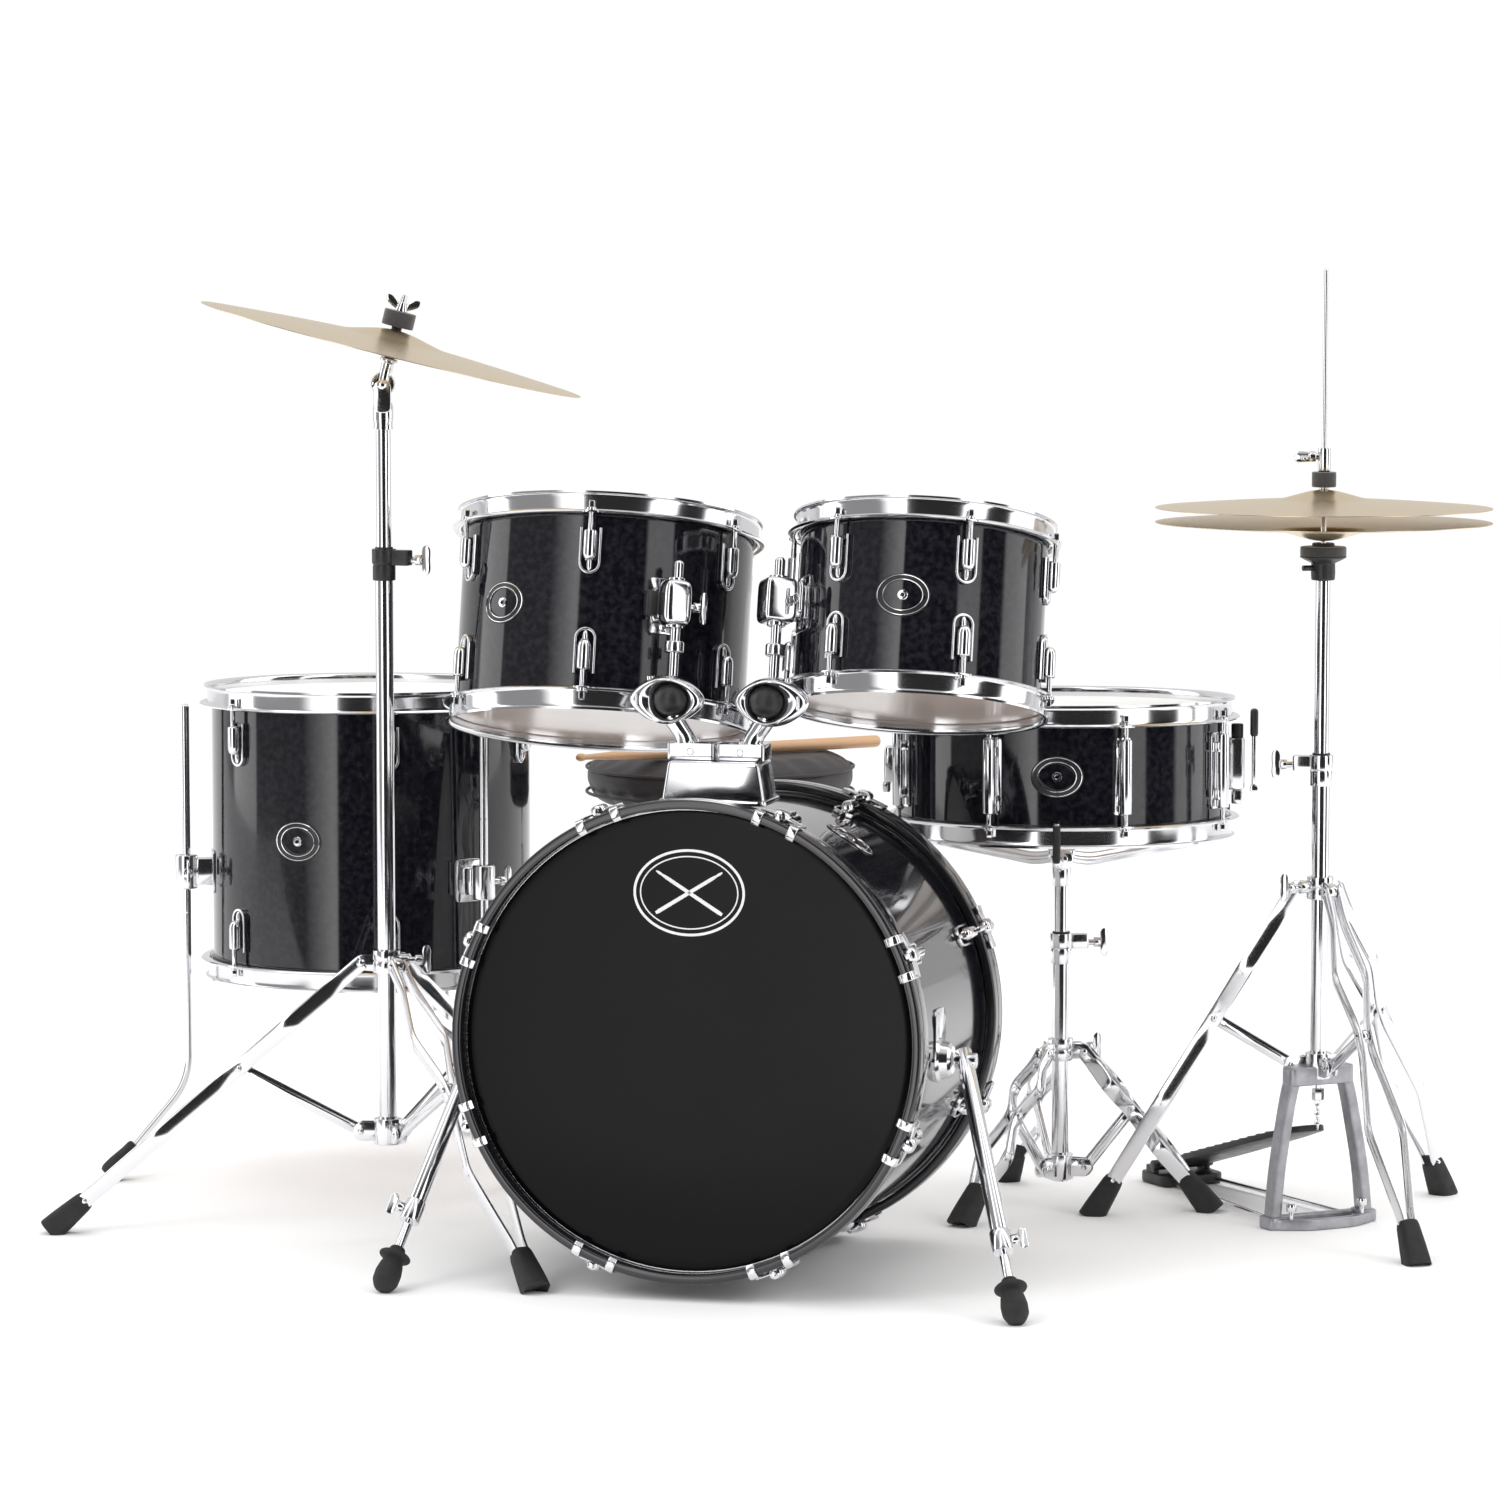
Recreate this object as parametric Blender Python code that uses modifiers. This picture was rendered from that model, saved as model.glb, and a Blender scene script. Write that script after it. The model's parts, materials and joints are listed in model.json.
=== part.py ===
"""Five-piece acoustic drum kit with its stands, pedals, cymbals, throne and a drumstick.

Metres, +Z up, the kit stands on z = 0 and its front faces -Y. Every unit (a drum, a stand, a pedal) is
modelled in its own frame, an empty, and each joint has an empty whose +Z is the joint's axis.
"""

import math

import bmesh
import bpy
from mathutils import Euler, Matrix, Vector

INCH = 0.0254
MM = 0.001

# Driving dimensions: drums as diameter x depth.
BASS_DIAMETER = 18 * INCH
BASS_DEPTH = 14 * INCH
LEFT_TOM_DIAMETER = 12 * INCH
LEFT_TOM_DEPTH = 8 * INCH
RIGHT_TOM_DIAMETER = 10 * INCH
RIGHT_TOM_DEPTH = 7 * INCH
FLOOR_TOM_DIAMETER = 14 * INCH
FLOOR_TOM_DEPTH = 12 * INCH
SNARE_DIAMETER = 14 * INCH
SNARE_DEPTH = 5 * INCH
CRASH_DIAMETER = 16 * INCH
HIHAT_DIAMETER = 14 * INCH

# Places of the units on the floor, measured from the middle of the stage.
BASS_PLACE = (-0.017, -0.217)
FLOOR_TOM_PLACE = (-0.425, 0.330)
SNARE_PLACE = (0.338, 0.120)
HIHAT_PLACE = (0.607, 0.011)
CRASH_PLACE = (-0.383, -0.055)
THRONE_PLACE = (-0.035, 0.600)

# Shared fits.
CLEARANCE = 0.5 * MM
TELESCOPE_CLEARANCE = 0.3 * MM
SHELL_WALL = 7 * MM
HEAD_FILM = 1.5 * MM
HEAD_OVERHANG = 1.5 * MM
DRUM_SIDES = 24
ROD_SIDES = 8
SHARP_ANGLE = math.radians(35)

# A cymbal's section: hole, raised bell and bow.
CYMBAL_HOLE = 6.5 * MM
CYMBAL_THICKNESS = 1.6 * MM
BELL_DROP = 10 * MM
BELL_SHARE = 0.13
BOW_SHARE = 0.026

# Flanged hoop of a tom, snare or floor tom.
HOOP_GAP = 1.2 * MM
HOOP_WALL = 3 * MM
HOOP_ABOVE = 12 * MM
HOOP_BELOW = 12 * MM
HOOP_FLANGE = 8 * MM
HOOP_FLANGE_HEIGHT = 4 * MM
TENSION_ROD_RADIUS = 2.6 * MM

# Wooden hoop of the bass drum.
WOOD_HOOP_WALL = 10 * MM
WOOD_HOOP_WIDTH = 38 * MM
WOOD_HOOP_OVERHANG = 17 * MM

LUG_WIDTH = 20 * MM
LUG_HEIGHT = 48 * MM
LUG_DEPTH = 15 * MM
LUG_SINK = 2 * MM

# Stand tubing.
TUBE_RADIUS = 9.5 * MM
TUBE_BORE = 8.2 * MM
SLIM_TUBE_RADIUS = TUBE_BORE - TELESCOPE_CLEARANCE
END_INSET = 3 * MM

materials = {}
parts = bpy.data.collections.new("drum_kit")
tools = bpy.data.collections.new("tools")


# ---------------------------------------------------------------- scene and objects


def clear_scene():
    for thing in list(bpy.data.objects):
        bpy.data.objects.remove(thing)
    bpy.context.scene.collection.children.link(parts)
    bpy.context.scene.collection.children.link(tools)


def material(name, colour, roughness, metallic=0.0):
    made = bpy.data.materials.new(name)
    made.use_nodes = True
    shader = made.node_tree.nodes["Principled BSDF"]
    shader.inputs["Base Color"].default_value = (*colour, 1.0)
    shader.inputs["Roughness"].default_value = roughness
    shader.inputs["Metallic"].default_value = metallic
    materials[name] = made


def make_materials():
    material("black_wrap", (0.012, 0.012, 0.015), 0.08)
    material("chrome", (0.78, 0.78, 0.80), 0.10, 1.0)
    material("cast_metal", (0.55, 0.54, 0.55), 0.35, 1.0)
    material("clear_film", (0.80, 0.78, 0.74), 0.20)
    material("coated_film", (0.88, 0.88, 0.86), 0.55)
    material("black_film", (0.008, 0.008, 0.008), 0.30)
    material("black_hoop", (0.02, 0.02, 0.022), 0.25)
    material("bronze", (0.66, 0.53, 0.34), 0.28, 1.0)
    material("black_plastic", (0.015, 0.015, 0.016), 0.45)
    material("steel_wire", (0.70, 0.70, 0.70), 0.30, 1.0)
    material("vinyl", (0.03, 0.028, 0.027), 0.50)
    material("wood", (0.72, 0.50, 0.33), 0.50)


def frame(name, place=(0, 0, 0), turn=(0, 0, 0), parent=None):
    """An empty that a unit's objects are parented to; turn is in degrees."""
    made = bpy.data.objects.new(name, None)
    parts.objects.link(made)
    made.location = place
    made.rotation_euler = Euler([math.radians(a) for a in turn])
    made.parent = parent
    return made


def joint_frame(name, place, axis, parent=None):
    """An empty on a joint's axis: its +Z is the axis, in the parent's frame."""
    made = frame("joint_" + name, place, parent=parent)
    made.rotation_euler = Vector(axis).to_track_quat("Z", "Y").to_euler()
    return made


def put(name, shape, parent, finish, tool=False):
    """Makes an object of a bmesh, parented to a frame."""
    mesh = bpy.data.meshes.new(name)
    bmesh.ops.recalc_face_normals(shape, faces=shape.faces)
    shape.to_mesh(mesh)
    shape.free()
    mesh.shade_smooth()
    mesh.set_sharp_from_angle(angle=SHARP_ANGLE)
    made = bpy.data.objects.new(name, mesh)
    (tools if tool else parts).objects.link(made)
    made.parent = parent
    if finish:
        mesh.materials.append(materials[finish])
    made.hide_render = tool
    if tool:
        made.display_type = "WIRE"
    return made


def turned(name, profile, parent, finish, closed=True, sides=DRUM_SIDES, tool=False):
    """A profile of (radius, height) points, down its outer side, turned about the frame's Z."""
    mesh = bpy.data.meshes.new(name)
    points = [(r, 0, z) for r, z in profile]
    edges = [(i, i + 1) for i in range(len(points) - 1)]
    if closed:
        edges.append((len(points) - 1, 0))
    mesh.from_pydata(points, edges, [])
    made = bpy.data.objects.new(name, mesh)
    (tools if tool else parts).objects.link(made)
    made.parent = parent
    if finish:
        mesh.materials.append(materials[finish])
    screw = made.modifiers.new("Turn", "SCREW")
    screw.steps = screw.render_steps = sides
    screw.use_smooth_shade = True
    screw.use_merge_vertices = True
    screw.merge_threshold = 1e-5
    made.hide_render = tool
    if tool:
        made.display_type = "WIRE"
    return made


def combine(target, operand, operation):
    modifier = target.modifiers.new(operation.title(), "BOOLEAN")
    modifier.operation = operation
    modifier.object = operand


def join(target, shape):
    """Adds each solid of a bmesh to an object, by one Boolean union after another."""
    for i, solid in enumerate(solids(shape)):
        operand = put(f"{target.name}_fitting_{i}", solid, target.parent, None, tool=True)
        combine(target, operand, "UNION")


def solids(shape):
    """Splits a bmesh into its unconnected solids."""
    left = set(shape.verts)
    found = []
    while left:
        seed = next(v for v in shape.verts if v in left)
        group = {seed}
        edge = [seed]
        while edge:
            vertex = edge.pop()
            for link in vertex.link_edges:
                other = link.other_vert(vertex)
                if other not in group:
                    group.add(other)
                    edge.append(other)
        left -= group
        found.append(group)
    made = []
    for group in found:
        solid = bmesh.new()
        copies = {v: solid.verts.new(v.co) for v in shape.verts if v in group}
        for face in shape.faces:
            if face.verts[0] in group:
                solid.faces.new([copies[v] for v in face.verts])
        made.append(solid)
    shape.free()
    return made


def cut(target, shape):
    operand = put(target.name + "_cutter", shape, target.parent, None, tool=True)
    combine(target, operand, "DIFFERENCE")


# ---------------------------------------------------------------- shapes added to a bmesh


def rod(shape, start, end, radius, sides=ROD_SIDES, end_radius=None):
    """A round bar from start to end, tapered if end_radius is given."""
    start, end = Vector(start), Vector(end)
    turn = Vector((0, 0, 1)).rotation_difference(end - start).to_matrix().to_4x4()
    bmesh.ops.create_cone(
        shape,
        cap_ends=True,
        segments=sides,
        radius1=radius,
        radius2=radius if end_radius is None else end_radius,
        depth=(end - start).length,
        matrix=Matrix.Translation((start + end) / 2) @ turn,
    )


def block(shape, centre, size, turn=None):
    """A box; turn is a rotation matrix that carries its axes."""
    turned_by = turn.to_4x4() if turn else Matrix.Identity(4)
    place = Matrix.Translation(centre) @ turned_by @ Matrix.Diagonal((*size, 1))
    return bmesh.ops.create_cube(shape, size=1, matrix=place)["verts"]


def ball(shape, centre, radius, stretch=(1, 1, 1), segments=10, rings=6):
    place = Matrix.Translation(centre) @ Matrix.Diagonal((*stretch, 1))
    bmesh.ops.create_uvsphere(
        shape, u_segments=segments, v_segments=rings, radius=radius, matrix=place
    )


def plate(shape, outline, thickness, place):
    """A flat outline in XY, given a thickness about z = 0 and carried by a matrix."""
    curve = bpy.data.curves.new("outline", "CURVE")
    curve.dimensions = "2D"
    curve.fill_mode = "BOTH"
    curve.extrude = thickness / 2
    line = curve.splines.new("POLY")
    line.points.add(len(outline) - 1)
    for point, (x, y) in zip(line.points, outline):
        point.co = (x, y, 0, 1)
    line.use_cyclic_u = True
    guide = bpy.data.objects.new("outline", curve)
    tools.objects.link(guide)
    bpy.context.view_layer.update()
    evaluated = guide.evaluated_get(bpy.context.evaluated_depsgraph_get())
    flat = bpy.data.meshes.new_from_object(evaluated)
    flat.transform(place)
    before = set(shape.verts)
    shape.from_mesh(flat)
    added = [v for v in shape.verts if v not in before]
    bmesh.ops.remove_doubles(shape, verts=added, dist=1e-5)
    bpy.data.meshes.remove(flat)
    bpy.data.objects.remove(guide)


def around(angle, radius, height=0.0):
    """A point at an angle in degrees, anticlockwise from +X seen from above."""
    a = math.radians(angle)
    return Vector((radius * math.cos(a), radius * math.sin(a), height))


def heading(angle):
    return Matrix.Rotation(math.radians(angle), 3, "Z")


# ---------------------------------------------------------------- drums


def drum_shell(name, diameter, depth, parent, lugs, first_angle, mid_lugs=False):
    """The shell and its lugs: a pair of lugs at each angle, or one long lug at mid height."""
    radius = diameter / 2
    profile = [(radius, depth / 2), (radius, -depth / 2)]
    profile += [(radius - SHELL_WALL, -depth / 2), (radius - SHELL_WALL, depth / 2)]
    shell = turned(name, profile, parent, "black_wrap")
    fittings = bmesh.new()
    heights = [0.0] if mid_lugs else [lug_height(depth), -lug_height(depth)]
    tall = snare_lug_height(depth) if mid_lugs else LUG_HEIGHT
    for i in range(lugs):
        angle = first_angle + 360 / lugs * i
        for z in heights:
            centre = around(angle, radius + LUG_DEPTH / 2 - LUG_SINK, z)
            block(fittings, centre, (LUG_DEPTH + LUG_SINK, LUG_WIDTH, tall), heading(angle))
    return shell, fittings


def lug_height(depth):
    """Height of the middle of an end lug above the middle of the shell."""
    return depth / 2 - HOOP_BELOW - LUG_HEIGHT / 2 - 12 * MM


def snare_lug_height(depth):
    return depth - 2 * HOOP_BELOW - 24 * MM


def flanged_hoop(name, diameter, depth, parent, lugs, first_angle, side, lug_end):
    """A chrome hoop with its tension rods, which end just short of the lugs. side is 1 at the top."""
    radius = diameter / 2
    edge = depth / 2
    inner = radius + HEAD_OVERHANG + HOOP_GAP
    wall = inner + HOOP_WALL
    flange = wall + HOOP_FLANGE
    top, low = edge + HOOP_ABOVE, edge - HOOP_BELOW
    profile = [
        (wall, top),
        (wall, low + HOOP_FLANGE_HEIGHT),
        (flange, low + HOOP_FLANGE_HEIGHT),
        (flange, low),
        (inner, low),
        (inner, top),
    ]
    if side < 0:
        profile = [(r, -z) for r, z in reversed(profile)]
    hoop = turned(name, profile, parent, "chrome")
    rods = bmesh.new()
    rod_radius = tension_circle(diameter)
    start = low + HOOP_FLANGE_HEIGHT + 4 * MM
    for i in range(lugs):
        angle = first_angle + 360 / lugs * i
        ends = [around(angle, rod_radius, side * z) for z in (start, lug_end + CLEARANCE)]
        rod(rods, *ends, TENSION_ROD_RADIUS, sides=4)
    join(hoop, rods)


def tension_circle(diameter):
    """Radius of the circle that a flanged hoop's tension rods stand on."""
    return diameter / 2 + HEAD_OVERHANG + HOOP_GAP + HOOP_WALL + HOOP_FLANGE / 2


def head(name, diameter, depth, parent, side, finish):
    radius = diameter / 2 + HEAD_OVERHANG
    low = depth / 2 + CLEARANCE
    profile = [(0, low + HEAD_FILM), (radius, low + HEAD_FILM), (radius, low), (0, low)]
    if side < 0:
        profile = [(r, -z) for r, z in reversed(profile)]
    turned(name, profile, parent, finish, closed=False)


def flanged_drum(prefix, diameter, depth, parent, lugs, first_angle, films, mid_lugs=False):
    """A drum whose axis is the frame's Z, with flanged hoops; returns its shell and fittings."""
    shell, fittings = drum_shell(
        prefix + "_shell", diameter, depth, parent, lugs, first_angle, mid_lugs
    )
    lug_end = snare_lug_height(depth) / 2 if mid_lugs else lug_height(depth) + LUG_HEIGHT / 2
    for side, word, film in ((1, "top", films[0]), (-1, "bottom", films[1])):
        name = f"{prefix}_{word}"
        flanged_hoop(
            name + "_hoop", diameter, depth, parent, lugs, first_angle, side, lug_end
        )
        head(name + "_head", diameter, depth, parent, side, film)
    return shell, fittings


# ---------------------------------------------------------------- tom arms and racks

MOUNT_SETBACK = 0.055
BALL_RADIUS = 20 * MM
BALL_SPACING = 0.100
BALL_RISE = 0.1085
SOCKET_CLEARANCE = 1.0 * MM
SOCKET_WALL = 8 * MM
ARM_RADIUS = 5.2 * MM
BRACKET_REACH = 28 * MM
BRACKET_BORE = 6.4 * MM
BRACKET_HEIGHT = 46 * MM
BRACKET_RADIUS = 12 * MM


def tom_bracket(fittings, shell_radius, angle):
    """The block on a rack tom that clamps the arm; its bore is cut later."""
    centre = around(angle, shell_radius + BRACKET_REACH)
    rod(
        fittings,
        centre - Vector((0, 0, BRACKET_HEIGHT / 2)),
        centre + Vector((0, 0, BRACKET_HEIGHT / 2)),
        BRACKET_RADIUS,
    )
    middle = around(angle, shell_radius + (BRACKET_REACH - BRACKET_RADIUS) / 2)
    size = (BRACKET_REACH - BRACKET_RADIUS + 8 * MM, 26 * MM, 34 * MM)
    block(fittings, middle, size, heading(angle))


def bass_lift():
    """How high the bass drum's middle is when its tilted hoops' lowest edge is on the floor."""
    half = BASS_DEPTH / 2 + WOOD_HOOP_OVERHANG
    outer = bass_hoop_radius() + WOOD_HOOP_WALL
    pitch = math.radians(BASS_PITCH)
    return outer * math.cos(pitch) + half * math.sin(pitch)


def bass_top():
    return bass_lift() + BASS_DIAMETER / 2


def rack_tom(prefix, make, arm_body, ball_at):
    """A rack tom on its ball arm. arm_body is the frame at the ball's centre."""
    middle = (*make["place"], bass_top() + make["rise"])
    tom = frame(prefix, middle, make["turn"])
    diameter, angle = make["diameter"], make["bracket_angle"]
    films = ("coated_film", "clear_film")
    shell, fittings = flanged_drum(
        prefix, diameter, make["depth"], tom, 6, angle + 30, films
    )
    tom_bracket(fittings, diameter / 2, angle)
    join(shell, fittings)
    bore_at = around(angle, diameter / 2 + BRACKET_REACH)
    bore = bmesh.new()
    up = Vector((0, 0, BRACKET_HEIGHT))
    rod(bore, bore_at - up, bore_at + up, BRACKET_BORE)
    cut(shell, bore)

    # The arm runs up the bore, and its foot turns forward into the ball.
    to_world = Matrix.Translation(middle) @ tom.rotation_euler.to_matrix().to_4x4()
    axis = (to_world.to_3x3() @ Vector((0, 0, 1))).normalized()
    on_axis = to_world @ bore_at
    ball_centre = Vector(ball_at)
    drop = (on_axis.z - ball_centre.z) / axis.z
    knee = on_axis - axis * drop
    top = on_axis + axis * (BRACKET_HEIGHT / 2 + 22 * MM)
    arm = bmesh.new()
    ball(arm, (0, 0, 0), BALL_RADIUS, segments=12, rings=8)
    rod(arm, knee - ball_centre - axis * ARM_RADIUS, top - ball_centre, ARM_RADIUS)
    base = put(prefix + "_arm", arm, arm_body, "chrome")
    foot = bmesh.new()
    toward = (ball_centre - knee).normalized()
    rod(foot, knee - ball_centre - toward * ARM_RADIUS, toward * 0.012, ARM_RADIUS)
    join(base, foot)
    joint_frame(prefix + "_height", on_axis, axis)


def tom_mount(bass):
    """The bracket on the bass drum with two posts, each ending in a split socket for a ball."""
    shell_radius = BASS_DIAMETER / 2
    turn = Matrix.Rotation(math.radians(-BASS_YAW), 4, "Z")
    place = bass.matrix_world @ Vector((0, 0, -MOUNT_SETBACK))
    mount = frame("tom_mount_place", (place.x, place.y, 0), (0, 0, -BASS_YAW))
    shell_top = place.z + shell_radius
    seat = shell_top + CLEARANCE
    base = bmesh.new()
    block(base, (0, 0, seat + 0.026), (0.096, 0.056, 0.036))
    body = put("tom_mount", base, mount, "chrome")
    extra = bmesh.new()
    block(extra, (0, 0, seat + 0.009), (0.110, 0.070, 0.014))
    block(extra, (0, 0, seat + 0.052), (0.100, 0.034, 0.020))
    sockets = []
    ball_height = bass_top() + BALL_RISE
    post_top = ball_height - BALL_RADIUS
    for side in (-1, 1):
        x = side * BALL_SPACING / 2
        post = side * 0.035
        rod(extra, (post, 0, seat + 0.05), (post, 0, post_top), 0.011, sides=6)
        rod(extra, (post, 0, post_top - 6 * MM), (x, 0, post_top - 2 * MM), 0.010, sides=6)
        socket = Vector((x, 0, ball_height))
        stretch = (1.35, 0.62, 0.90)
        cup = socket + Vector((side * 6 * MM, 0, 0))
        ball(extra, cup, BALL_RADIUS + SOCKET_WALL, stretch, 12, 8)
        sockets.append(socket)
    join(body, extra)
    holes = bmesh.new()
    for socket in sockets:
        reach = Vector((0, 0.04, 0))
        bore = BALL_RADIUS + SOCKET_CLEARANCE
        rod(holes, socket - reach, socket + reach, bore, sides=16)
    cut(body, holes)
    flat = Matrix.Translation((place.x, place.y, 0)) @ turn
    return [flat @ socket for socket in sockets]


# ---------------------------------------------------------------- bass drum

BASS_YAW = 14.6
BASS_PITCH = 2.6
CLAW_COUNT = 8
CLAW_WIDTH = 52 * MM
SPUR_BRACKET_SETBACK = 0.055
SPUR_RADIUS = 9 * MM
SPUR_DROP = 0.022
SPUR_BOSS = 14 * MM
SPUR_FOOT = {"right": (0.357, 0.062), "left": (-0.306, 0.062)}
SPUR_GAP = 3.5 * MM


def bass_hoop_radius():
    return BASS_DIAMETER / 2 + HEAD_OVERHANG + HOOP_GAP


def wooden_hoop(name, parent, side):
    """A wide wooden hoop with its claws, whose rods reach back to the lugs."""
    inner = bass_hoop_radius()
    outer = inner + WOOD_HOOP_WALL
    top = BASS_DEPTH / 2 + WOOD_HOOP_OVERHANG
    low = top - WOOD_HOOP_WIDTH
    profile = [(outer, top), (outer, low), (inner, low), (inner, top)]
    if side < 0:
        profile = [(r, -z) for r, z in reversed(profile)]
    hoop = turned(name, profile, parent, "black_hoop")
    claws = bmesh.new()
    circle = outer + 4.5 * MM
    lug_end = lug_height(BASS_DEPTH) + LUG_HEIGHT / 2 + CLEARANCE
    for i in range(CLAW_COUNT):
        angle = 22.5 + 45 * i
        turn = heading(angle)
        size = (12 * MM, CLAW_WIDTH, 12 * MM)
        block(claws, around(angle, outer + 2 * MM, side * (top - 6 * MM)), size, turn)
        ends = [around(angle, circle, side * z) for z in (top - 4 * MM, lug_end)]
        rod(claws, *ends, 3.5 * MM, sides=4)
    join(hoop, claws)


def bass_drum():
    bass = frame("bass_drum", (*BASS_PLACE, bass_lift()), (-90 - BASS_PITCH, 0, -BASS_YAW))
    bpy.context.view_layer.update()
    shell, fittings = drum_shell(
        "bass_shell", BASS_DIAMETER, BASS_DEPTH, bass, CLAW_COUNT, 22.5
    )
    for side in (-1, 1):
        spur_bracket(fittings, side)
    join(shell, fittings)
    wooden_hoop("bass_front_hoop", bass, -1)
    wooden_hoop("bass_rear_hoop", bass, 1)
    head("bass_front_head", BASS_DIAMETER, BASS_DEPTH, bass, -1, "black_film")
    head("bass_rear_head", BASS_DIAMETER, BASS_DEPTH, bass, 1, "clear_film")
    spurs(bass)
    return bass


def spur_bracket(fittings, side):
    """A round boss on the shell's side that a spur swings on."""
    radius = BASS_DIAMETER / 2
    start = Vector((side * (radius - 6 * MM), SPUR_DROP, -SPUR_BRACKET_SETBACK))
    end = Vector((side * (radius + SPUR_BOSS), SPUR_DROP, -SPUR_BRACKET_SETBACK))
    rod(fittings, start, end, 20 * MM, sides=10)


def spurs(bass):
    """Folding front legs: tube, inner rod and rubber tip, each on the floor in front of the drum."""
    front = -(BASS_DEPTH / 2 + WOOD_HOOP_OVERHANG)
    to_bass = bass.matrix_world.inverted()
    for side, word in ((-1, "left"), (1, "right")):
        hinge_x = side * (BASS_DIAMETER / 2 + SPUR_BOSS + SPUR_GAP + SPUR_RADIUS)
        pivot = Vector((hinge_x, SPUR_DROP, -SPUR_BRACKET_SETBACK))
        lateral, forward = SPUR_FOOT[word]
        foot = bass.matrix_world @ Vector((lateral, 0, front - forward))
        foot.z = 0
        foot = to_bass @ foot
        spur = joint_frame(word + "_spur_fold", pivot, (1, 0, 0), bass)
        local = spur.rotation_euler.to_matrix().inverted()
        tip = local @ (foot - pivot)
        down = (local @ (to_bass.to_3x3() @ Vector((0, 0, -1)))).normalized()
        along = tip.normalized()
        leg = bmesh.new()
        rod(leg, -along * 0.012, along * (tip.length - 0.085), SPUR_RADIUS)
        body = put(word + "_spur", leg, spur, "chrome")
        inner = bmesh.new()
        rod(inner, along * (tip.length - 0.095), along * (tip.length - 0.03), 5 * MM)
        rod(inner, tip - along * 0.048, tip - along * 0.040, 17 * MM, sides=10)
        rod(inner, tip - along * 0.046, tip + along * 0.004, 13 * MM, sides=10)
        cut_below(inner, tip, -down)
        join(body, inner)


# ---------------------------------------------------------------- bass drum pedal

PEDAL_LENGTH = 0.29
PEDAL_WIDTH = 0.078
PEDAL_AXLE_HEIGHT = 0.215
FRAME_POST_SPACING = 0.094


def bass_pedal():
    """Local frame: origin on the floor under the axle, +Y towards the drummer's heel."""
    yaw = math.radians(BASS_YAW)
    rear = BASS_DEPTH / 2 + WOOD_HOOP_OVERHANG
    behind = rear * math.cos(math.radians(BASS_PITCH)) + 0.055
    place = (BASS_PLACE[0] + behind * math.sin(yaw), BASS_PLACE[1] + behind * math.cos(yaw), 0)
    unit = frame("bass_pedal", place, (0, 0, -BASS_YAW))
    base = bmesh.new()
    block(base, (0, PEDAL_LENGTH / 2 - 0.01, 0.004), (0.03, PEDAL_LENGTH + 0.03, 0.008))
    body = put("bass_pedal_frame", base, unit, "cast_metal")
    extra = bmesh.new()
    block(extra, (0, 0, 0.006), (FRAME_POST_SPACING + 0.014, 0.036, 0.012))
    block(extra, (0, PEDAL_LENGTH, 0.008), (PEDAL_WIDTH, 0.06, 0.016))
    block(extra, (0, -0.027, 0.007), (0.05, 0.034, 0.014))
    for side in (-1, 1):
        x = side * FRAME_POST_SPACING / 2
        top = PEDAL_AXLE_HEIGHT + 0.016
        block(extra, (x, 0, top / 2), (0.012, 0.022, top))
    join(body, extra)
    bearing = bmesh.new()
    reach = FRAME_POST_SPACING / 2 + 0.02
    axle_height = (0, 0, PEDAL_AXLE_HEIGHT)
    side = Vector((reach, 0, 0))
    rod(bearing, Vector(axle_height) - side, Vector(axle_height) + side, 5.5 * MM)
    cut(body, bearing)

    axle = joint_frame("bass_beater", axle_height, (1, 0, 0), unit)
    turn = axle.rotation_euler.to_matrix().inverted()
    shaft = bmesh.new()
    half = FRAME_POST_SPACING / 2 + 0.012
    rod(shaft, turn @ Vector((-half, 0, 0)), turn @ Vector((half, 0, 0)), 4.5 * MM)
    beater = put("bass_beater", shaft, axle, "chrome")
    arm = bmesh.new()
    lean = Vector((0, 0.45, 0.89)).normalized()
    rod(arm, Vector((0, 0, 0)), turn @ (lean * 0.175), 3.5 * MM, sides=6)
    head_at = lean * 0.165
    forward = Vector((0, -lean.z, lean.y))
    rod(arm, turn @ (head_at - forward * 0.024), turn @ (head_at + forward * 0.024), 0.022, 10)
    rod(arm, turn @ Vector((-0.012, 0, 0)), turn @ Vector((0.012, 0, 0)), 0.018, sides=10)
    join(beater, arm)

    heel = (0, PEDAL_LENGTH, 0.024)
    hinge = joint_frame("bass_footboard", heel, (1, 0, 0), unit)
    turn = hinge.rotation_euler.to_matrix().inverted()
    toe = Vector((0, 0.01 - PEDAL_LENGTH, 0.075))
    footboard(hinge, "bass_footboard", turn, toe, PEDAL_WIDTH)


def footboard(hinge, name, turn, toe, width, thickness=8 * MM):
    """A long board from its heel hinge to its toe, with a hinge barrel."""
    shape = bmesh.new()
    middle = toe / 2
    along = toe.normalized()
    side = Vector((0, 0, 1)).cross(along).normalized()
    up = along.cross(side)
    axes = Matrix((side, along, up)).transposed()
    block(shape, turn @ middle, (width, toe.length, thickness), turn @ axes)
    board = put(name, shape, hinge, "black_plastic")
    barrel = bmesh.new()
    half = side * width / 2
    rod(barrel, turn @ -half, turn @ half, 6 * MM)
    join(board, barrel)


# ---------------------------------------------------------------- floor tom

FLOOR_TOM_LEGS = (190, 310, 70)
FLOOR_FOOT_TURNS = (190, 60, 70)
FLOOR_LEG_REACH = 30 * MM
FLOOR_LEG_RADIUS = 4.8 * MM
FLOOR_LEG_SPREAD = 0.070
FLOOR_LEG_KNEE = 0.110
FLOOR_LEG_TOP = 0.535
FLOOR_BRACKET_HEIGHT = -0.045
FLOOR_TOM_CENTRE = 0.391
FLOOR_TOM_TILT = -1.2


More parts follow.
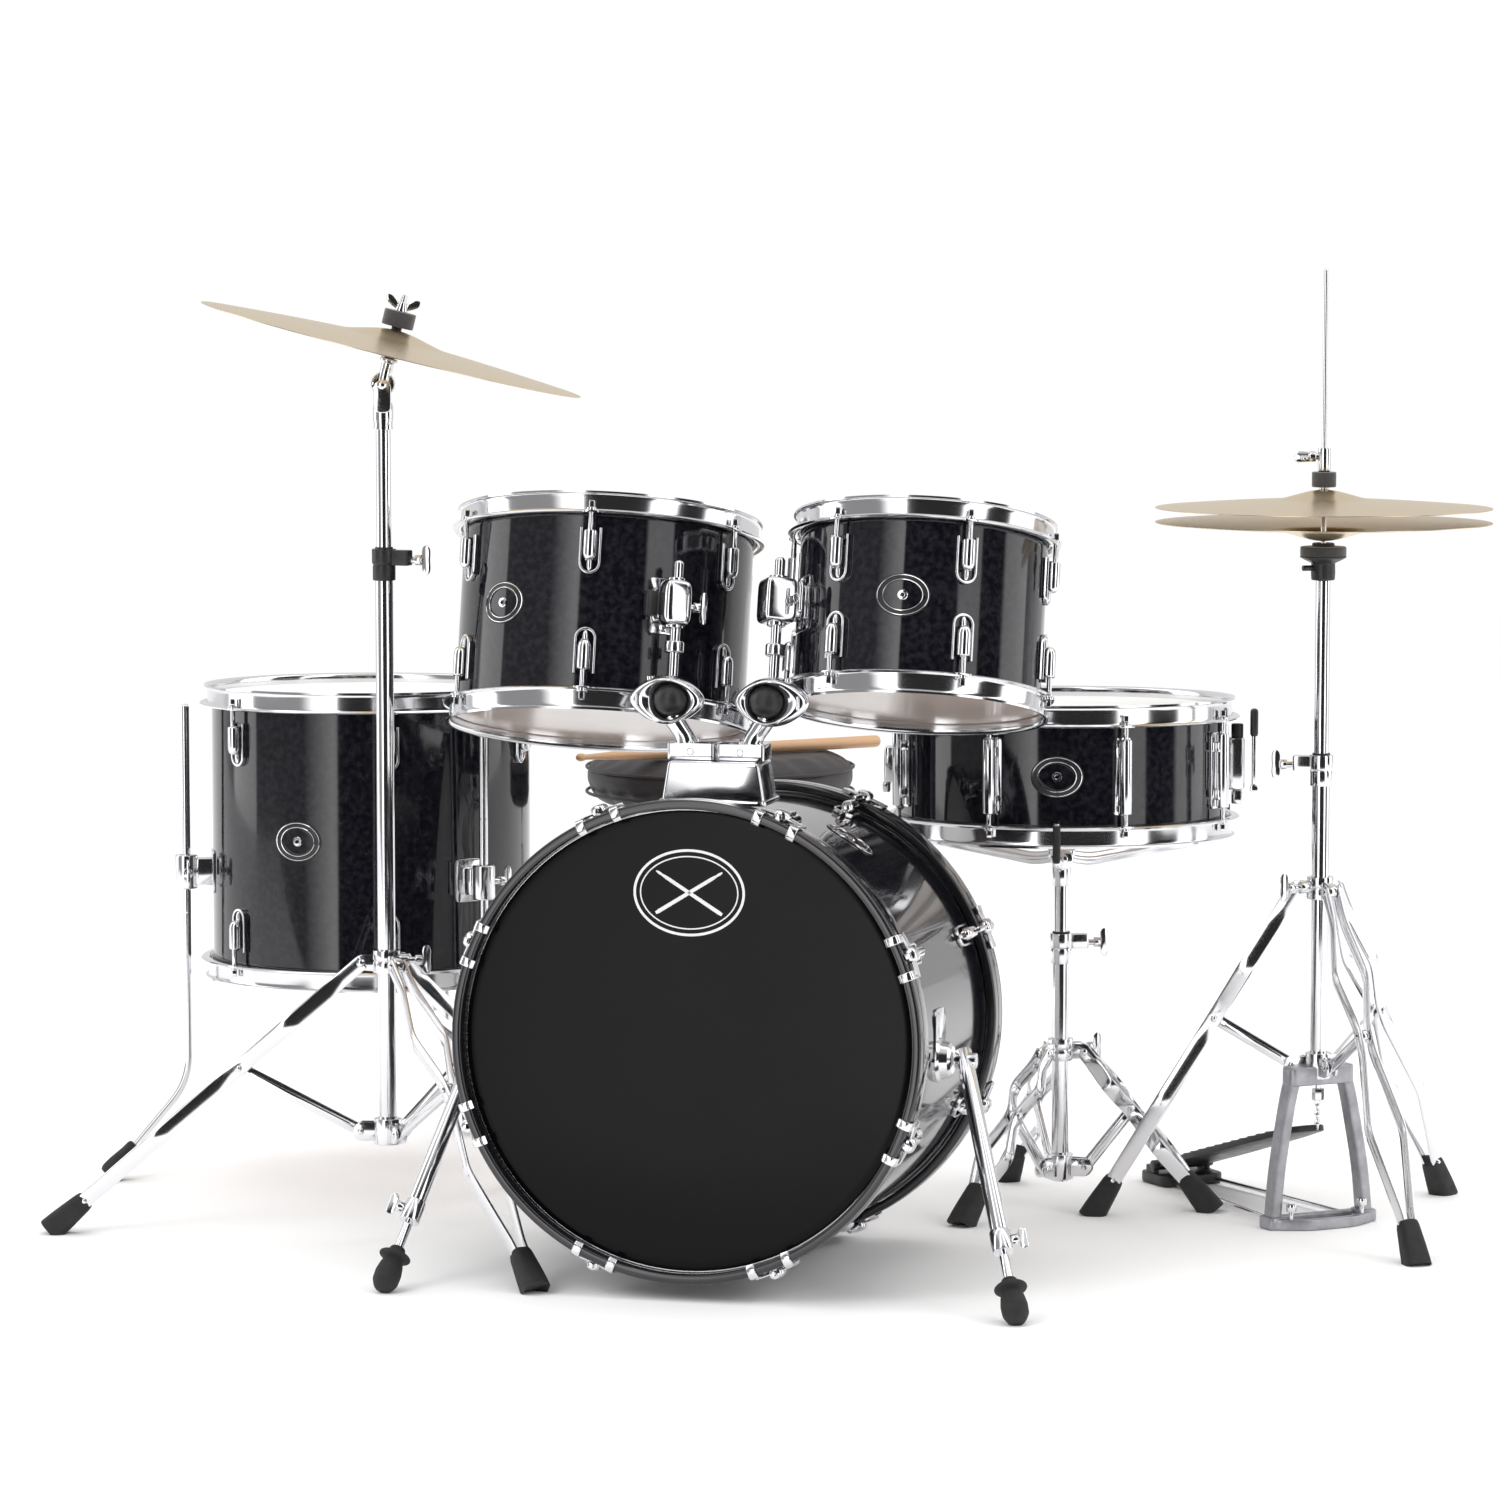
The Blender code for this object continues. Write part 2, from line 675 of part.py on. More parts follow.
def floor_tom():
    """Legs stand upright through their brackets, bend at the knee and end in rubber feet.

    The front leg's foot is turned aside, clear of the crash stand's leg.
    """
    place = (*FLOOR_TOM_PLACE, FLOOR_TOM_CENTRE)
    drum = frame("floor_tom", place, (FLOOR_TOM_TILT, 0, 0))
    shell, fittings = flanged_drum(
        "floor_tom",
        FLOOR_TOM_DIAMETER,
        FLOOR_TOM_DEPTH,
        drum,
        6,
        FLOOR_TOM_LEGS[0] + 30,
        ("coated_film", "clear_film"),
    )
    radius = FLOOR_TOM_DIAMETER / 2
    bores = bmesh.new()
    for angle in FLOOR_TOM_LEGS:
        centre = around(angle, radius + FLOOR_LEG_REACH, FLOOR_BRACKET_HEIGHT)
        up = Vector((0, 0, 0.020))
        rod(fittings, centre - up, centre + up, 13 * MM)
        middle = around(angle, radius + 8 * MM, FLOOR_BRACKET_HEIGHT)
        block(fittings, middle, (24 * MM, 24 * MM, 34 * MM), heading(angle))
        rod(bores, centre - up * 2, centre + up * 2, FLOOR_LEG_RADIUS + 1.8 * MM)
    join(shell, fittings)
    cut(shell, bores)
    stand = frame("floor_tom_stand", (*FLOOR_TOM_PLACE, 0))
    tilt = Matrix.Rotation(math.radians(FLOOR_TOM_TILT), 3, "X")
    for i, angle in enumerate(FLOOR_TOM_LEGS):
        at = tilt @ around(angle, radius + FLOOR_LEG_REACH, FLOOR_BRACKET_HEIGHT)
        leg_frame = frame(f"joint_floor_tom_leg_{i + 1}", (at.x, at.y, 0), parent=stand)
        floor_leg(f"floor_tom_leg_{i + 1}", leg_frame, FLOOR_FOOT_TURNS[i])


def floor_leg(name, leg_frame, turn):
    """An upright rod whose lower end bends out towards an angle and ends in a rubber foot."""
    knee = Vector((0, 0, FLOOR_LEG_KNEE))
    foot = around(turn, FLOOR_LEG_SPREAD, 0.028)
    leg = bmesh.new()
    rod(leg, knee - Vector((0, 0, 2 * MM)), (0, 0, FLOOR_LEG_TOP), FLOOR_LEG_RADIUS)
    body = put(name, leg, leg_frame, "chrome")
    lower = bmesh.new()
    along = (foot - knee).normalized()
    rod(lower, knee, foot, FLOOR_LEG_RADIUS - 0.2 * MM)
    ball(lower, knee, FLOOR_LEG_RADIUS + 0.6 * MM)
    rod(lower, foot - along * 0.018, foot + along * 0.030, 10 * MM, end_radius=14 * MM)
    cut_below(lower, (0, 0, 0), (0, 0, 1))
    join(body, lower)


def cut_below(shape, point, up):
    """Cuts every solid of a bmesh off at a plane, leaving a flat sole."""
    geometry = list(shape.verts) + list(shape.edges) + list(shape.faces)
    made = bmesh.ops.bisect_plane(
        shape, geom=geometry, plane_co=point, plane_no=up, clear_inner=True
    )
    edges = [g for g in made["geom_cut"] if isinstance(g, bmesh.types.BMEdge)]
    bmesh.ops.edgeloop_fill(shape, edges=edges)


# ---------------------------------------------------------------- tripods

STRIP = 4 * MM
STRIP_DEPTH = 16 * MM
PIVOT_LUG = 7 * MM
FIXED_LUG = 10 * MM
COLLAR_RADIUS = 14 * MM
COLLAR_PIVOT = 26 * MM
HUB_PIVOT = 28 * MM
BRACE_SHARE = 0.42
BRACE_THICKNESS = 6 * MM
BRACE_WIDTH = 13 * MM

# Half width of a double-strip leg at shares of its length, from collar to foot.
LEG_WIDTHS = ((0.00, 8), (0.10, 8), (0.24, 20), (0.40, 8), (0.46, 8), (0.68, 22), (0.92, 8))


def leg_outline(length):
    """The two bent strips of a leg as one fork, open at the collar and closed at the foot."""
    right = [(share * length, half * MM) for share, half in LEG_WIDTHS]
    inner = [(s, w - STRIP) for s, w in right]
    tip = [(length, 8 * MM)]
    outline = right + tip + [(length, -8 * MM)]
    outline += [(s, -w) for s, w in reversed(right)]
    outline += [(s, -w) for s, w in inner]
    outline += [(s, w) for s, w in reversed(inner)]
    return outline


def leg_shape(start, end, angle):
    """A leg and its rubber foot, from its collar pivot to its end, in the stand's frame."""
    shape = bmesh.new()
    along = (end - start).normalized()
    side = around(angle + 90, 1)
    axes = Matrix((along, side, along.cross(side))).transposed()
    place = Matrix.Translation(start) @ axes.to_4x4()
    plate(shape, leg_outline((end - start).length), STRIP_DEPTH, place)
    foot = bmesh.new()
    block(foot, end + along * 0.004, (0.052, 0.026, 0.026), axes)
    cut_below(foot, (0, 0, 0), (0, 0, 1))
    return shape, foot


def leg_end(spread, sole=0.022):
    """Where a leg ends inside its rubber foot, so that the foot's tip stands at the spread."""
    return spread - 0.022, sole


def ring(shape, low, high, radius, sides=ROD_SIDES):
    rod(shape, (0, 0, low), (0, 0, high), radius, sides)


def collar_fittings(shape, height, angles, lug, wing_angle=None, wing=0.040):
    """A collar with one lug of the given width for each leg, and a wing screw at an angle."""
    ring(shape, height - 0.011, height + 0.013, COLLAR_RADIUS)
    reach = COLLAR_PIVOT + 9 * MM
    for angle in angles:
        block(shape, around(angle, reach / 2, height), (reach, lug, 18 * MM), heading(angle))
    if wing_angle is not None:
        wing_screw(shape, height + 2 * MM, wing_angle, wing)


def wing_screw(shape, height, angle, reach=0.040):
    rod(shape, around(angle, 0.004, height), around(angle, reach, height), 4.5 * MM, sides=4)
    block(shape, around(angle, reach, height), (5 * MM, 8 * MM, 30 * MM), heading(angle))


def hub_fittings(shape, height, angles):
    """The lower hub: a ring with a pair of cheeks for each brace."""
    ring(shape, height - 0.014, height + 0.014, COLLAR_RADIUS)
    gap = BRACE_THICKNESS + 2 * CLEARANCE
    for angle in angles:
        for side in (-1, 1):
            offset = around(angle + 90, side * (gap / 2 + 1.5 * MM))
            middle = around(angle, HUB_PIVOT / 2 + 4 * MM, height) + offset
            block(shape, middle, (HUB_PIVOT + 8 * MM, 3 * MM, 20 * MM), heading(angle))


def brace_shape(shape, start, end, angle):
    along = (end - start).normalized()
    side = around(angle + 90, 1)
    axes = Matrix((along, side, along.cross(side))).transposed()
    length = (end - start).length + 10 * MM
    size = (length, BRACE_THICKNESS, BRACE_WIDTH)
    block(shape, (start + end) / 2, size, axes)


def tripod_points(angle, spread, collar, hub):
    """(collar pivot, leg end, hub pivot, brace pivot on the leg) for one leg."""
    start = around(angle, COLLAR_PIVOT, collar)
    reach, sole = leg_end(spread)
    end = around(angle, reach, sole)
    return start, end, around(angle, HUB_PIVOT, hub), start.lerp(end, BRACE_SHARE)


def fixed_tripod(shape, angles, spread, collar, hub, wing_angle):
    """Legs, braces, collar and hub of a stand that stays open, added to one bmesh."""
    collar_fittings(shape, collar, angles, FIXED_LUG, wing_angle)
    ring(shape, hub - 0.014, hub + 0.014, COLLAR_RADIUS)
    for angle in angles:
        start, end, hub_pivot, knee = tripod_points(angle, spread, collar, hub)
        leg, foot = leg_shape(start, end, angle)
        copy_into(shape, leg)
        copy_into(shape, foot)
        block(
            shape,
            around(angle, HUB_PIVOT / 2, hub),
            (HUB_PIVOT + 6 * MM, FIXED_LUG, 18 * MM),
            heading(angle),
        )
        brace_shape(shape, hub_pivot, knee, angle)
        block(shape, knee, (8 * MM, 13 * MM, 7 * MM), heading(angle))


def copy_into(shape, other):
    mesh = bpy.data.meshes.new("copy")
    other.to_mesh(mesh)
    other.free()
    shape.from_mesh(mesh)
    bpy.data.meshes.remove(mesh)


def stand_tube(name, parent, low, high, radius=TUBE_RADIUS):
    """A stand's tube, solid until its fittings are on and tube_bore opens it."""
    shape = bmesh.new()
    ring(shape, low, high, radius)
    return put(name, shape, parent, "chrome")


def height_clamp(shape, height, angle, radius=13 * MM):
    """The casting at a tube's top that grips the tube inside it; its bore is cut later."""
    ring(shape, height - 0.034, height, radius)
    wing_screw(shape, height - 0.014, angle, 0.046)


def tube_bore(target, low, high, bore=TUBE_BORE):
    cutter = bmesh.new()
    rod(cutter, (0, 0, low), (0, 0, high), bore)
    cut(target, cutter)


# ---------------------------------------------------------------- crash cymbal stand

CRASH_ANGLES = (178, 298, 58)
CRASH_SPREAD = 0.360
CRASH_COLLAR = 0.292
CRASH_HUB = 0.112
CRASH_LOWER_TOP = 0.728
CRASH_INSERT = 0.190
CRASH_UPPER_TOP = 0.872
CRASH_PIVOT = 0.900
CRASH_TILT = 14.2
CYMBAL_PLACE = 0.058


def crash_stand():
    """The cymbal stand whose tripod folds: the collar rides up, legs and braces close on the tube."""
    stand = frame("crash_stand", (*CRASH_PLACE, 0))
    tube = stand_tube("crash_lower_tube", stand, CRASH_HUB, CRASH_LOWER_TOP - END_INSET)
    extra = bmesh.new()
    hub_fittings(extra, CRASH_HUB, CRASH_ANGLES)
    height_clamp(extra, CRASH_LOWER_TOP, -20)
    join(tube, extra)
    tube_bore(tube, CRASH_HUB - 0.05, CRASH_LOWER_TOP + 0.05)

    slide = joint_frame("crash_fold", (0, 0, CRASH_COLLAR), (0, 0, 1), stand)
    slide.rotation_euler = (0, 0, 0)
    lugs = bmesh.new()
    collar_fittings(lugs, 0, CRASH_ANGLES, PIVOT_LUG, wing_angle=5)
    core = bmesh.new()
    ring(core, -0.009, 0.015, COLLAR_RADIUS + 1 * MM)
    collar = put("crash_collar", core, slide, "chrome")
    join(collar, lugs)
    tube_bore(collar, -0.05, 0.05, TUBE_RADIUS + TELESCOPE_CLEARANCE)

    for i, angle in enumerate(CRASH_ANGLES):
        start, end, hub_pivot, knee = tripod_points(angle, CRASH_SPREAD, CRASH_COLLAR, CRASH_HUB)
        folding_piece(f"crash_leg_{i + 1}", stand, start, angle, leg_shape(start, end, angle))
        brace = bmesh.new()
        brace_shape(brace, hub_pivot, knee, angle)
        folding_piece(f"crash_brace_{i + 1}", stand, hub_pivot, angle, (brace, None))

    upper = joint_frame("crash_height", (0, 0, CRASH_LOWER_TOP), (0, 0, 1), stand)
    upper.rotation_euler = (0, 0, 0)
    shaft = bmesh.new()
    rise = CRASH_UPPER_TOP - CRASH_LOWER_TOP
    rod(shaft, (0, 0, -CRASH_INSERT), (0, 0, rise), SLIM_TUBE_RADIUS)
    post = put("crash_upper_tube", shaft, upper, "chrome")
    cheeks = bmesh.new()
    pivot = CRASH_PIVOT - CRASH_LOWER_TOP
    ring(cheeks, rise - 0.006, rise + 0.004, 11 * MM)
    block(cheeks, (0, -0.008, pivot - 0.008), (0.016, 0.006, 0.034))
    join(post, cheeks)
    crash_tilter(upper, pivot)


def folding_piece(name, stand, pivot, angle, shapes):
    """A leg or brace moved to its hinge's frame, whose +Z is the hinge axis."""
    hinge = joint_frame(name, pivot, around(angle - 90, 1), stand)
    to_hinge = (Matrix.Translation(pivot) @ hinge.rotation_euler.to_matrix().to_4x4()).inverted()
    first, second = shapes
    for shape in filter(None, shapes):
        bmesh.ops.transform(shape, matrix=to_hinge, verts=shape.verts)
    piece = put(name, first, hinge, "chrome")
    if second:
        join(piece, second)


def crash_tilter(upper, pivot):
    """Ratchet disc, rod, felts and wing nut, and the cymbal between the felts."""
    tilt = joint_frame("crash_tilt", (0, 0, pivot), (0, 1, 0), upper)
    tilt_turn = Matrix.Rotation(math.radians(CRASH_TILT), 3, "Y")
    to_tilt = tilt.rotation_euler.to_matrix().inverted()
    axis = to_tilt @ tilt_turn @ Vector((0, 0, 1))
    across = to_tilt @ Vector((0, 1, 0))
    disc = bmesh.new()
    rod(disc, across * -4.5 * MM, across * 8 * MM, 13 * MM, sides=12)
    body = put("crash_tilter", disc, tilt, "chrome")
    top = bmesh.new()
    rod(top, Vector((0, 0, 0)), axis * (CYMBAL_PLACE + 0.038), 3.5 * MM)
    rod(top, axis * 0.020, axis * (CYMBAL_PLACE - 0.005), 9 * MM)
    rod(top, axis * (CYMBAL_PLACE + 0.003), axis * (CYMBAL_PLACE + 0.020), 17 * MM)
    rod(top, axis * (CYMBAL_PLACE + 0.019), axis * (CYMBAL_PLACE + 0.032), 8 * MM)
    join(body, top)
    at = tilt_turn @ Vector((0, 0, CYMBAL_PLACE)) + Vector((0, 0, pivot))
    joint_frame("crash_rock", at, (0, 1, 0), upper)
    cymbal_frame = frame("crash_cymbal_axis", at, (0, CRASH_TILT, 0), upper)
    cymbal("crash_cymbal", CRASH_DIAMETER, cymbal_frame, 1)


def cymbal(name, diameter, parent, side):
    """A thin bronze dish with a raised bell; its hole's upper edge is at z = 0."""
    edge = (diameter / 2, -cymbal_drop(diameter))
    upper = [(CYMBAL_HOLE, 0), (BELL_SHARE * diameter, -BELL_DROP), edge]
    lower = [(r, z - CYMBAL_THICKNESS) for r, z in reversed(upper)]
    profile = upper + lower
    if side < 0:
        profile = [(r, -z) for r, z in reversed(profile)]
    turned(name, profile, parent, "bronze")


def cymbal_drop(diameter):
    """How far a cymbal's edge lies below its hole."""
    return BELL_DROP + BOW_SHARE * diameter


# ---------------------------------------------------------------- hi-hat stand

HIHAT_ANGLES = (167, 289, 49)
HIHAT_SPREAD = 0.252
HIHAT_COLLAR = 0.362
HIHAT_HUB = 0.172
HIHAT_LOWER_TOP = 0.505
HIHAT_UPPER_LOW = 0.300
HIHAT_SEAT = 0.700
CUP_HEIGHT = 32.4 * MM
HIHAT_PEDAL_YAW = 25.8
HIHAT_PEDAL_LENGTH = 0.285
HIHAT_GAP = 0.016
HIHAT_ROD_LOW = 0.138
HIHAT_ROD_TOP = 1.020
PULL_ROD_RADIUS = 3 * MM
HIHAT_BORE = 4.4 * MM


def hihat_stand():
    """Tube with a fixed tripod, a cast A-frame below it, and a pedal that pulls the rod down."""
    stand = frame("hihat_stand", (*HIHAT_PLACE, 0))
    tube = stand_tube("hihat_stand_base", stand, HIHAT_HUB, HIHAT_LOWER_TOP - END_INSET)
    extra = bmesh.new()
    fixed_tripod(extra, HIHAT_ANGLES, HIHAT_SPREAD, HIHAT_COLLAR, HIHAT_HUB, 200)
    height_clamp(extra, HIHAT_LOWER_TOP, 170)
    pedal_frame(extra)
    join(tube, extra)
    tube_bore(tube, HIHAT_HUB - 0.05, HIHAT_LOWER_TOP + 0.05)

    height = joint_frame("hihat_height", (0, 0, HIHAT_LOWER_TOP), (0, 0, 1), stand)
    height.rotation_euler = (0, 0, 0)
    lift = HIHAT_LOWER_TOP
    low, seat = HIHAT_UPPER_LOW - lift, HIHAT_SEAT - lift
    upper = stand_tube("hihat_upper_tube", height, low, seat, SLIM_TUBE_RADIUS)
    cup = bmesh.new()
    ring(cup, seat - 0.009, seat + 0.012, 12.7 * MM)
    rod(cup, (0, 0, seat + 0.009), (0, 0, seat + 0.016), 13 * MM, 12, 25 * MM)
    rod(cup, (0, 0, seat + 0.015), (0, 0, seat + 0.0265), 24.5 * MM, 12)
    rod(cup, (0, 0, seat + 0.025), (0, 0, seat + 0.030), 12 * MM, 12)
    join(upper, cup)
    tube_bore(upper, low - 0.05, seat + 0.08, HIHAT_BORE)
    bottom = frame("hihat_bottom_axis", (0, 0, seat + CUP_HEIGHT), parent=height)
    cymbal("hihat_bottom_cymbal", HIHAT_DIAMETER, bottom, -1)
    hihat_pull_rod(stand, HIHAT_SEAT + CUP_HEIGHT)
    hihat_pedal(stand)


def pedal_frame(shape):
    """The cast A-frame: two legs from the hub to a base ring, and rods back to the heel plate."""
    turn = heading(HIHAT_PEDAL_YAW)
    wide, top = 0.058, 0.030
    for side in (-1, 1):
        foot = turn @ Vector((side * wide, 0, 0.008))
        head_at = turn @ Vector((side * top, 0, HIHAT_HUB - 0.012))
        bar(shape, head_at, foot, 0.014, 0.020, HIHAT_PEDAL_YAW)
        heel = turn @ Vector((side * 0.026, HIHAT_PEDAL_LENGTH, 0.006))
        rod(shape, turn @ Vector((side * 0.048, 0, 0.006)), heel, 3.2 * MM, sides=6)
    block(shape, Vector((0, 0, HIHAT_HUB - 0.010)), (0.074, 0.022, 0.018), turn)
    block(shape, turn @ Vector((0, -0.010, 0.006)), (0.128, 0.044, 0.012), turn)
    heel_at = turn @ Vector((0, HIHAT_PEDAL_LENGTH, 0.007))
    block(shape, heel_at, (0.080, 0.062, 0.014), turn)


def bar(shape, start, end, width, depth, angle):
    """A square bar between two points, whose depth runs along the pedal."""
    start, end = Vector(start), Vector(end)
    along = (end - start).normalized()
    depth_way = around(angle + 90, 1)
    axes = Matrix((along, depth_way, along.cross(depth_way))).transposed()
    length = (end - start).length + 6 * MM
    block(shape, (start + end) / 2, (length, depth, width), axes)


def hihat_pedal(stand):
    turn = heading(HIHAT_PEDAL_YAW)
    heel = turn @ Vector((0, HIHAT_PEDAL_LENGTH, 0.0215))
    hinge = joint_frame("hihat_footboard", heel, turn @ Vector((1, 0, 0)), stand)
    to_hinge = hinge.rotation_euler.to_matrix().inverted()
    toe = turn @ Vector((0, 0.016 - HIHAT_PEDAL_LENGTH, 0.080))
    footboard(hinge, "hihat_footboard", to_hinge, toe, 0.076)


def hihat_pull_rod(stand, bottom_hole):
    """The rod with its chain link and clutch, and the top cymbal that hangs on the clutch."""
    joint_frame("hihat_rod", (0, 0, 0), (0, 0, -1), stand)
    carrier = frame("hihat_rod_axis", parent=stand)
    top_hole = bottom_hole + 2 * cymbal_drop(HIHAT_DIAMETER) + HIHAT_GAP
    shaft = bmesh.new()
    rod(shaft, (0, 0, HIHAT_ROD_LOW), (0, 0, HIHAT_ROD_TOP), PULL_ROD_RADIUS)
    body = put("hihat_pull_rod", shaft, carrier, "chrome")
    clutch = bmesh.new()
    ring(clutch, top_hole - 0.012, top_hole + 0.042, 5.2 * MM)
    ring(clutch, top_hole - 0.016, top_hole - 0.005, 10 * MM)
    ring(clutch, top_hole + 0.003, top_hole + 0.019, 13 * MM)
    ring(clutch, top_hole + 0.018, top_hole + 0.044, 7 * MM)
    wing_screw(clutch, top_hole + 0.036, 180, 0.024)
    ring(clutch, HIHAT_ROD_LOW - 0.004, HIHAT_ROD_LOW + 0.010, 7 * MM)
    ring(clutch, HIHAT_ROD_LOW - 0.034, HIHAT_ROD_LOW, 2.5 * MM)
    join(body, clutch)
    axis = frame("hihat_top_axis", (0, 0, top_hole), parent=stand)
    cymbal("hihat_top_cymbal", HIHAT_DIAMETER, axis, 1)


# ---------------------------------------------------------------- snare drum and its stand

SNARE_ANGLES = (227.6, 347.6, 107.6)
SNARE_SPREAD = 0.172
SNARE_COLLAR = 0.172
SNARE_HUB = 0.044
SNARE_LOWER_TOP = 0.300
SNARE_TILT = -1.5
SNARE_CENTRE = 0.4835
SNARE_LUG_ANGLE = -72.4
BASKET_ANGLES = (265.1, 25.1, 145.1)
BASKET_HEIGHT = 0.380
BASKET_GRIP = 20 * MM
STRAINER_ANGLE = -4.9


def snare():
    """Drum, snare wires and the throw-off with its lever on the drum's right side."""
    drum = frame("snare", (*SNARE_PLACE, SNARE_CENTRE), (SNARE_TILT, 0, 0))
    films = ("coated_film", "clear_film")
    shell, fittings = flanged_drum(
        "snare", SNARE_DIAMETER, SNARE_DEPTH, drum, 8, SNARE_LUG_ANGLE, films, mid_lugs=True
    )
    radius = SNARE_DIAMETER / 2
    at = around(STRAINER_ANGLE, radius + 9 * MM, 0.004)
    block(fittings, at, (0.022, 0.024, 0.052), heading(STRAINER_ANGLE))
    butt = around(STRAINER_ANGLE + 180, radius + 7 * MM, 0)
    block(fittings, butt, (0.018, 0.034, 0.036), heading(STRAINER_ANGLE))
    join(shell, fittings)

    lever_at = around(STRAINER_ANGLE, radius + 0.029, -0.024)
    lever = joint_frame("snare_throw_off", lever_at, around(STRAINER_ANGLE + 90, 1), drum)
    turn = lever.rotation_euler.to_matrix().inverted()
    shape = bmesh.new()
    size = (0.009, 0.018, 0.092)
    block(shape, turn @ Vector((0, 0, 0.040)), size, turn @ heading(STRAINER_ANGLE))
    put("snare_throw_off_lever", shape, lever, "black_plastic")

    wires = bmesh.new()
    low = -(SNARE_DEPTH / 2 + CLEARANCE + HEAD_FILM + CLEARANCE + 1 * MM)
    long_way = (SNARE_DIAMETER - 0.060, 0.040, 2 * MM)
    block(wires, Vector((0, 0, low)), long_way, heading(STRAINER_ANGLE))
    put("snare_wires", wires, drum, "steel_wire")


def snare_stand():
    stand = frame("snare_stand", (*SNARE_PLACE, 0))
    tube = stand_tube("snare_stand_base", stand, SNARE_HUB, SNARE_LOWER_TOP - END_INSET)
    extra = bmesh.new()
    fixed_tripod(extra, SNARE_ANGLES, SNARE_SPREAD, SNARE_COLLAR, SNARE_HUB, 15)
    height_clamp(extra, SNARE_LOWER_TOP, 10)
    join(tube, extra)
    tube_bore(tube, SNARE_HUB - 0.05, SNARE_LOWER_TOP + 0.05)

    lift = joint_frame("snare_height", (0, 0, SNARE_LOWER_TOP), (0, 0, 1), stand)
    lift.rotation_euler = (0, 0, 0)
    shaft = bmesh.new()
    rod(shaft, (0, 0, -0.11), (0, 0, BASKET_HEIGHT - SNARE_LOWER_TOP), SLIM_TUBE_RADIUS)
    basket = put("snare_basket", shaft, lift, "chrome")
    arms = bmesh.new()
    centre = BASKET_HEIGHT - SNARE_LOWER_TOP
    rod(arms, (0, -0.012, centre), (0, 0.012, centre), 15 * MM, sides=10)
    hoop_outer = tension_circle(SNARE_DIAMETER) + HOOP_FLANGE / 2
    half = SNARE_DEPTH / 2 + HOOP_ABOVE
    tilt = Matrix.Rotation(math.radians(SNARE_TILT), 3, "X")
    offset = Vector((0, 0, SNARE_CENTRE - SNARE_LOWER_TOP))
    for angle in BASKET_ANGLES:
        grip = hoop_outer + CLEARANCE + 5 * MM
        low = -half - 8 * MM
        corner = tilt @ around(angle, grip, low) + offset
        top = tilt @ around(angle, grip, -half + 0.024) + offset
        shelf = tilt @ around(angle, hoop_outer - 5 * MM, -half - 5.5 * MM) + offset
        knee = around(angle, 0.030, centre)
        rod(arms, around(angle, 0.004, centre), knee, 5 * MM, sides=6)
        rod(arms, knee - around(angle, 2 * MM), corner, 4.5 * MM, sides=6)
        turn = tilt @ heading(angle)
        block(arms, (corner + top) / 2, (9 * MM, BASKET_GRIP, (top - corner).length), turn)
        block(arms, shelf, (0.026, BASKET_GRIP, 9 * MM), turn)
    join(basket, arms)


# ---------------------------------------------------------------- throne and stick

THRONE_ANGLES = (270, 30, 150)
THRONE_SPREAD = 0.230
THRONE_COLLAR = 0.235
THRONE_HUB = 0.085
THRONE_TUBE_TOP = 0.335
SEAT_TOP = 0.452
SEAT_THICKNESS = 0.058
SEAT_RADIUS = 0.158
STICK_LENGTH = 0.406
STICK_RADIUS = 7.2 * MM


def throne():
    stand = frame("throne", (*THRONE_PLACE, 0))
    tube = stand_tube("throne_base", stand, THRONE_HUB, THRONE_TUBE_TOP - END_INSET)
    extra = bmesh.new()
    fixed_tripod(extra, THRONE_ANGLES, THRONE_SPREAD, THRONE_COLLAR, THRONE_HUB, 90)
    height_clamp(extra, THRONE_TUBE_TOP, 210)
    join(tube, extra)
    tube_bore(tube, THRONE_HUB - 0.05, THRONE_TUBE_TOP + 0.05)

    spin = joint_frame("throne_spin", (0, 0, THRONE_TUBE_TOP), (0, 0, 1), stand)
    spin.rotation_euler = (0, 0, 0)
    lift = THRONE_TUBE_TOP
    top, low = SEAT_TOP - lift, SEAT_TOP - SEAT_THICKNESS - lift
    edge = 14 * MM
    profile = [
        (0, top),
        (SEAT_RADIUS - edge, top),
        (SEAT_RADIUS, top - edge),
        (SEAT_RADIUS, low + edge),
        (SEAT_RADIUS - edge, low),
        (0, low),
    ]
    seat = turned("throne_seat", profile, spin, "vinyl", closed=False)
    post = bmesh.new()
    rod(post, (0, 0, -0.10), (0, 0, low + 2 * MM), TUBE_BORE - 0.8 * MM)
    rod(post, (0, 0, low - 0.030), (0, 0, low + 1 * MM), 17 * MM)
    join(seat, post)


def drumstick():
    """Lies across the seat: a long tapered shaft with a small tip."""
    middle = Vector((*THRONE_PLACE, SEAT_TOP + STICK_RADIUS + CLEARANCE))
    lie = frame("stick_lie", middle + Vector((0.012, -0.055, 0)), (0, 0, 30))
    joint_frame("stick_lift", middle, (0, 0, 1))
    shape = bmesh.new()
    half = STICK_LENGTH / 2
    taper = half - 0.105
    rod(shape, (-taper, 0, 0), (half, 0, 0), STICK_RADIUS)
    stick = put("drumstick", shape, lie, "wood")
    end = bmesh.new()
    rod(end, (-half + 0.012, 0, 0), (-taper + 1 * MM, 0, 0), 3.2 * MM, end_radius=7 * MM)
    rod(end, (-half, 0, 0), (-half + 0.014, 0, 0), 3.6 * MM, end_radius=4.6 * MM)
    join(stick, end)


# ---------------------------------------------------------------- the whole kit

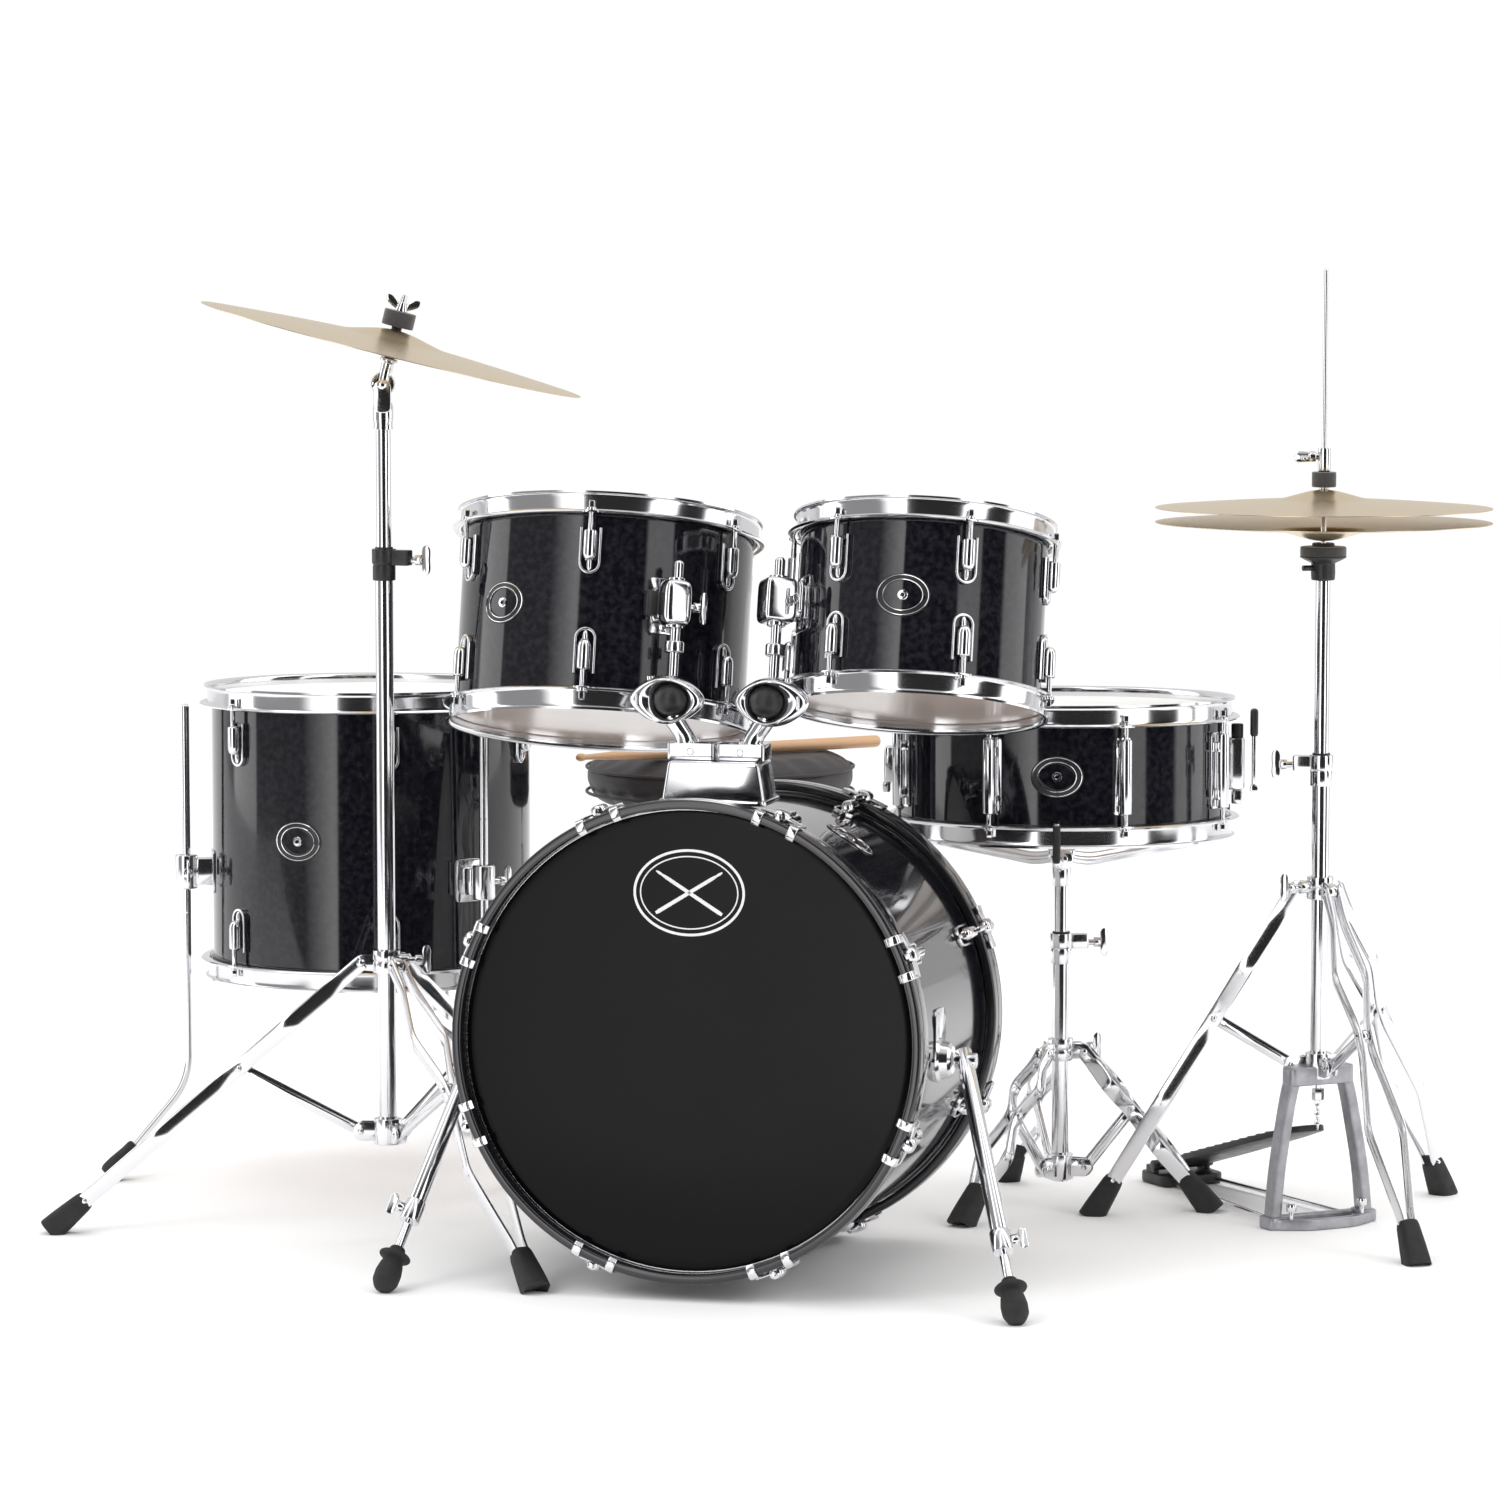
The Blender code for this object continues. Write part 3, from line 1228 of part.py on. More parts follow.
LEFT_TOM = {
    "diameter": LEFT_TOM_DIAMETER,
    "depth": LEFT_TOM_DEPTH,
    "turn": (-13, 3, 0),
    "place": (-0.153, -0.030),
    "rise": 0.1685,
    "bracket_angle": 295,
}
RIGHT_TOM = {
    "diameter": RIGHT_TOM_DIAMETER,
    "depth": RIGHT_TOM_DEPTH,
    "turn": (-14, 3.4, 0),
    "place": (0.175, -0.176),
    "rise": 0.186,
    "bracket_angle": 198,
}


def rack_toms(balls):
    for prefix, tom, at in zip(("left_tom", "right_tom"), (LEFT_TOM, RIGHT_TOM), balls):
        joint_frame(prefix + "_tilt", at, (1, 0, 0))
        rack_tom(prefix, tom, frame(prefix + "_ball", at), at)


def centre_on_floor():
    """Moves the whole kit so that the origin is under the middle of its box."""
    bpy.context.view_layer.update()
    graph = bpy.context.evaluated_depsgraph_get()
    low, high = Vector((1e9,) * 3), Vector((-1e9,) * 3)
    for thing in parts.objects:
        if thing.type != "MESH":
            continue
        evaluated = thing.evaluated_get(graph)
        mesh = evaluated.to_mesh()
        for vertex in mesh.vertices:
            point = evaluated.matrix_world @ vertex.co
            low = Vector(map(min, low, point))
            high = Vector(map(max, high, point))
        evaluated.to_mesh_clear()
    middle = (low + high) / 2
    kit = frame("kit", (-middle.x, -middle.y, -low.z))
    for thing in list(parts.objects) + list(tools.objects):
        if thing.parent is None and thing is not kit:
            thing.parent = kit
    bpy.context.view_layer.update()


def main():
    clear_scene()
    make_materials()
    bass = bass_drum()
    rack_toms(tom_mount(bass))
    bass_pedal()
    floor_tom()
    snare()
    snare_stand()
    hihat_stand()
    crash_stand()
    throne()
    drumstick()
    centre_on_floor()


main()
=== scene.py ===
import json
import math

import bmesh
import bpy
import numpy as np
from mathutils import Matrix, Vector


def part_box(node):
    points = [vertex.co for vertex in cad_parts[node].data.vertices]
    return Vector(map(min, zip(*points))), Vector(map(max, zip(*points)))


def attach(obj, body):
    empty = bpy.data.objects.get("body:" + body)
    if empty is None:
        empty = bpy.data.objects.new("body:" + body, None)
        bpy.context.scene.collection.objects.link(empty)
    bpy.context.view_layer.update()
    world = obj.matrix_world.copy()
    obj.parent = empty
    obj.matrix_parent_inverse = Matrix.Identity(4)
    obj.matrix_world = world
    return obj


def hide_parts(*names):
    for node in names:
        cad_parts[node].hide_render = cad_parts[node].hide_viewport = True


# Acoustic drum kit. Every shape is a numpy surface in the row frame, in metres, and rides on its CAD body.
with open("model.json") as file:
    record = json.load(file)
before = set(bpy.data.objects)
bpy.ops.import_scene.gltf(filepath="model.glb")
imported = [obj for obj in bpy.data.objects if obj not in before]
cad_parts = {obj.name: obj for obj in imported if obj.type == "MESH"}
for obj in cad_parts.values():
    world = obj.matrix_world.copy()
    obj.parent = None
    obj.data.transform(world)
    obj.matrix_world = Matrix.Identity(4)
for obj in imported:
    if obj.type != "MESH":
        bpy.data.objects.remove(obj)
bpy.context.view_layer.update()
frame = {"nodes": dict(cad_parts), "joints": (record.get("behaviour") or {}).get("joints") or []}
mm = 0.001
joints = {j["name"]: j for j in frame["joints"]}
print("frame loaded:", len(frame["nodes"]), "nodes")


# Surfaces: a dict of points, quads, flat caps and uv, one row per point


def surface(points, quads, caps=(), uv=None):
    points = np.asarray(points, float).reshape(-1, 3)
    uv = np.zeros((len(points), 2)) if uv is None else np.asarray(uv, float).reshape(-1, 2)
    return {"points": points, "quads": np.asarray(quads, int).reshape(-1, 4), "caps": list(caps), "uv": uv}


def gridQuads(rows, columns, wrapRows=False, wrapColumns=False):
    # quad corners of a rows x columns grid of points, closed round on itself where asked
    i = np.arange(rows if wrapRows else rows - 1)[:, None]
    j = np.arange(columns if wrapColumns else columns - 1)[None, :]
    nextI = (i + 1) % rows
    nextJ = (j + 1) % columns
    return np.stack(np.broadcast_arrays(i * columns + j, nextI * columns + j, nextI * columns + nextJ,
                                        i * columns + nextJ), -1)


def unit(v):
    v = np.asarray(v, float)
    return v / np.maximum(np.linalg.norm(v, axis=-1, keepdims=True), 1e-12)


def roundCorners(points, radius, steps=3, closed=True):
    # each corner becomes the parabola (1-t)^2 a + 2t(1-t) corner + t^2 b
    # with a and b `radius` from the corner
    p = np.asarray(points, float)
    back, ahead = np.roll(p, 1, 0) - p, np.roll(p, -1, 0) - p
    lengthBack = np.linalg.norm(back, axis=1, keepdims=True)
    lengthAhead = np.linalg.norm(ahead, axis=1, keepdims=True)
    a = p + unit(back) * np.minimum(radius, lengthBack * 0.48)
    b = p + unit(ahead) * np.minimum(radius, lengthAhead * 0.48)
    t = np.linspace(0, 1, steps + 1)[None, :, None]
    curve = (1 - t) ** 2 * a[:, None] + 2 * t * (1 - t) * p[:, None] + t**2 * b[:, None]
    if closed:
        return curve.reshape(-1, p.shape[1])
    return np.vstack([p[:1], curve[1:-1].reshape(-1, p.shape[1]), p[-1:]])


def thickened(line, thickness):
    # a closed outline: the line moved half the thickness to its left, then back along its right
    p = np.asarray(line, float)
    along = unit(np.gradient(p, axis=0))
    normal = np.stack([-along[:, 1], along[:, 0]], 1) * thickness / 2
    return np.vstack([p + normal, (p - normal)[::-1]])


def turned(profile, steps=72, closed=False):
    # (radius, height) points carried round Z: x = r cos a, y = r sin a
    p = np.asarray(profile, float)
    a = np.linspace(0, 2 * math.pi, steps, endpoint=False)
    points = np.stack([p[:, :1] * np.cos(a), p[:, :1] * np.sin(a), np.repeat(p[:, 1:], steps, 1)], -1)
    uv = np.stack(np.broadcast_arrays(a[None] / (2 * math.pi), p[:, :1]), -1)
    caps = []
    if not closed and p[0, 0] > 1e-7:
        caps.append(np.arange(steps))
    if not closed and p[-1, 0] > 1e-7:
        caps.append((len(p) - 1) * steps + np.arange(steps))
    return surface(points, gridQuads(len(p), steps, closed, True), caps, uv)


def swept(path, outline, side=(0, 0, 1), scale=1.0, loop=False):
    # a closed 2D outline carried along a path: point = path + x * across + y * up, across = side x tangent
    path, outline = np.asarray(path, float), np.asarray(outline, float)
    if loop:
        tangent = unit(np.roll(path, -1, 0) - np.roll(path, 1, 0))
    else:
        tangent = unit(np.gradient(path, axis=0))
    across = unit(np.cross(np.broadcast_to(side, tangent.shape), tangent))
    up = np.cross(tangent, across)
    scale = np.broadcast_to(np.asarray(scale, float).reshape(-1, 1), (len(path), 1))
    x, y = outline[None, :, 0] * scale, outline[None, :, 1] * scale
    points = path[:, None] + x[..., None] * across[:, None] + y[..., None] * up[:, None]
    n = len(outline)
    caps = [] if loop else [np.arange(n), (len(path) - 1) * n + np.arange(n)]
    lengths = np.concatenate([[0], np.cumsum(np.linalg.norm(np.diff(path, axis=0), axis=1))])
    uv = np.stack(np.broadcast_arrays(np.linspace(0, 1, n)[None], lengths[:, None]), -1)
    return surface(points, gridQuads(len(path), n, loop, True), caps, uv)


def circle(radius, sides):
    a = np.linspace(0, 2 * math.pi, sides, endpoint=False)
    return np.stack([np.cos(a), np.sin(a)], 1) * radius


def sideOf(direction):
    # an axis that is well off the direction, to steady a swept outline
    return (0, 0, 1) if abs(unit(direction)[2]) < 0.8 else (0, 1, 0)


def tube(path, radius, sides=18, loop=False, side=None):
    path = np.asarray(path, float)
    side = sideOf(path[-1] - path[0]) if side is None else side
    return swept(path, circle(1, sides), side, radius, loop)


def bar(start, end, radius, sides=18, edge=0.5 * mm, endRadius=None):
    # a round bar with both rims eased: its radius rises over `edge` at each end
    start, end = np.asarray(start, float), np.asarray(end, float)
    along = unit(end - start)
    endRadius = radius if endRadius is None else endRadius
    path = [start, start + along * edge * 0.3, start + along * edge, end - along * edge,
            end - along * edge * 0.3, end]
    radii = [radius - edge, radius - edge * 0.3, radius, endRadius, endRadius - edge * 0.3,
             endRadius - edge]
    return tube(path, np.array(radii), sides)


def slab(outline, height, edge=0.6 * mm, steps=2):
    # a flat outline given a height about z = 0, its rims rounded by moving it along its own normals
    p = np.asarray(outline, float)
    along = unit(np.roll(p, -1, 0) - np.roll(p, 1, 0))
    inward = np.stack([-along[:, 1], along[:, 0]], 1)
    area = np.sum(p[:, 0] * np.roll(p[:, 1], -1) - np.roll(p[:, 0], -1) * p[:, 1])
    inward = inward * (1 if area > 0 else -1)
    t = np.linspace(0, math.pi / 2, steps + 1)
    inset = np.concatenate([edge * (1 - np.sin(t)), edge * (1 - np.cos(t))])
    z = np.concatenate([height / 2 - edge * (1 - np.cos(t)), -height / 2 + edge * (1 - np.sin(t))])
    flat = p[None] + inward[None] * inset[:, None, None]
    points = np.concatenate([flat, np.broadcast_to(z[:, None, None], (len(z), len(p), 1))], -1)
    n = len(p)
    return surface(points, gridQuads(len(z), n, False, True),
                   [np.arange(n), (len(z) - 1) * n + np.arange(n)])


def roundRect(width, height, corner, steps=4):
    x, y = width / 2, height / 2
    return roundCorners([(-x, -y), (x, -y), (x, y), (-x, y)], corner, steps)


def block(width, depth, height, corner=2 * mm, edge=1 * mm):
    return slab(roundRect(width, depth, max(corner, edge * 1.2)), height, edge, 2)


def ballForm(size, power=2.0, rows=20, columns=32):
    # a superellipsoid: cos and sin raised to 2/power, so power 2 is an ellipsoid and 6 is nearly a box
    e = 2 / power
    bend = lambda c: np.sign(c) * np.abs(c) ** e
    u = np.linspace(-math.pi / 2, math.pi / 2, rows)[:, None]
    w = np.linspace(0, 2 * math.pi, columns, endpoint=False)[None]
    x, y = bend(np.cos(u)) * bend(np.cos(w)), bend(np.cos(u)) * bend(np.sin(w))
    z = bend(np.sin(u)) * np.ones_like(w)
    points = np.stack([x, y, z], -1) * np.asarray(size) / 2
    return surface(points, gridQuads(rows, columns, False, True))


def helix(start, end, radius, wire, turns, perTurn=12, sides=6):
    # start + t (end - start) + radius (cos a, sin a) across it
    start, end = np.asarray(start, float), np.asarray(end, float)
    along = unit(end - start)
    across = unit(np.cross(sideOf(along), along))
    up = np.cross(along, across)
    t = np.linspace(0, 1, int(turns * perTurn))[:, None]
    a = t * turns * 2 * math.pi
    path = start + t * (end - start) + radius * (np.cos(a) * across + np.sin(a) * up)
    return tube(path, wire, sides, side=along)


def basis(x=(1, 0, 0), y=None, z=(0, 0, 1), at=(0, 0, 0)):
    # a 4x4 whose z column is exact and whose x column is as near as it can be
    z = unit(z)
    x = unit(np.asarray(x, float) - z * np.dot(x, z)) if y is None else unit(np.cross(y, z))
    made = np.eye(4)
    made[:3, 0], made[:3, 1], made[:3, 2], made[:3, 3] = x, np.cross(z, x), z, at
    return made


def moved(shape, matrix=None, by=(0, 0, 0)):
    matrix = np.eye(4) if matrix is None else matrix
    points = shape["points"] @ matrix[:3, :3].T + matrix[:3, 3] + np.asarray(by, float)
    return {**shape, "points": points}


def turnZ(degrees, at=(0, 0, 0)):
    a = math.radians(degrees)
    made = np.eye(4)
    made[:2, :2] = [[math.cos(a), -math.sin(a)], [math.sin(a), math.cos(a)]]
    made[:3, 3] = at
    return made


def facing(degrees, radius, height=0.0):
    # stands a flat shape on a round wall: its x runs round the wall, its y up, its z outwards
    a = math.radians(degrees)
    out = np.array([math.cos(a), math.sin(a), 0])
    tangent = np.array([-math.sin(a), math.cos(a), 0])
    made = np.eye(4)
    made[:3, 0], made[:3, 1], made[:3, 2] = tangent, (0, 0, 1), out
    made[:3, 3] = out * radius + (0, 0, height)
    return made


def curled(shape, radius):
    # a flat shape (x, y, z) bent round a wall of this radius: angle x / radius, distance radius + z
    p = shape["points"]
    a = p[:, 0] / radius
    r = radius + p[:, 2]
    return {**shape, "points": np.stack([r * np.sin(a), p[:, 1], r * np.cos(a) - radius], 1)}


def joined(shapes):
    points, quads, caps, uv, count = [], [], [], [], 0
    for s in shapes:
        points.append(s["points"])
        quads.append(s["quads"] + count)
        caps += [c + count for c in s["caps"]]
        uv.append(s["uv"])
        count += len(s["points"])
    return surface(np.vstack(points), np.vstack(quads), caps, np.vstack(uv))


def build(name, parts, body, stands=(), at=None, sharp=35):
    # parts is a list of (finish, surface) or (finish, [surfaces]), with one material slot per finish
    finishes, shapes, indices = [], [], []
    for finish, shape in parts:
        shape = joined(shape) if isinstance(shape, list) else shape
        if finish not in finishes:
            finishes.append(finish)
        shapes.append(shape)
        indices.append(np.full(len(shape["quads"]) + len(shape["caps"]), finishes.index(finish)))
    points, uv, loops, sizes, count = [], [], [], [], 0
    for s in shapes:
        points.append(s["points"])
        uv.append(s["uv"])
        loops.append((s["quads"] + count).ravel())
        loops += [c + count for c in s["caps"]]
        sizes += [4] * len(s["quads"]) + [len(c) for c in s["caps"]]
        count += len(s["points"])
    points, uv, loops, sizes = np.vstack(points), np.vstack(uv), np.concatenate(loops), np.array(sizes)
    if at is not None:
        points = points @ at[:3, :3].T + at[:3, 3]
    mesh = bpy.data.meshes.new(name)
    mesh.vertices.add(len(points))
    mesh.vertices.foreach_set("co", points.astype(np.float32).ravel())
    mesh.loops.add(len(loops))
    mesh.loops.foreach_set("vertex_index", loops.astype(np.int32))
    mesh.polygons.add(len(sizes))
    mesh.polygons.foreach_set("loop_start", np.concatenate([[0], np.cumsum(sizes)[:-1]]).astype(np.int32))
    mesh.polygons.foreach_set("material_index", np.concatenate(indices).astype(np.int32))
    layer = mesh.uv_layers.new(name="surface")
    layer.data.foreach_set("uv", uv[loops].astype(np.float32).ravel())
    mesh.update(calc_edges=True)
    for finish in finishes:
        mesh.materials.append(finishFor(finish))
    tidy = bmesh.new()
    tidy.from_mesh(mesh)
    bmesh.ops.remove_doubles(tidy, verts=tidy.verts, dist=2e-6)
    bmesh.ops.dissolve_degenerate(tidy, edges=tidy.edges, dist=1e-7)
    bmesh.ops.recalc_face_normals(tidy, faces=tidy.faces)
    tidy.to_mesh(mesh)
    tidy.free()
    mesh.shade_smooth()
    mesh.set_sharp_from_angle(angle=math.radians(sharp))
    made = bpy.data.objects.new(name, mesh)
    bpy.context.scene.collection.objects.link(made)
    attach(made, body)
    if stands:
        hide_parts(*stands)
    return made


# Places read from the frame


def nodePoints(node):
    mesh = frame["nodes"][node].data
    points = np.zeros(len(mesh.vertices) * 3)
    mesh.vertices.foreach_get("co", points)
    return points.reshape(-1, 3)


def centreOf(node):
    points = np.unique(np.round(nodePoints(node), 5), axis=0)
    return points.mean(0)


def farEnd(node, direction, within=1.5 * mm):
    # the middle of the node's points that lie farthest along a direction
    points = np.unique(np.round(nodePoints(node), 5), axis=0)
    reach = points @ unit(direction)
    return points[reach > reach.max() - within].mean(0)


def drumBasis(prefix, across=(1, 0, 0)):
    names = ("_top_head", "_bottom_head") if prefix != "bass" else ("_rear_head", "_front_head")
    top, low = centreOf(prefix + names[0]), centreOf(prefix + names[1])
    return basis(across, z=top - low, at=(top + low) / 2)


def upright(x, y):
    return turnZ(0, (x, y, 0))


# Finishes: shader node trees, and the groups that several share

finishValues = {
    "gloss wrap": {"colour": (0.004, 0.004, 0.007), "rough": 0.06, "coat": 0.3, "gloss": 0.4,
                   "kind": "lacquer"},
    "lacquer": {"colour": (0.010, 0.010, 0.012), "rough": 0.16, "coat": 0.5, "kind": "lacquer"},
    "chrome": {"colour": (0.68, 0.68, 0.71), "rough": 0.06, "metal": 1, "kind": "plated"},
    "satin chrome": {"colour": (0.62, 0.62, 0.64), "rough": 0.24, "metal": 1, "kind": "plated"},
    "cast metal": {"colour": (0.34, 0.34, 0.36), "rough": 0.42, "metal": 1, "kind": "cast"},
    "coated film": {"colour": (0.80, 0.80, 0.79), "rough": 0.55, "kind": "film"},
    "clear film": {"colour": (0.72, 0.60, 0.53), "rough": 0.13, "kind": "film"},
    "black film": {"colour": (0.002, 0.002, 0.002), "rough": 0.16, "gloss": 0.12, "kind": "film"},
    "bronze": {"colour": (0.72, 0.655, 0.575), "rough": 0.20, "metal": 1, "kind": "lathed"},
    "plastic": {"colour": (0.016, 0.016, 0.017), "rough": 0.38, "kind": "moulded"},
    "rubber": {"colour": (0.014, 0.014, 0.014), "rough": 0.68, "kind": "moulded"},
    "felt": {"colour": (0.030, 0.030, 0.031), "rough": 0.95, "kind": "felt"},
    "white felt": {"colour": (0.70, 0.68, 0.62), "rough": 0.95, "kind": "felt"},
    "vinyl": {"colour": (0.020, 0.019, 0.019), "rough": 0.42, "kind": "vinyl"},
    "hickory": {"colour": (0.70, 0.45, 0.27), "rough": 0.45, "kind": "timber"},
    "shell wood": {"colour": (0.55, 0.37, 0.22), "rough": 0.55, "kind": "timber"},
    "white paint": {"colour": (0.72, 0.72, 0.73), "rough": 0.40, "kind": "moulded"},
    "steel wire": {"colour": (0.60, 0.60, 0.60), "rough": 0.30, "metal": 1, "kind": "plated"},
}


def group(name, inputs, outputs, wire):
    made = bpy.data.node_groups.new(name, "ShaderNodeTree")
    for label, kind, value in inputs:
        socket = made.interface.new_socket(name=label, in_out="INPUT", socket_type=kind)
        if value is not None:
            socket.default_value = value
    for label, kind in outputs:
        made.interface.new_socket(name=label, in_out="OUTPUT", socket_type=kind)
    wire(made, made.nodes.new("NodeGroupInput"), made.nodes.new("NodeGroupOutput"))
    return made


def noiseNode(tree, scale, detail=4.0, vector=None, stretch=None):
    noise = tree.nodes.new("ShaderNodeTexNoise")
    noise.inputs["Scale"].default_value = scale
    noise.inputs["Detail"].default_value = detail
    if stretch is not None:
        mapping = tree.nodes.new("ShaderNodeMapping")
        mapping.inputs["Scale"].default_value = stretch
        tree.links.new(vector, mapping.inputs["Vector"])
        vector = mapping.outputs["Vector"]
    if vector is not None:
        tree.links.new(vector, noise.inputs["Vector"])
    return noise.outputs["Fac"]


def spread(tree, value, low, high, fromLow=0.3, fromHigh=0.7):
    # carries a noise value from one range to another
    node = tree.nodes.new("ShaderNodeMapRange")
    for label, number in (("From Min", fromLow), ("From Max", fromHigh), ("To Min", low), ("To Max", high)):
        if hasattr(number, "links"):
            tree.links.new(number, node.inputs[label])
        else:
            node.inputs[label].default_value = number
    tree.links.new(value, node.inputs["Value"])
    return node.outputs["Result"]


def calculate(tree, operation, a, b):
    node = tree.nodes.new("ShaderNodeMath")
    node.operation = operation
    for socket, number in zip(node.inputs, (a, b)):
        if hasattr(number, "links"):
            tree.links.new(number, socket)
        else:
            socket.default_value = number
    return node.outputs[0]


def blended(tree, factor, first, second, mode="MIX"):
    node = tree.nodes.new("ShaderNodeMix")
    node.data_type = "RGBA"
    node.blend_type = mode
    for socket, value in ((node.inputs[0], factor), (node.inputs[6], first), (node.inputs[7], second)):
        if hasattr(value, "links"):
            tree.links.new(value, socket)
        else:
            socket.default_value = value if isinstance(value, float) else (*value[:3], 1)
    return node.outputs[2]


def handledSurface():
    # smudges and fine dust that make gloss uneven: roughness rises where broad noise is high, and in specks
    def wire(tree, given, result):
        vector, rough = given.outputs["Vector"], given.outputs["Roughness"]
        broad = spread(tree, noiseNode(tree, 7, 3, vector), 0, 1, 0.42, 0.68)
        fine = spread(tree, noiseNode(tree, 420, 2, vector), 0, 1, 0.55, 0.75)
        smudge = calculate(tree, "MULTIPLY", broad, given.outputs["Smudge"])
        speck = calculate(tree, "MULTIPLY", fine, given.outputs["Dust"])
        total = calculate(tree, "ADD", smudge, speck)
        tree.links.new(calculate(tree, "ADD", rough, total), result.inputs["Roughness"])
        tree.links.new(calculate(tree, "ADD", broad, 0.0), result.inputs["Mask"])
    return group(
        "handled surface",
        [("Vector", "NodeSocketVector", None), ("Roughness", "NodeSocketFloat", 0.1),
         ("Smudge", "NodeSocketFloat", 0.06), ("Dust", "NodeSocketFloat", 0.05)],
        [("Roughness", "NodeSocketFloat"), ("Mask", "NodeSocketFloat")],
        wire,
    )


def wornEdges():
    # colour that lightens or dulls on corners: sharp places, broken up by noise
    def wire(tree, given, result):
        sharp = tree.nodes.new("ShaderNodeNewGeometry").outputs["Pointiness"]
        corner = spread(tree, sharp, 0, 1, 0.54, 0.66)
        broken = spread(tree, noiseNode(tree, 160, 4, given.outputs["Vector"]), 0, 1, 0.4, 0.65)
        amount = calculate(tree, "MULTIPLY", corner, broken)
        amount = calculate(tree, "MULTIPLY", amount, given.outputs["Amount"])
        mixed = blended(tree, amount, given.outputs["Colour"], given.outputs["Worn Colour"])
        tree.links.new(mixed, result.inputs["Colour"])
        tree.links.new(amount, result.inputs["Mask"])
    return group(
        "worn edges",
        [("Vector", "NodeSocketVector", None), ("Colour", "NodeSocketColor", None),
         ("Worn Colour", "NodeSocketColor", None), ("Amount", "NodeSocketFloat", 0.5)],
        [("Colour", "NodeSocketColor"), ("Mask", "NodeSocketFloat")],
        wire,
    )


groups = {"handled": handledSurface(), "worn": wornEdges()}


def useGroup(tree, name, **given):
    node = tree.nodes.new("ShaderNodeGroup")
    node.node_tree = groups[name]
    for label, value in given.items():
        socket = node.inputs[label.replace("_", " ")]
        if hasattr(value, "links"):
            tree.links.new(value, socket)
        else:
            socket.default_value = (*value, 1) if isinstance(value, tuple) else value
    return node.outputs


def bumpOf(tree, height, strength, distance, normal=None):
    bump = tree.nodes.new("ShaderNodeBump")
    bump.inputs["Strength"].default_value = strength
    bump.inputs["Distance"].default_value = distance
    tree.links.new(height, bump.inputs["Height"])
    if normal is not None:
        tree.links.new(normal, bump.inputs["Normal"])
    return bump.outputs["Normal"]


def finishFor(name):
    known = bpy.data.materials.get(name)
    if known:
        return known
    look = finishValues[name]
    made = bpy.data.materials.new(name)
    made.use_nodes = True
    tree = made.node_tree
    shader = tree.nodes["Principled BSDF"]
    shader.inputs["Metallic"].default_value = look.get("metal", 0)
    shader.inputs["Specular IOR Level"].default_value = look.get("gloss", 0.5)
    shader.inputs["Coat Weight"].default_value = look.get("coat", 0)
    shader.inputs["Coat Roughness"].default_value = 0.03
    coordinates = tree.nodes.new("ShaderNodeTexCoord")
    place, uv = coordinates.outputs["Object"], coordinates.outputs["UV"]
    looks[look["kind"]](tree, shader, look, place, uv)
    return made


def colourAndRoughness(tree, shader, colour, rough):
    tree.links.new(colour, shader.inputs["Base Color"])
    tree.links.new(rough, shader.inputs["Roughness"])


def lacquerLook(tree, shader, look, place, uv):
    handled = useGroup(tree, "handled", Vector=place, Roughness=look["rough"], Smudge=0.05, Dust=0.03)
    worn = useGroup(tree, "worn", Vector=place, Colour=look["colour"], Worn_Colour=(0.05, 0.05, 0.055),
                    Amount=0.35)
    colourAndRoughness(tree, shader, worn["Colour"], handled["Roughness"])
    ripple = noiseNode(tree, 14, 2, place)
    tree.links.new(bumpOf(tree, ripple, 0.05, 0.4 * mm), shader.inputs["Normal"])


def platedLook(tree, shader, look, place, uv):
    handled = useGroup(tree, "handled", Vector=place, Roughness=look["rough"], Smudge=0.07, Dust=0.06)
    dull = tuple(c * 0.80 for c in look["colour"])
    cloud = spread(tree, noiseNode(tree, 24, 3, place), 0, 0.6)
    base = blended(tree, cloud, look["colour"], dull)
    worn = useGroup(tree, "worn", Vector=place, Colour=base, Worn_Colour=(0.93, 0.93, 0.93), Amount=0.4)
    colourAndRoughness(tree, shader, worn["Colour"], handled["Roughness"])
    scratches = noiseNode(tree, 900, 2, place, (1, 1, 0.12))
    tree.links.new(bumpOf(tree, scratches, 0.04, 0.05 * mm), shader.inputs["Normal"])


def castLook(tree, shader, look, place, uv):
    pale = tuple(min(1, c * 1.35) for c in look["colour"])
    base = blended(tree, spread(tree, noiseNode(tree, 60, 5, place), 0, 1), look["colour"], pale)
    worn = useGroup(tree, "worn", Vector=place, Colour=base, Worn_Colour=(0.75, 0.75, 0.76), Amount=0.7)
    rough = spread(tree, noiseNode(tree, 180, 4, place), look["rough"] - 0.08, look["rough"] + 0.12)
    colourAndRoughness(tree, shader, worn["Colour"], rough)
    tree.links.new(bumpOf(tree, noiseNode(tree, 700, 3, place), 0.25, 0.15 * mm), shader.inputs["Normal"])


def filmLook(tree, shader, look, place, uv):
    dark = tuple(c * 0.90 for c in look["colour"])
    base = blended(tree, spread(tree, noiseNode(tree, 9, 4, place), 0, 0.8), look["colour"], dark)
    handled = useGroup(tree, "handled", Vector=place, Roughness=look["rough"], Smudge=0.05, Dust=0.04)
    colourAndRoughness(tree, shader, base, handled["Roughness"])
    shader.inputs["Subsurface Weight"].default_value = 0.0
    grain = noiseNode(tree, 1500, 2, place)
    tree.links.new(bumpOf(tree, grain, 0.12 * look["rough"] / 0.5, 0.06 * mm), shader.inputs["Normal"])


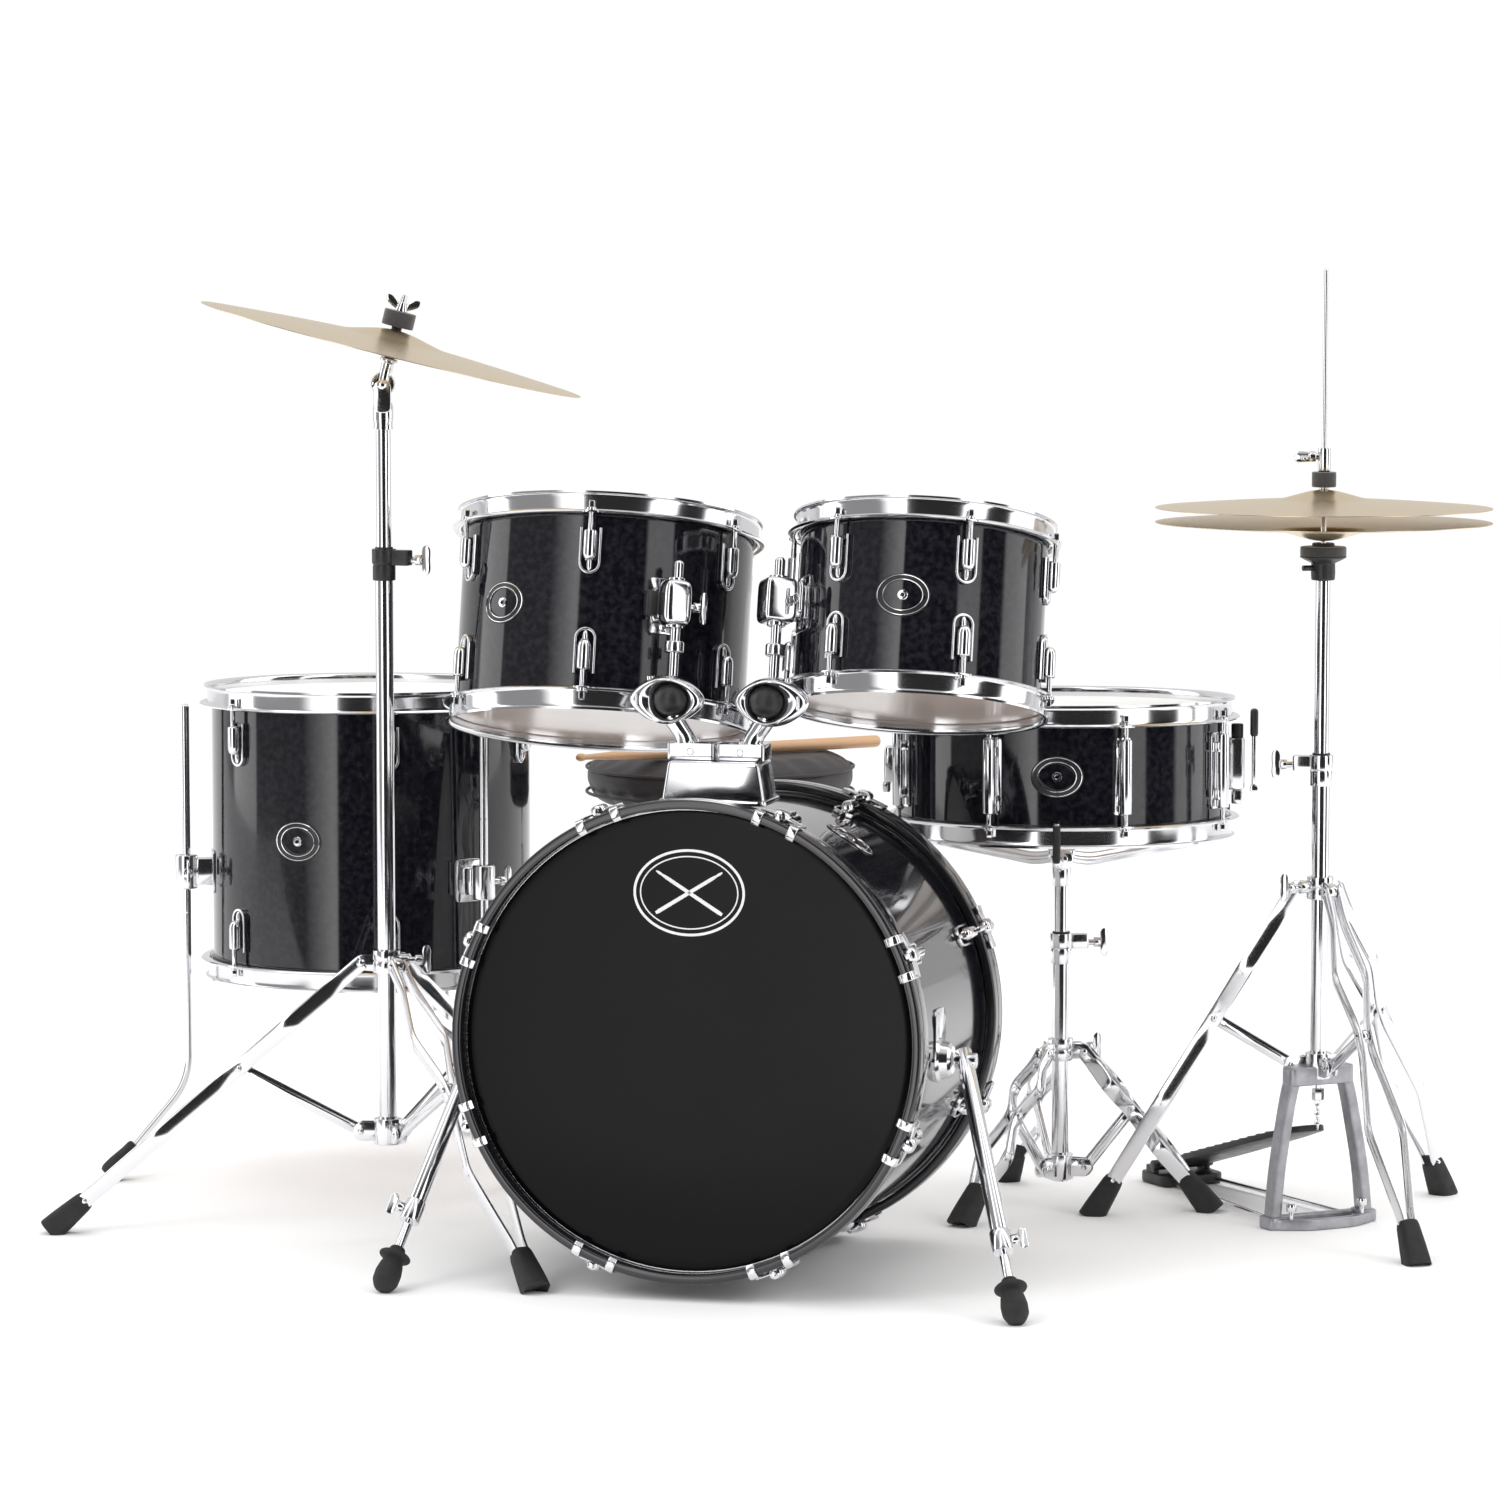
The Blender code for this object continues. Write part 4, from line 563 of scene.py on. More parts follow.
def lathedLook(tree, shader, look, place, uv):
    # grooves follow the radius, which the surface's own v holds; hammer marks are broad noise
    grooves = noiseNode(tree, 1.0, 3, uv, (0.0, 900, 0))
    broadRings = noiseNode(tree, 1.0, 2, uv, (0.0, 70, 0))
    gold, brown = look["colour"], tuple(c * f for c, f in zip(look["colour"], (0.80, 0.72, 0.62)))
    base = blended(tree, spread(tree, broadRings, 0, 0.75), gold, brown)
    base = blended(tree, spread(tree, noiseNode(tree, 6, 3, place), 0, 0.35), base, (0.80, 0.75, 0.68))
    rough = spread(tree, grooves, look["rough"] - 0.06, look["rough"] + 0.14)
    colourAndRoughness(tree, shader, base, rough)
    first = bumpOf(tree, grooves, 0.35, 0.12 * mm)
    tree.links.new(bumpOf(tree, noiseNode(tree, 45, 2, place), 0.08, 0.5 * mm, first),
                   shader.inputs["Normal"])
    shader.inputs["Anisotropic"].default_value = 0.55


def mouldedLook(tree, shader, look, place, uv):
    worn = useGroup(tree, "worn", Vector=place, Colour=look["colour"],
                    Worn_Colour=tuple(min(1, c * 2.5 + 0.02) for c in look["colour"]), Amount=0.5)
    rough = spread(tree, noiseNode(tree, 90, 4, place), look["rough"] - 0.07, look["rough"] + 0.10)
    colourAndRoughness(tree, shader, worn["Colour"], rough)
    tree.links.new(bumpOf(tree, noiseNode(tree, 1100, 2, place), 0.25, 0.08 * mm), shader.inputs["Normal"])


def feltLook(tree, shader, look, place, uv):
    pale = tuple(min(1, c * 1.9 + 0.01) for c in look["colour"])
    fibres = noiseNode(tree, 900, 5, place)
    base = blended(tree, spread(tree, fibres, 0, 1), look["colour"], pale)
    rough = spread(tree, fibres, 0.88, 1.0)
    colourAndRoughness(tree, shader, base, rough)
    shader.inputs["Sheen Weight"].default_value = 0.5
    tree.links.new(bumpOf(tree, fibres, 0.8, 0.5 * mm), shader.inputs["Normal"])


def vinylLook(tree, shader, look, place, uv):
    # leather grain: small rounded cells with creases between, paler patches, and broad shine where noise
    # lowers the roughness
    cells = tree.nodes.new("ShaderNodeTexVoronoi")
    cells.feature = "DISTANCE_TO_EDGE"
    cells.inputs["Scale"].default_value = 620
    tree.links.new(place, cells.inputs["Vector"])
    crease = spread(tree, cells.outputs["Distance"], 0, 1, 0.0, 0.12)
    pale = tuple(c * 2.0 + 0.01 for c in look["colour"])
    base = blended(tree, spread(tree, noiseNode(tree, 30, 4, place), 0, 0.7), look["colour"], pale)
    rough = spread(tree, noiseNode(tree, 12, 3, place), look["rough"] - 0.1, look["rough"] + 0.12)
    colourAndRoughness(tree, shader, base, rough)
    first = bumpOf(tree, crease, 0.35, 0.25 * mm)
    tree.links.new(bumpOf(tree, noiseNode(tree, 70, 4, place), 0.15, 0.8 * mm, first),
                   shader.inputs["Normal"])


def timberLook(tree, shader, look, place, uv):
    # long grain: noise stretched along the piece's own v, and darker pores in it
    grain = noiseNode(tree, 1.0, 5, uv, (9, 11, 1))
    pores = noiseNode(tree, 1.0, 3, uv, (60, 40, 1))
    dark = tuple(c * f for c, f in zip(look["colour"], (0.70, 0.62, 0.54)))
    base = blended(tree, spread(tree, grain, 0, 0.9), look["colour"], dark)
    base = blended(tree, spread(tree, pores, 0, 0.35, 0.55, 0.75), base, dark)
    rough = spread(tree, pores, look["rough"] - 0.06, look["rough"] + 0.12)
    colourAndRoughness(tree, shader, base, rough)
    tree.links.new(bumpOf(tree, pores, 0.15, 0.1 * mm), shader.inputs["Normal"])


looks = {
    "lacquer": lacquerLook,
    "plated": platedLook,
    "cast": castLook,
    "film": filmLook,
    "lathed": lathedLook,
    "moulded": mouldedLook,
    "felt": feltLook,
    "vinyl": vinylLook,
    "timber": timberLook,
}
print("finishes ready:", len(finishValues))


# The studio: pale floor, soft boxes, a world whose tall strips the gloss black and chrome mirror, and the
# camera

studio = {
    "cameraAside": 0.383,
    "cameraBack": 5.645,
    "cameraHeight": 1.06,
    "pitch": 5.5,
    "lens": 129.6,
    "floorColour": (0.975, 0.975, 0.975),
    "dark": 0.02,
    "white": 0.78,
    "strips": [(-116, -112, -88, 2.4), (-92, -90, -40, 0.30), (-48, -24, -21, 3.0), (33, 36, 56, 2.0),
               (80, 84, 112, 2.0)],
}


def addCamera():
    data = bpy.data.cameras.new("camera")
    data.lens, data.sensor_width, data.clip_end = studio["lens"], 36, 100
    made = bpy.data.objects.new("camera", data)
    bpy.context.scene.collection.objects.link(made)
    stand = joints["crash_tilt"]["pos_m"]
    made.location = (stand[0] + studio["cameraAside"], stand[1] - studio["cameraBack"],
                     studio["cameraHeight"])
    made.rotation_euler = (math.radians(90 - studio["pitch"]), 0, 0)
    bpy.context.scene.camera = made


def addSoftBox(name, place, aim, width, height, watts):
    data = bpy.data.lights.new(name, "AREA")
    data.shape, data.size, data.size_y, data.energy = "RECTANGLE", width, height, watts
    made = bpy.data.objects.new(name, data)
    bpy.context.scene.collection.objects.link(made)
    made.location = place
    made.rotation_euler = (Vector(aim) - Vector(place)).to_track_quat("-Z", "Y").to_euler()
    made.visible_glossy = False


def stripLight(tree, azimuth, start, full, end, level):
    # a tall strip whose light rises from one azimuth to another, holds, and ends sharply at a third
    rising = spread(tree, azimuth, 0.0, level, math.radians(start), math.radians(full))
    ending = spread(tree, azimuth, level, 0.0, math.radians(end), math.radians(end + 1.5))
    return calculate(tree, "MINIMUM", rising, ending)


def addWorld():
    # plain white, except in mirrors, where the front is dark with tall strips and the rest is white
    world = bpy.data.worlds.new("studio")
    bpy.context.scene.world = world
    world.use_nodes = True
    tree = world.node_tree
    background = tree.nodes["Background"]
    separate = tree.nodes.new("ShaderNodeSeparateXYZ")
    tree.links.new(tree.nodes.new("ShaderNodeTexCoord").outputs["Generated"], separate.inputs[0])
    front = calculate(tree, "MULTIPLY", separate.outputs["Y"], -1.0)
    azimuth = calculate(tree, "ARCTAN2", separate.outputs["X"], front)
    turn = calculate(tree, "ABSOLUTE", azimuth, 0.0)
    back = spread(tree, turn, studio["dark"], studio["white"], math.radians(104), math.radians(124))
    above = spread(tree, separate.outputs["Z"], 0.0, studio["white"], 0.62, 0.84)
    mirrored = calculate(tree, "MAXIMUM", back, above)
    for strip in studio["strips"]:
        mirrored = calculate(tree, "MAXIMUM", mirrored, stripLight(tree, azimuth, *strip))
    glossy = tree.nodes.new("ShaderNodeLightPath").outputs["Is Glossy Ray"]
    change = calculate(tree, "MULTIPLY", glossy, calculate(tree, "SUBTRACT", mirrored, 1.0))
    tree.links.new(calculate(tree, "ADD", change, 1.0), background.inputs["Color"])
    background.inputs["Strength"].default_value = 1.02


def addFloor():
    x = np.linspace(-5, 5, 3)
    y = np.linspace(-1.7, 9, 3)
    points = np.stack(np.broadcast_arrays(x[:, None], y[None], 0.0), -1)
    mesh = bpy.data.meshes.new("floor")
    mesh.from_pydata(points.reshape(-1, 3).tolist(), [], gridQuads(3, 3).reshape(-1, 4).tolist())
    floor = bpy.data.objects.new("floor", mesh)
    bpy.context.scene.collection.objects.link(floor)
    paint = bpy.data.materials.new("floor paint")
    paint.use_nodes = True
    tree = paint.node_tree
    shader = tree.nodes["Principled BSDF"]
    shader.inputs["Specular IOR Level"].default_value = 0.0
    shader.inputs["Roughness"].default_value = 0.9
    place = tree.nodes.new("ShaderNodeTexCoord").outputs["Object"]
    pale, grey = studio["floorColour"], tuple(c * 0.995 for c in studio["floorColour"])
    tree.links.new(blended(tree, noiseNode(tree, 3, 3, place), pale, grey), shader.inputs["Base Color"])
    mesh.materials.append(paint)


addCamera()
addWorld()
addFloor()
addSoftBox("key light", (-2.6, -2.6, 2.9), (0, 0, 0.5), 1.6, 2.2, 42)
addSoftBox("fill light", (3.0, -2.2, 2.2), (0, 0, 0.4), 1.2, 2.4, 22)
addSoftBox("top light", (0, 0.3, 3.4), (0, 0, 0), 3.2, 2.6, 40)
bpy.context.scene.view_settings.view_transform = "Standard"
print("studio ready")


# Drums: shells, heads, hoops, rods and lugs in the drum's own frame, whose z runs up its axis

inch = 25.4 * mm
drumMake = {
    "wrap": 1.0 * mm,
    "wall": 6.0 * mm,
    "flange": 13.2 * mm,
    "hoopAbove": 11.8 * mm,
    "hoopBelow": 12 * mm,
    "sheet": 2.2 * mm,
    "rod": 2.7 * mm,
    "rodCircle": 9.7 * mm,
    "lugWidth": 23 * mm,
    "lugHeight": 50 * mm,
}


def shellParts(radius, depth):
    wall, wrap = drumMake["wall"], drumMake["wrap"]
    half = depth / 2
    inner = radius - wrap - wall
    outside = [(radius, half - 3 * mm), (radius, 3 * mm - half), (radius - wrap, 3 * mm - half),
               (radius - wrap, half - 3 * mm)]
    core = [
        (radius - wrap - 0.05 * mm, half - 2.5 * mm),
        (radius - wrap - 0.05 * mm, 2.5 * mm - half),
        (radius - wrap - 1.5 * mm, -half),
        (inner, 5 * mm - half),
        (inner, half - 5 * mm),
        (radius - wrap - 1.5 * mm, half),
    ]
    seam = curled(moved(slab(roundRect(16 * mm, depth - 8 * mm, 0.5 * mm, 1), 0.5 * mm, 0.1 * mm, 1)),
                  radius)
    seam = moved(seam, facing(137, radius + 0.2 * mm))
    return [
        ("gloss wrap", [turned(outside, 144, True), seam]),
        ("shell wood", turned(core, 144, True)),
    ]


def headParts(radius, depth, side, film, collar=7 * mm):
    # a film with a rounded collar drawn down over the shell's edge into a light metal ring
    low = depth / 2 + 0.35 * mm
    reach = radius + 1.2 * mm
    face = [(0, low + 0.9 * mm), (radius * 0.55, low + 0.9 * mm), (radius - 9 * mm, low + 0.9 * mm)]
    face += [(radius - 2 * mm, low + 0.7 * mm), (reach - 0.6 * mm, low + 0.1 * mm), (reach, low - 1.0 * mm),
             (reach, low - collar)]
    back = [(reach - 0.3 * mm, low - collar), (reach - 0.4 * mm, low - 0.9 * mm),
            (radius - 2 * mm, low + 0.3 * mm), (0, low + 0.4 * mm)]
    flesh = roundCorners([(radius + 2.5 * mm, low - 1.5 * mm), (radius + 2.5 * mm, low - 8.5 * mm),
                          (radius + 0.9 * mm, low - 8.5 * mm), (radius + 0.9 * mm, low - 1.5 * mm)],
                          0.4 * mm, 2)
    parts = [(film, turned(face + back, 144)), ("satin chrome", turned(flesh, 144, True))]
    return [(finish, flipped(shape) if side < 0 else shape) for finish, shape in parts]


def flipped(shape):
    # the same shape at the drum's other end
    return {**shape, "points": shape["points"] * np.array([1, 1, -1.0])}


def lugParts(radius, height):
    # a U-shaped rail round a barrel that takes the rod; its open end faces the hoop at +z
    w, h = drumMake["lugWidth"] / 2 - 1.5 * mm, drumMake["lugHeight"]
    a = np.linspace(math.pi, 2 * math.pi, 14)
    arc = np.stack([w * np.cos(a), w * np.sin(a) - h / 2 + w + 1.5 * mm], 1)
    rail = np.vstack([[(-w, h / 2 - 2 * mm)], arc, [(w, h / 2 - 2 * mm)]])
    path = np.column_stack([rail, np.full(len(rail), 2.4 * mm)])
    loop = swept(path, roundCorners([(-1.4 * mm, -2.6 * mm), (1.4 * mm, -2.6 * mm), (1.4 * mm, 2.6 * mm),
                                     (-1.4 * mm, 2.6 * mm)], 1 * mm), (0, 0, 1))
    base = slab(roundCorners([(-w, h / 2 - 2 * mm), (-w, -h / 2 + w), (-w * 0.5, -h / 2 + 2 * mm),
                              (w * 0.5, -h / 2 + 2 * mm), (w, -h / 2 + w), (w, h / 2 - 2 * mm)], 5 * mm),
                              0.8 * mm, 0.2 * mm, 1)
    base = moved(base, by=(0, 0, 0.4 * mm))
    barrel = turned([(0, -15 * mm), (3 * mm, -14.4 * mm), (5.4 * mm, -12.4 * mm), (6.6 * mm, -9 * mm),
                     (6.9 * mm, -5 * mm), (6.9 * mm, 15.5 * mm), (6.2 * mm, 16.4 * mm),
                     (3.4 * mm, 16.4 * mm), (3.1 * mm, 15 * mm), (0, 15 * mm)][::-1], 28)
    standing = basis(x=(1, 0, 0), z=(0, 1, 0))
    barrel = moved(barrel, standing, (0, 3 * mm, 8.2 * mm))
    web = moved(block(9 * mm, 26 * mm, 9 * mm, 2 * mm, 0.8 * mm), by=(0, 1 * mm, 4.5 * mm))
    tail = moved(ballForm((6 * mm, 16 * mm, 7 * mm), 2.4, 12, 18), by=(0, -14 * mm, 3 * mm))
    place = facing(0, radius, height)
    chrome = [moved(s, place) for s in (loop, barrel, web, tail)]
    return [("chrome", chrome), ("gloss wrap", [moved(base, place)])]


def tensionRod(start, end):
    # a rod with its washer and square key head on the hoop's flange at start
    start, end = np.asarray(start, float), np.asarray(end, float)
    along = unit(start - end)
    shape = [bar(end, start, drumMake["rod"], 12)]
    shape.append(bar(start, start + along * 1.3 * mm, 6 * mm, 20, 0.3 * mm))
    shape.append(bar(start + along * 1.2 * mm, start + along * 3.4 * mm, 5.2 * mm, 18, 0.6 * mm))
    key = moved(block(5.6 * mm, 5.6 * mm, 7.5 * mm, 0.9 * mm, 0.7 * mm),
                basis(z=along, at=start + along * 7 * mm))
    shape.append(key)
    return shape


def hoopParts(radius, depth, lugs, first, lugEnd):
    # a pressed hoop: flange for the rods, upright wall and a rolled lip, with an ear under each rod
    low, top = depth / 2 - drumMake["hoopBelow"], depth / 2 + drumMake["hoopAbove"]
    inner = radius + 2.9 * mm
    line = [(radius + drumMake["flange"], low + 3.2 * mm),
            (radius + drumMake["flange"] - 2 * mm, low + 1.2 * mm),
            (inner + 2.6 * mm, low + 1.2 * mm), (inner + 1.1 * mm, low + 4 * mm),
            (inner + 1.1 * mm, top - 4.5 * mm),
            (inner + 2.2 * mm, top - 1.6 * mm), (inner + 5.8 * mm, top - 1.2 * mm)]
    ring = turned(thickened(roundCorners(line, 2.6 * mm, 4, False), drumMake["sheet"])[::-1], 160, True)
    shapes = [ring]
    flange = low + 2.4 * mm
    for i in range(lugs):
        angle = first + 360 / lugs * i
        ear = slab(roundRect(19 * mm, 11 * mm, 5 * mm), 2.2 * mm, 0.5 * mm)
        shapes.append(moved(ear, turnZ(angle) @ turnZ(90, (radius + 8.9 * mm, 0, low + 1.6 * mm))))
        rodAt = turnZ(angle)
        a = rodAt[:3, :3] @ np.array([radius + drumMake["rodCircle"], 0, 0])
        shapes += tensionRod(a + (0, 0, flange), a + (0, 0, lugEnd))
    return shapes


def badgeParts(radius, angle, height=0.0, size=(56 * mm, 44 * mm)):
    # a plain oval plate with two fine rings and a vent eyelet, curved to the shell
    a = np.linspace(0, 2 * math.pi, 64, endpoint=False)
    oval = np.stack([np.cos(a) * size[0] / 2, np.sin(a) * size[1] / 2], 1)
    plate = slab(oval, 0.9 * mm, 0.3 * mm)
    rings = []
    for inset in (0.93, 0.72):
        path = np.column_stack([oval * inset, np.full(len(a), 0.5 * mm)])
        rings.append(swept(path, circle(0.55 * mm, 8), (0, 0, 1), loop=True))
    eyelet = turned([(2.6 * mm, 1.4 * mm), (4.6 * mm, 1.3 * mm), (5.4 * mm, 0.4 * mm), (5.4 * mm, 0),
                     (2.2 * mm, 0), (2.2 * mm, 1.1 * mm)], 32, True)
    place = facing(angle, radius + 0.35 * mm, height)
    fit = lambda s: moved(curled(s, radius), place)
    return [("plastic", [fit(plate)]), ("chrome", [fit(s) for s in rings] + [fit(eyelet)])]


def buildFlangedDrum(spec):
    prefix, radius, depth = spec["prefix"], spec["diameter"] / 2, spec["depth"]
    at = drumBasis(prefix)
    lugs, first = spec["lugs"], spec["firstLug"]
    lugSpan = drumMake["lugHeight"] / 2
    lugHeight = depth / 2 - drumMake["hoopBelow"] - lugSpan - 12 * mm
    parts = shellParts(radius, depth)
    for i in range(lugs):
        turn = turnZ(first + 360 / lugs * i)
        if spec.get("longLugs"):
            pair = longLugParts(radius, depth)
        else:
            pair = lugParts(radius, lugHeight)
            pair += [(finish, [flipped(s) for s in shapes]) for finish, shapes in pair]
        for finish, shapes in pair:
            parts.append((finish, [moved(s, turn) for s in shapes]))
    parts += badgeParts(radius, spec["badge"])
    parts += spec.get("extra", lambda r, d: [])(radius, depth)
    camel = prefix.replace("_t", "T")
    build(camel + "Shell", parts, spec["body"], [prefix + "_shell"], at)
    lugEnd = spec.get("lugEnd", lugHeight + 15 * mm)
    for side, word in ((1, "top"), (-1, "bottom")):
        hoop = hoopParts(radius, depth, lugs, first, lugEnd)
        hoop = [flipped(s) for s in hoop] if side < 0 else hoop
        build(f"{camel}{word.title()}Hoop", [("chrome", hoop)], spec["body"], [f"{prefix}_{word}_hoop"],
              at)
        film = spec["films"][0] if side > 0 else spec["films"][1]
        build(f"{camel}{word.title()}Head", headParts(radius, depth, side, film), spec["body"],
              [f"{prefix}_{word}_head"], at)
    print("built", prefix)
    return at


def wingScrew(start, out, reach, wing=30 * mm, along=(0, 0, 1)):
    # a threaded stem with a flat, rounded wing at its end
    start, out = np.asarray(start, float), unit(out)
    tip = start + out * reach
    stem = bar(start, tip, 3.4 * mm, 14)
    collar = bar(tip - out * 8 * mm, tip - out * 1 * mm, 5.6 * mm, 18, 0.8 * mm)
    a = np.linspace(0, 2 * math.pi, 36, endpoint=False)
    # two lobes: the half height shrinks to a waist in the middle
    x = np.cos(a) * wing / 2
    y = np.sin(a) * (4.2 * mm + 3.2 * mm * np.abs(np.cos(a)) ** 1.5)
    plate = slab(np.stack([x, y], 1), 3.4 * mm, 1.2 * mm)
    frameOf = basis(x=along, z=np.cross(along, out), at=tip + out * 4 * mm)
    return [stem, collar, moved(plate, frameOf)]


def tomBracket(angle, boxy):
    reach = 28 * mm

    def parts(radius, depth):
        plate = slab(roundRect(38 * mm, 58 * mm, 7 * mm), 3 * mm, 1 * mm)
        plate = moved(curled(plate, radius), facing(0, radius + 1 * mm))
        bolts = [moved(turned([(0, 2.4 * mm), (3 * mm, 2.2 * mm), (5 * mm, 0.6 * mm), (5 * mm, 0)], 20),
                       facing(0, radius + 2.4 * mm, z)) for z in (-22 * mm, 22 * mm)]
        lug = moved(block(24 * mm, 30 * mm, 34 * mm, 6 * mm, 2.5 * mm), by=(radius + 12 * mm, 0, 0))
        size = (34 * mm, 38 * mm, 46 * mm) if boxy else (28 * mm, 30 * mm, 48 * mm)
        clamp = moved(ballForm(size, 7 if boxy else 4.5, 24, 40), by=(radius + reach, 0, 0))
        ends = [bar((radius + reach, 0, z), (radius + reach, 0, z + 5 * mm), 9.5 * mm, 28, 0.8 * mm)
                for z in (-26 * mm, 21 * mm)]
        wing = wingScrew((radius + 16 * mm, 12 * mm, 0), (0, 1, 0), 22 * mm, 34 * mm)
        grip = moved(block(9 * mm, 14 * mm, 26 * mm, 2 * mm, 1 * mm), by=(radius + 12 * mm, -19 * mm, 0))
        turn = turnZ(angle)
        shapes = [moved(s, turn) for s in [plate, *bolts, lug, clamp, *ends, *wing]]
        return [("chrome", shapes), ("plastic", [moved(grip, turn)])]

    return parts


def longLugParts(radius, depth):
    # a tube lug that runs nearly the snare's whole depth, on two saddles
    span = depth - 48 * mm
    tubeShape = bar((radius + 9.7 * mm, 0, -span / 2), (radius + 9.7 * mm, 0, span / 2), 6.8 * mm, 26,
                    1.4 * mm)
    shapes = [tubeShape]
    for z in (-span / 2 + 14 * mm, span / 2 - 14 * mm):
        shapes.append(moved(block(15 * mm, 15 * mm, 11 * mm, 3 * mm, 1.2 * mm), by=(radius + 3 * mm, 0, z)))
    rail = slab(roundRect(21 * mm, span + 3 * mm, 5 * mm), 2 * mm, 0.8 * mm)
    shapes.append(moved(rail, facing(0, radius + 0.7 * mm)))
    return [("chrome", shapes)]


rackToms = (
    {"prefix": "left_tom", "diameter": 12 * inch, "depth": 8 * inch,
     "lugs": 6, "firstLug": 325, "badge": 228,
     "films": ("coated film", "clear film"), "body": "left_tom", "extra": tomBracket(295, False)},
    {"prefix": "right_tom", "diameter": 10 * inch, "depth": 7 * inch,
     "lugs": 6, "firstLug": 228, "badge": 260,
     "films": ("coated film", "clear film"), "body": "right_tom", "extra": tomBracket(198, True)},
)
for spec in rackToms:
    buildFlangedDrum(spec)


# Bass drum

bassMake = {
    "radius": 9 * inch,
    "depth": 14 * inch,
    "hoopThick": 10 * mm,
    "hoopWide": 38 * mm,
    "hoopOver": 17 * mm,
    "claws": 8,
    "prongApart": 19 * mm,
    "emblemUp": 148 * mm,
}


def woodHoopParts():
    radius, half = bassMake["radius"], bassMake["depth"] / 2 + bassMake["hoopOver"]
    inner = radius + 2.9 * mm
    outer = inner + bassMake["hoopThick"] - 0.4 * mm
    low = half - bassMake["hoopWide"]
    body = roundCorners([(outer, half), (outer, low), (inner, low), (inner, half)], 3.2 * mm, 4)
    stripe = roundCorners([(outer + 0.25 * mm, half - 15 * mm), (outer + 0.25 * mm, half - 22 * mm),
                           (outer - 1 * mm, half - 22 * mm), (outer - 1 * mm, half - 15 * mm)], 0.2 * mm, 1)
    return [("lacquer", turned(body, 192, True)), ("gloss wrap", turned(stripe, 192, True))]


def clawParts(lugEnd):
    # a hooked claw with two prongs over the hoop's face, and a rod with a key head that pulls it to the lug
    radius, half = bassMake["radius"], bassMake["depth"] / 2 + bassMake["hoopOver"]
    outer = radius + 2.5 * mm + bassMake["hoopThick"]
    hook = roundCorners([(outer + 1.4 * mm, 0, half - 27 * mm), (outer + 1.6 * mm, 0, half + 0.6 * mm),
                         (outer - 8 * mm, 0, half + 1.6 * mm), (outer - 12 * mm, 0, half - 2 * mm)], 5 * mm,
                         5, False)
    # the hook's path starts along the hoop's outside and bends over its face
    prong = swept(hook, roundCorners([(-4.5 * mm, -1.2 * mm), (4.5 * mm, -1.2 * mm), (4.5 * mm, 1.2 * mm),
                                      (-4.5 * mm, 1.2 * mm)], 1 * mm), (1, 0.001, 0.3))
    shapes = [moved(prong, by=(0, side * bassMake["prongApart"], 0)) for side in (-1, 1)]
    bridge = [(outer + 2.6 * mm, -bassMake["prongApart"] - 3 * mm, half - 16 * mm),
              (outer + 3.4 * mm, -8 * mm, half - 20 * mm),
              (outer + 3.4 * mm, 8 * mm, half - 20 * mm),
              (outer + 2.6 * mm, bassMake["prongApart"] + 3 * mm, half - 16 * mm)]
    flat = roundCorners([(-1.3 * mm, -7 * mm), (1.3 * mm, -7 * mm), (1.3 * mm, 7 * mm),
                         (-1.3 * mm, 7 * mm)], 1 * mm)
    shapes.append(swept(roundCorners(bridge, 10 * mm, 4, False), flat, (0, 0, 1)))
    shapes.append(moved(ballForm((13 * mm, 17 * mm, 22 * mm), 3.0, 16, 24),
                        by=(outer + 4 * mm, 0, half - 20 * mm)))
    rodLine = outer + 4.2 * mm
    shapes.append(bar((rodLine, 0, lugEnd), (rodLine, 0, half - 14 * mm), 3 * mm, 14))
    shapes.append(bar((rodLine, 0, half - 11 * mm), (rodLine, 0, half - 8 * mm), 5.6 * mm, 20, 0.6 * mm))
    shapes.append(moved(block(6 * mm, 6 * mm, 8 * mm, 1.2 * mm, 0.8 * mm), by=(rodLine, 0, half - 5 * mm)))
    return shapes


def emblemParts():
    # a plain painted mark: a ring with two crossed drumsticks, raised a hair off the head
    z = -(bassMake["depth"] / 2 + 1.3 * mm)
    centre = np.array([0, -bassMake["emblemUp"], z])
    a = np.linspace(0, 2 * math.pi, 96, endpoint=False)
    flat = roundCorners([(-1.3 * mm, -0.12 * mm), (1.3 * mm, -0.12 * mm), (1.3 * mm, 0.12 * mm),
                         (-1.3 * mm, 0.12 * mm)], 0.05 * mm, 1)
    shapes = []
    for wide, high in ((56 * mm, 42 * mm), (50 * mm, 36 * mm)):
        path = centre + np.stack([wide * np.cos(a), high * np.sin(a), 0 * a], 1)
        shapes.append(swept(path, flat if wide > 52 * mm else flat * 0.5, (0, 0, 1), loop=True))
    for lean in (-1, 1):
        end = np.array([34 * mm * lean, -21 * mm, 0])
        t = np.linspace(-1, 1, 24)[:, None]
        width = np.interp(t[:, 0], [-1, -0.94, 0.70, 0.86, 0.93, 1], [0.75, 1, 0.9, 0.45, 0.8, 0.3])
        shapes.append(swept(centre + t * end, flat * np.array([1.5, 1]), (0, 0, 1), width))
    return shapes


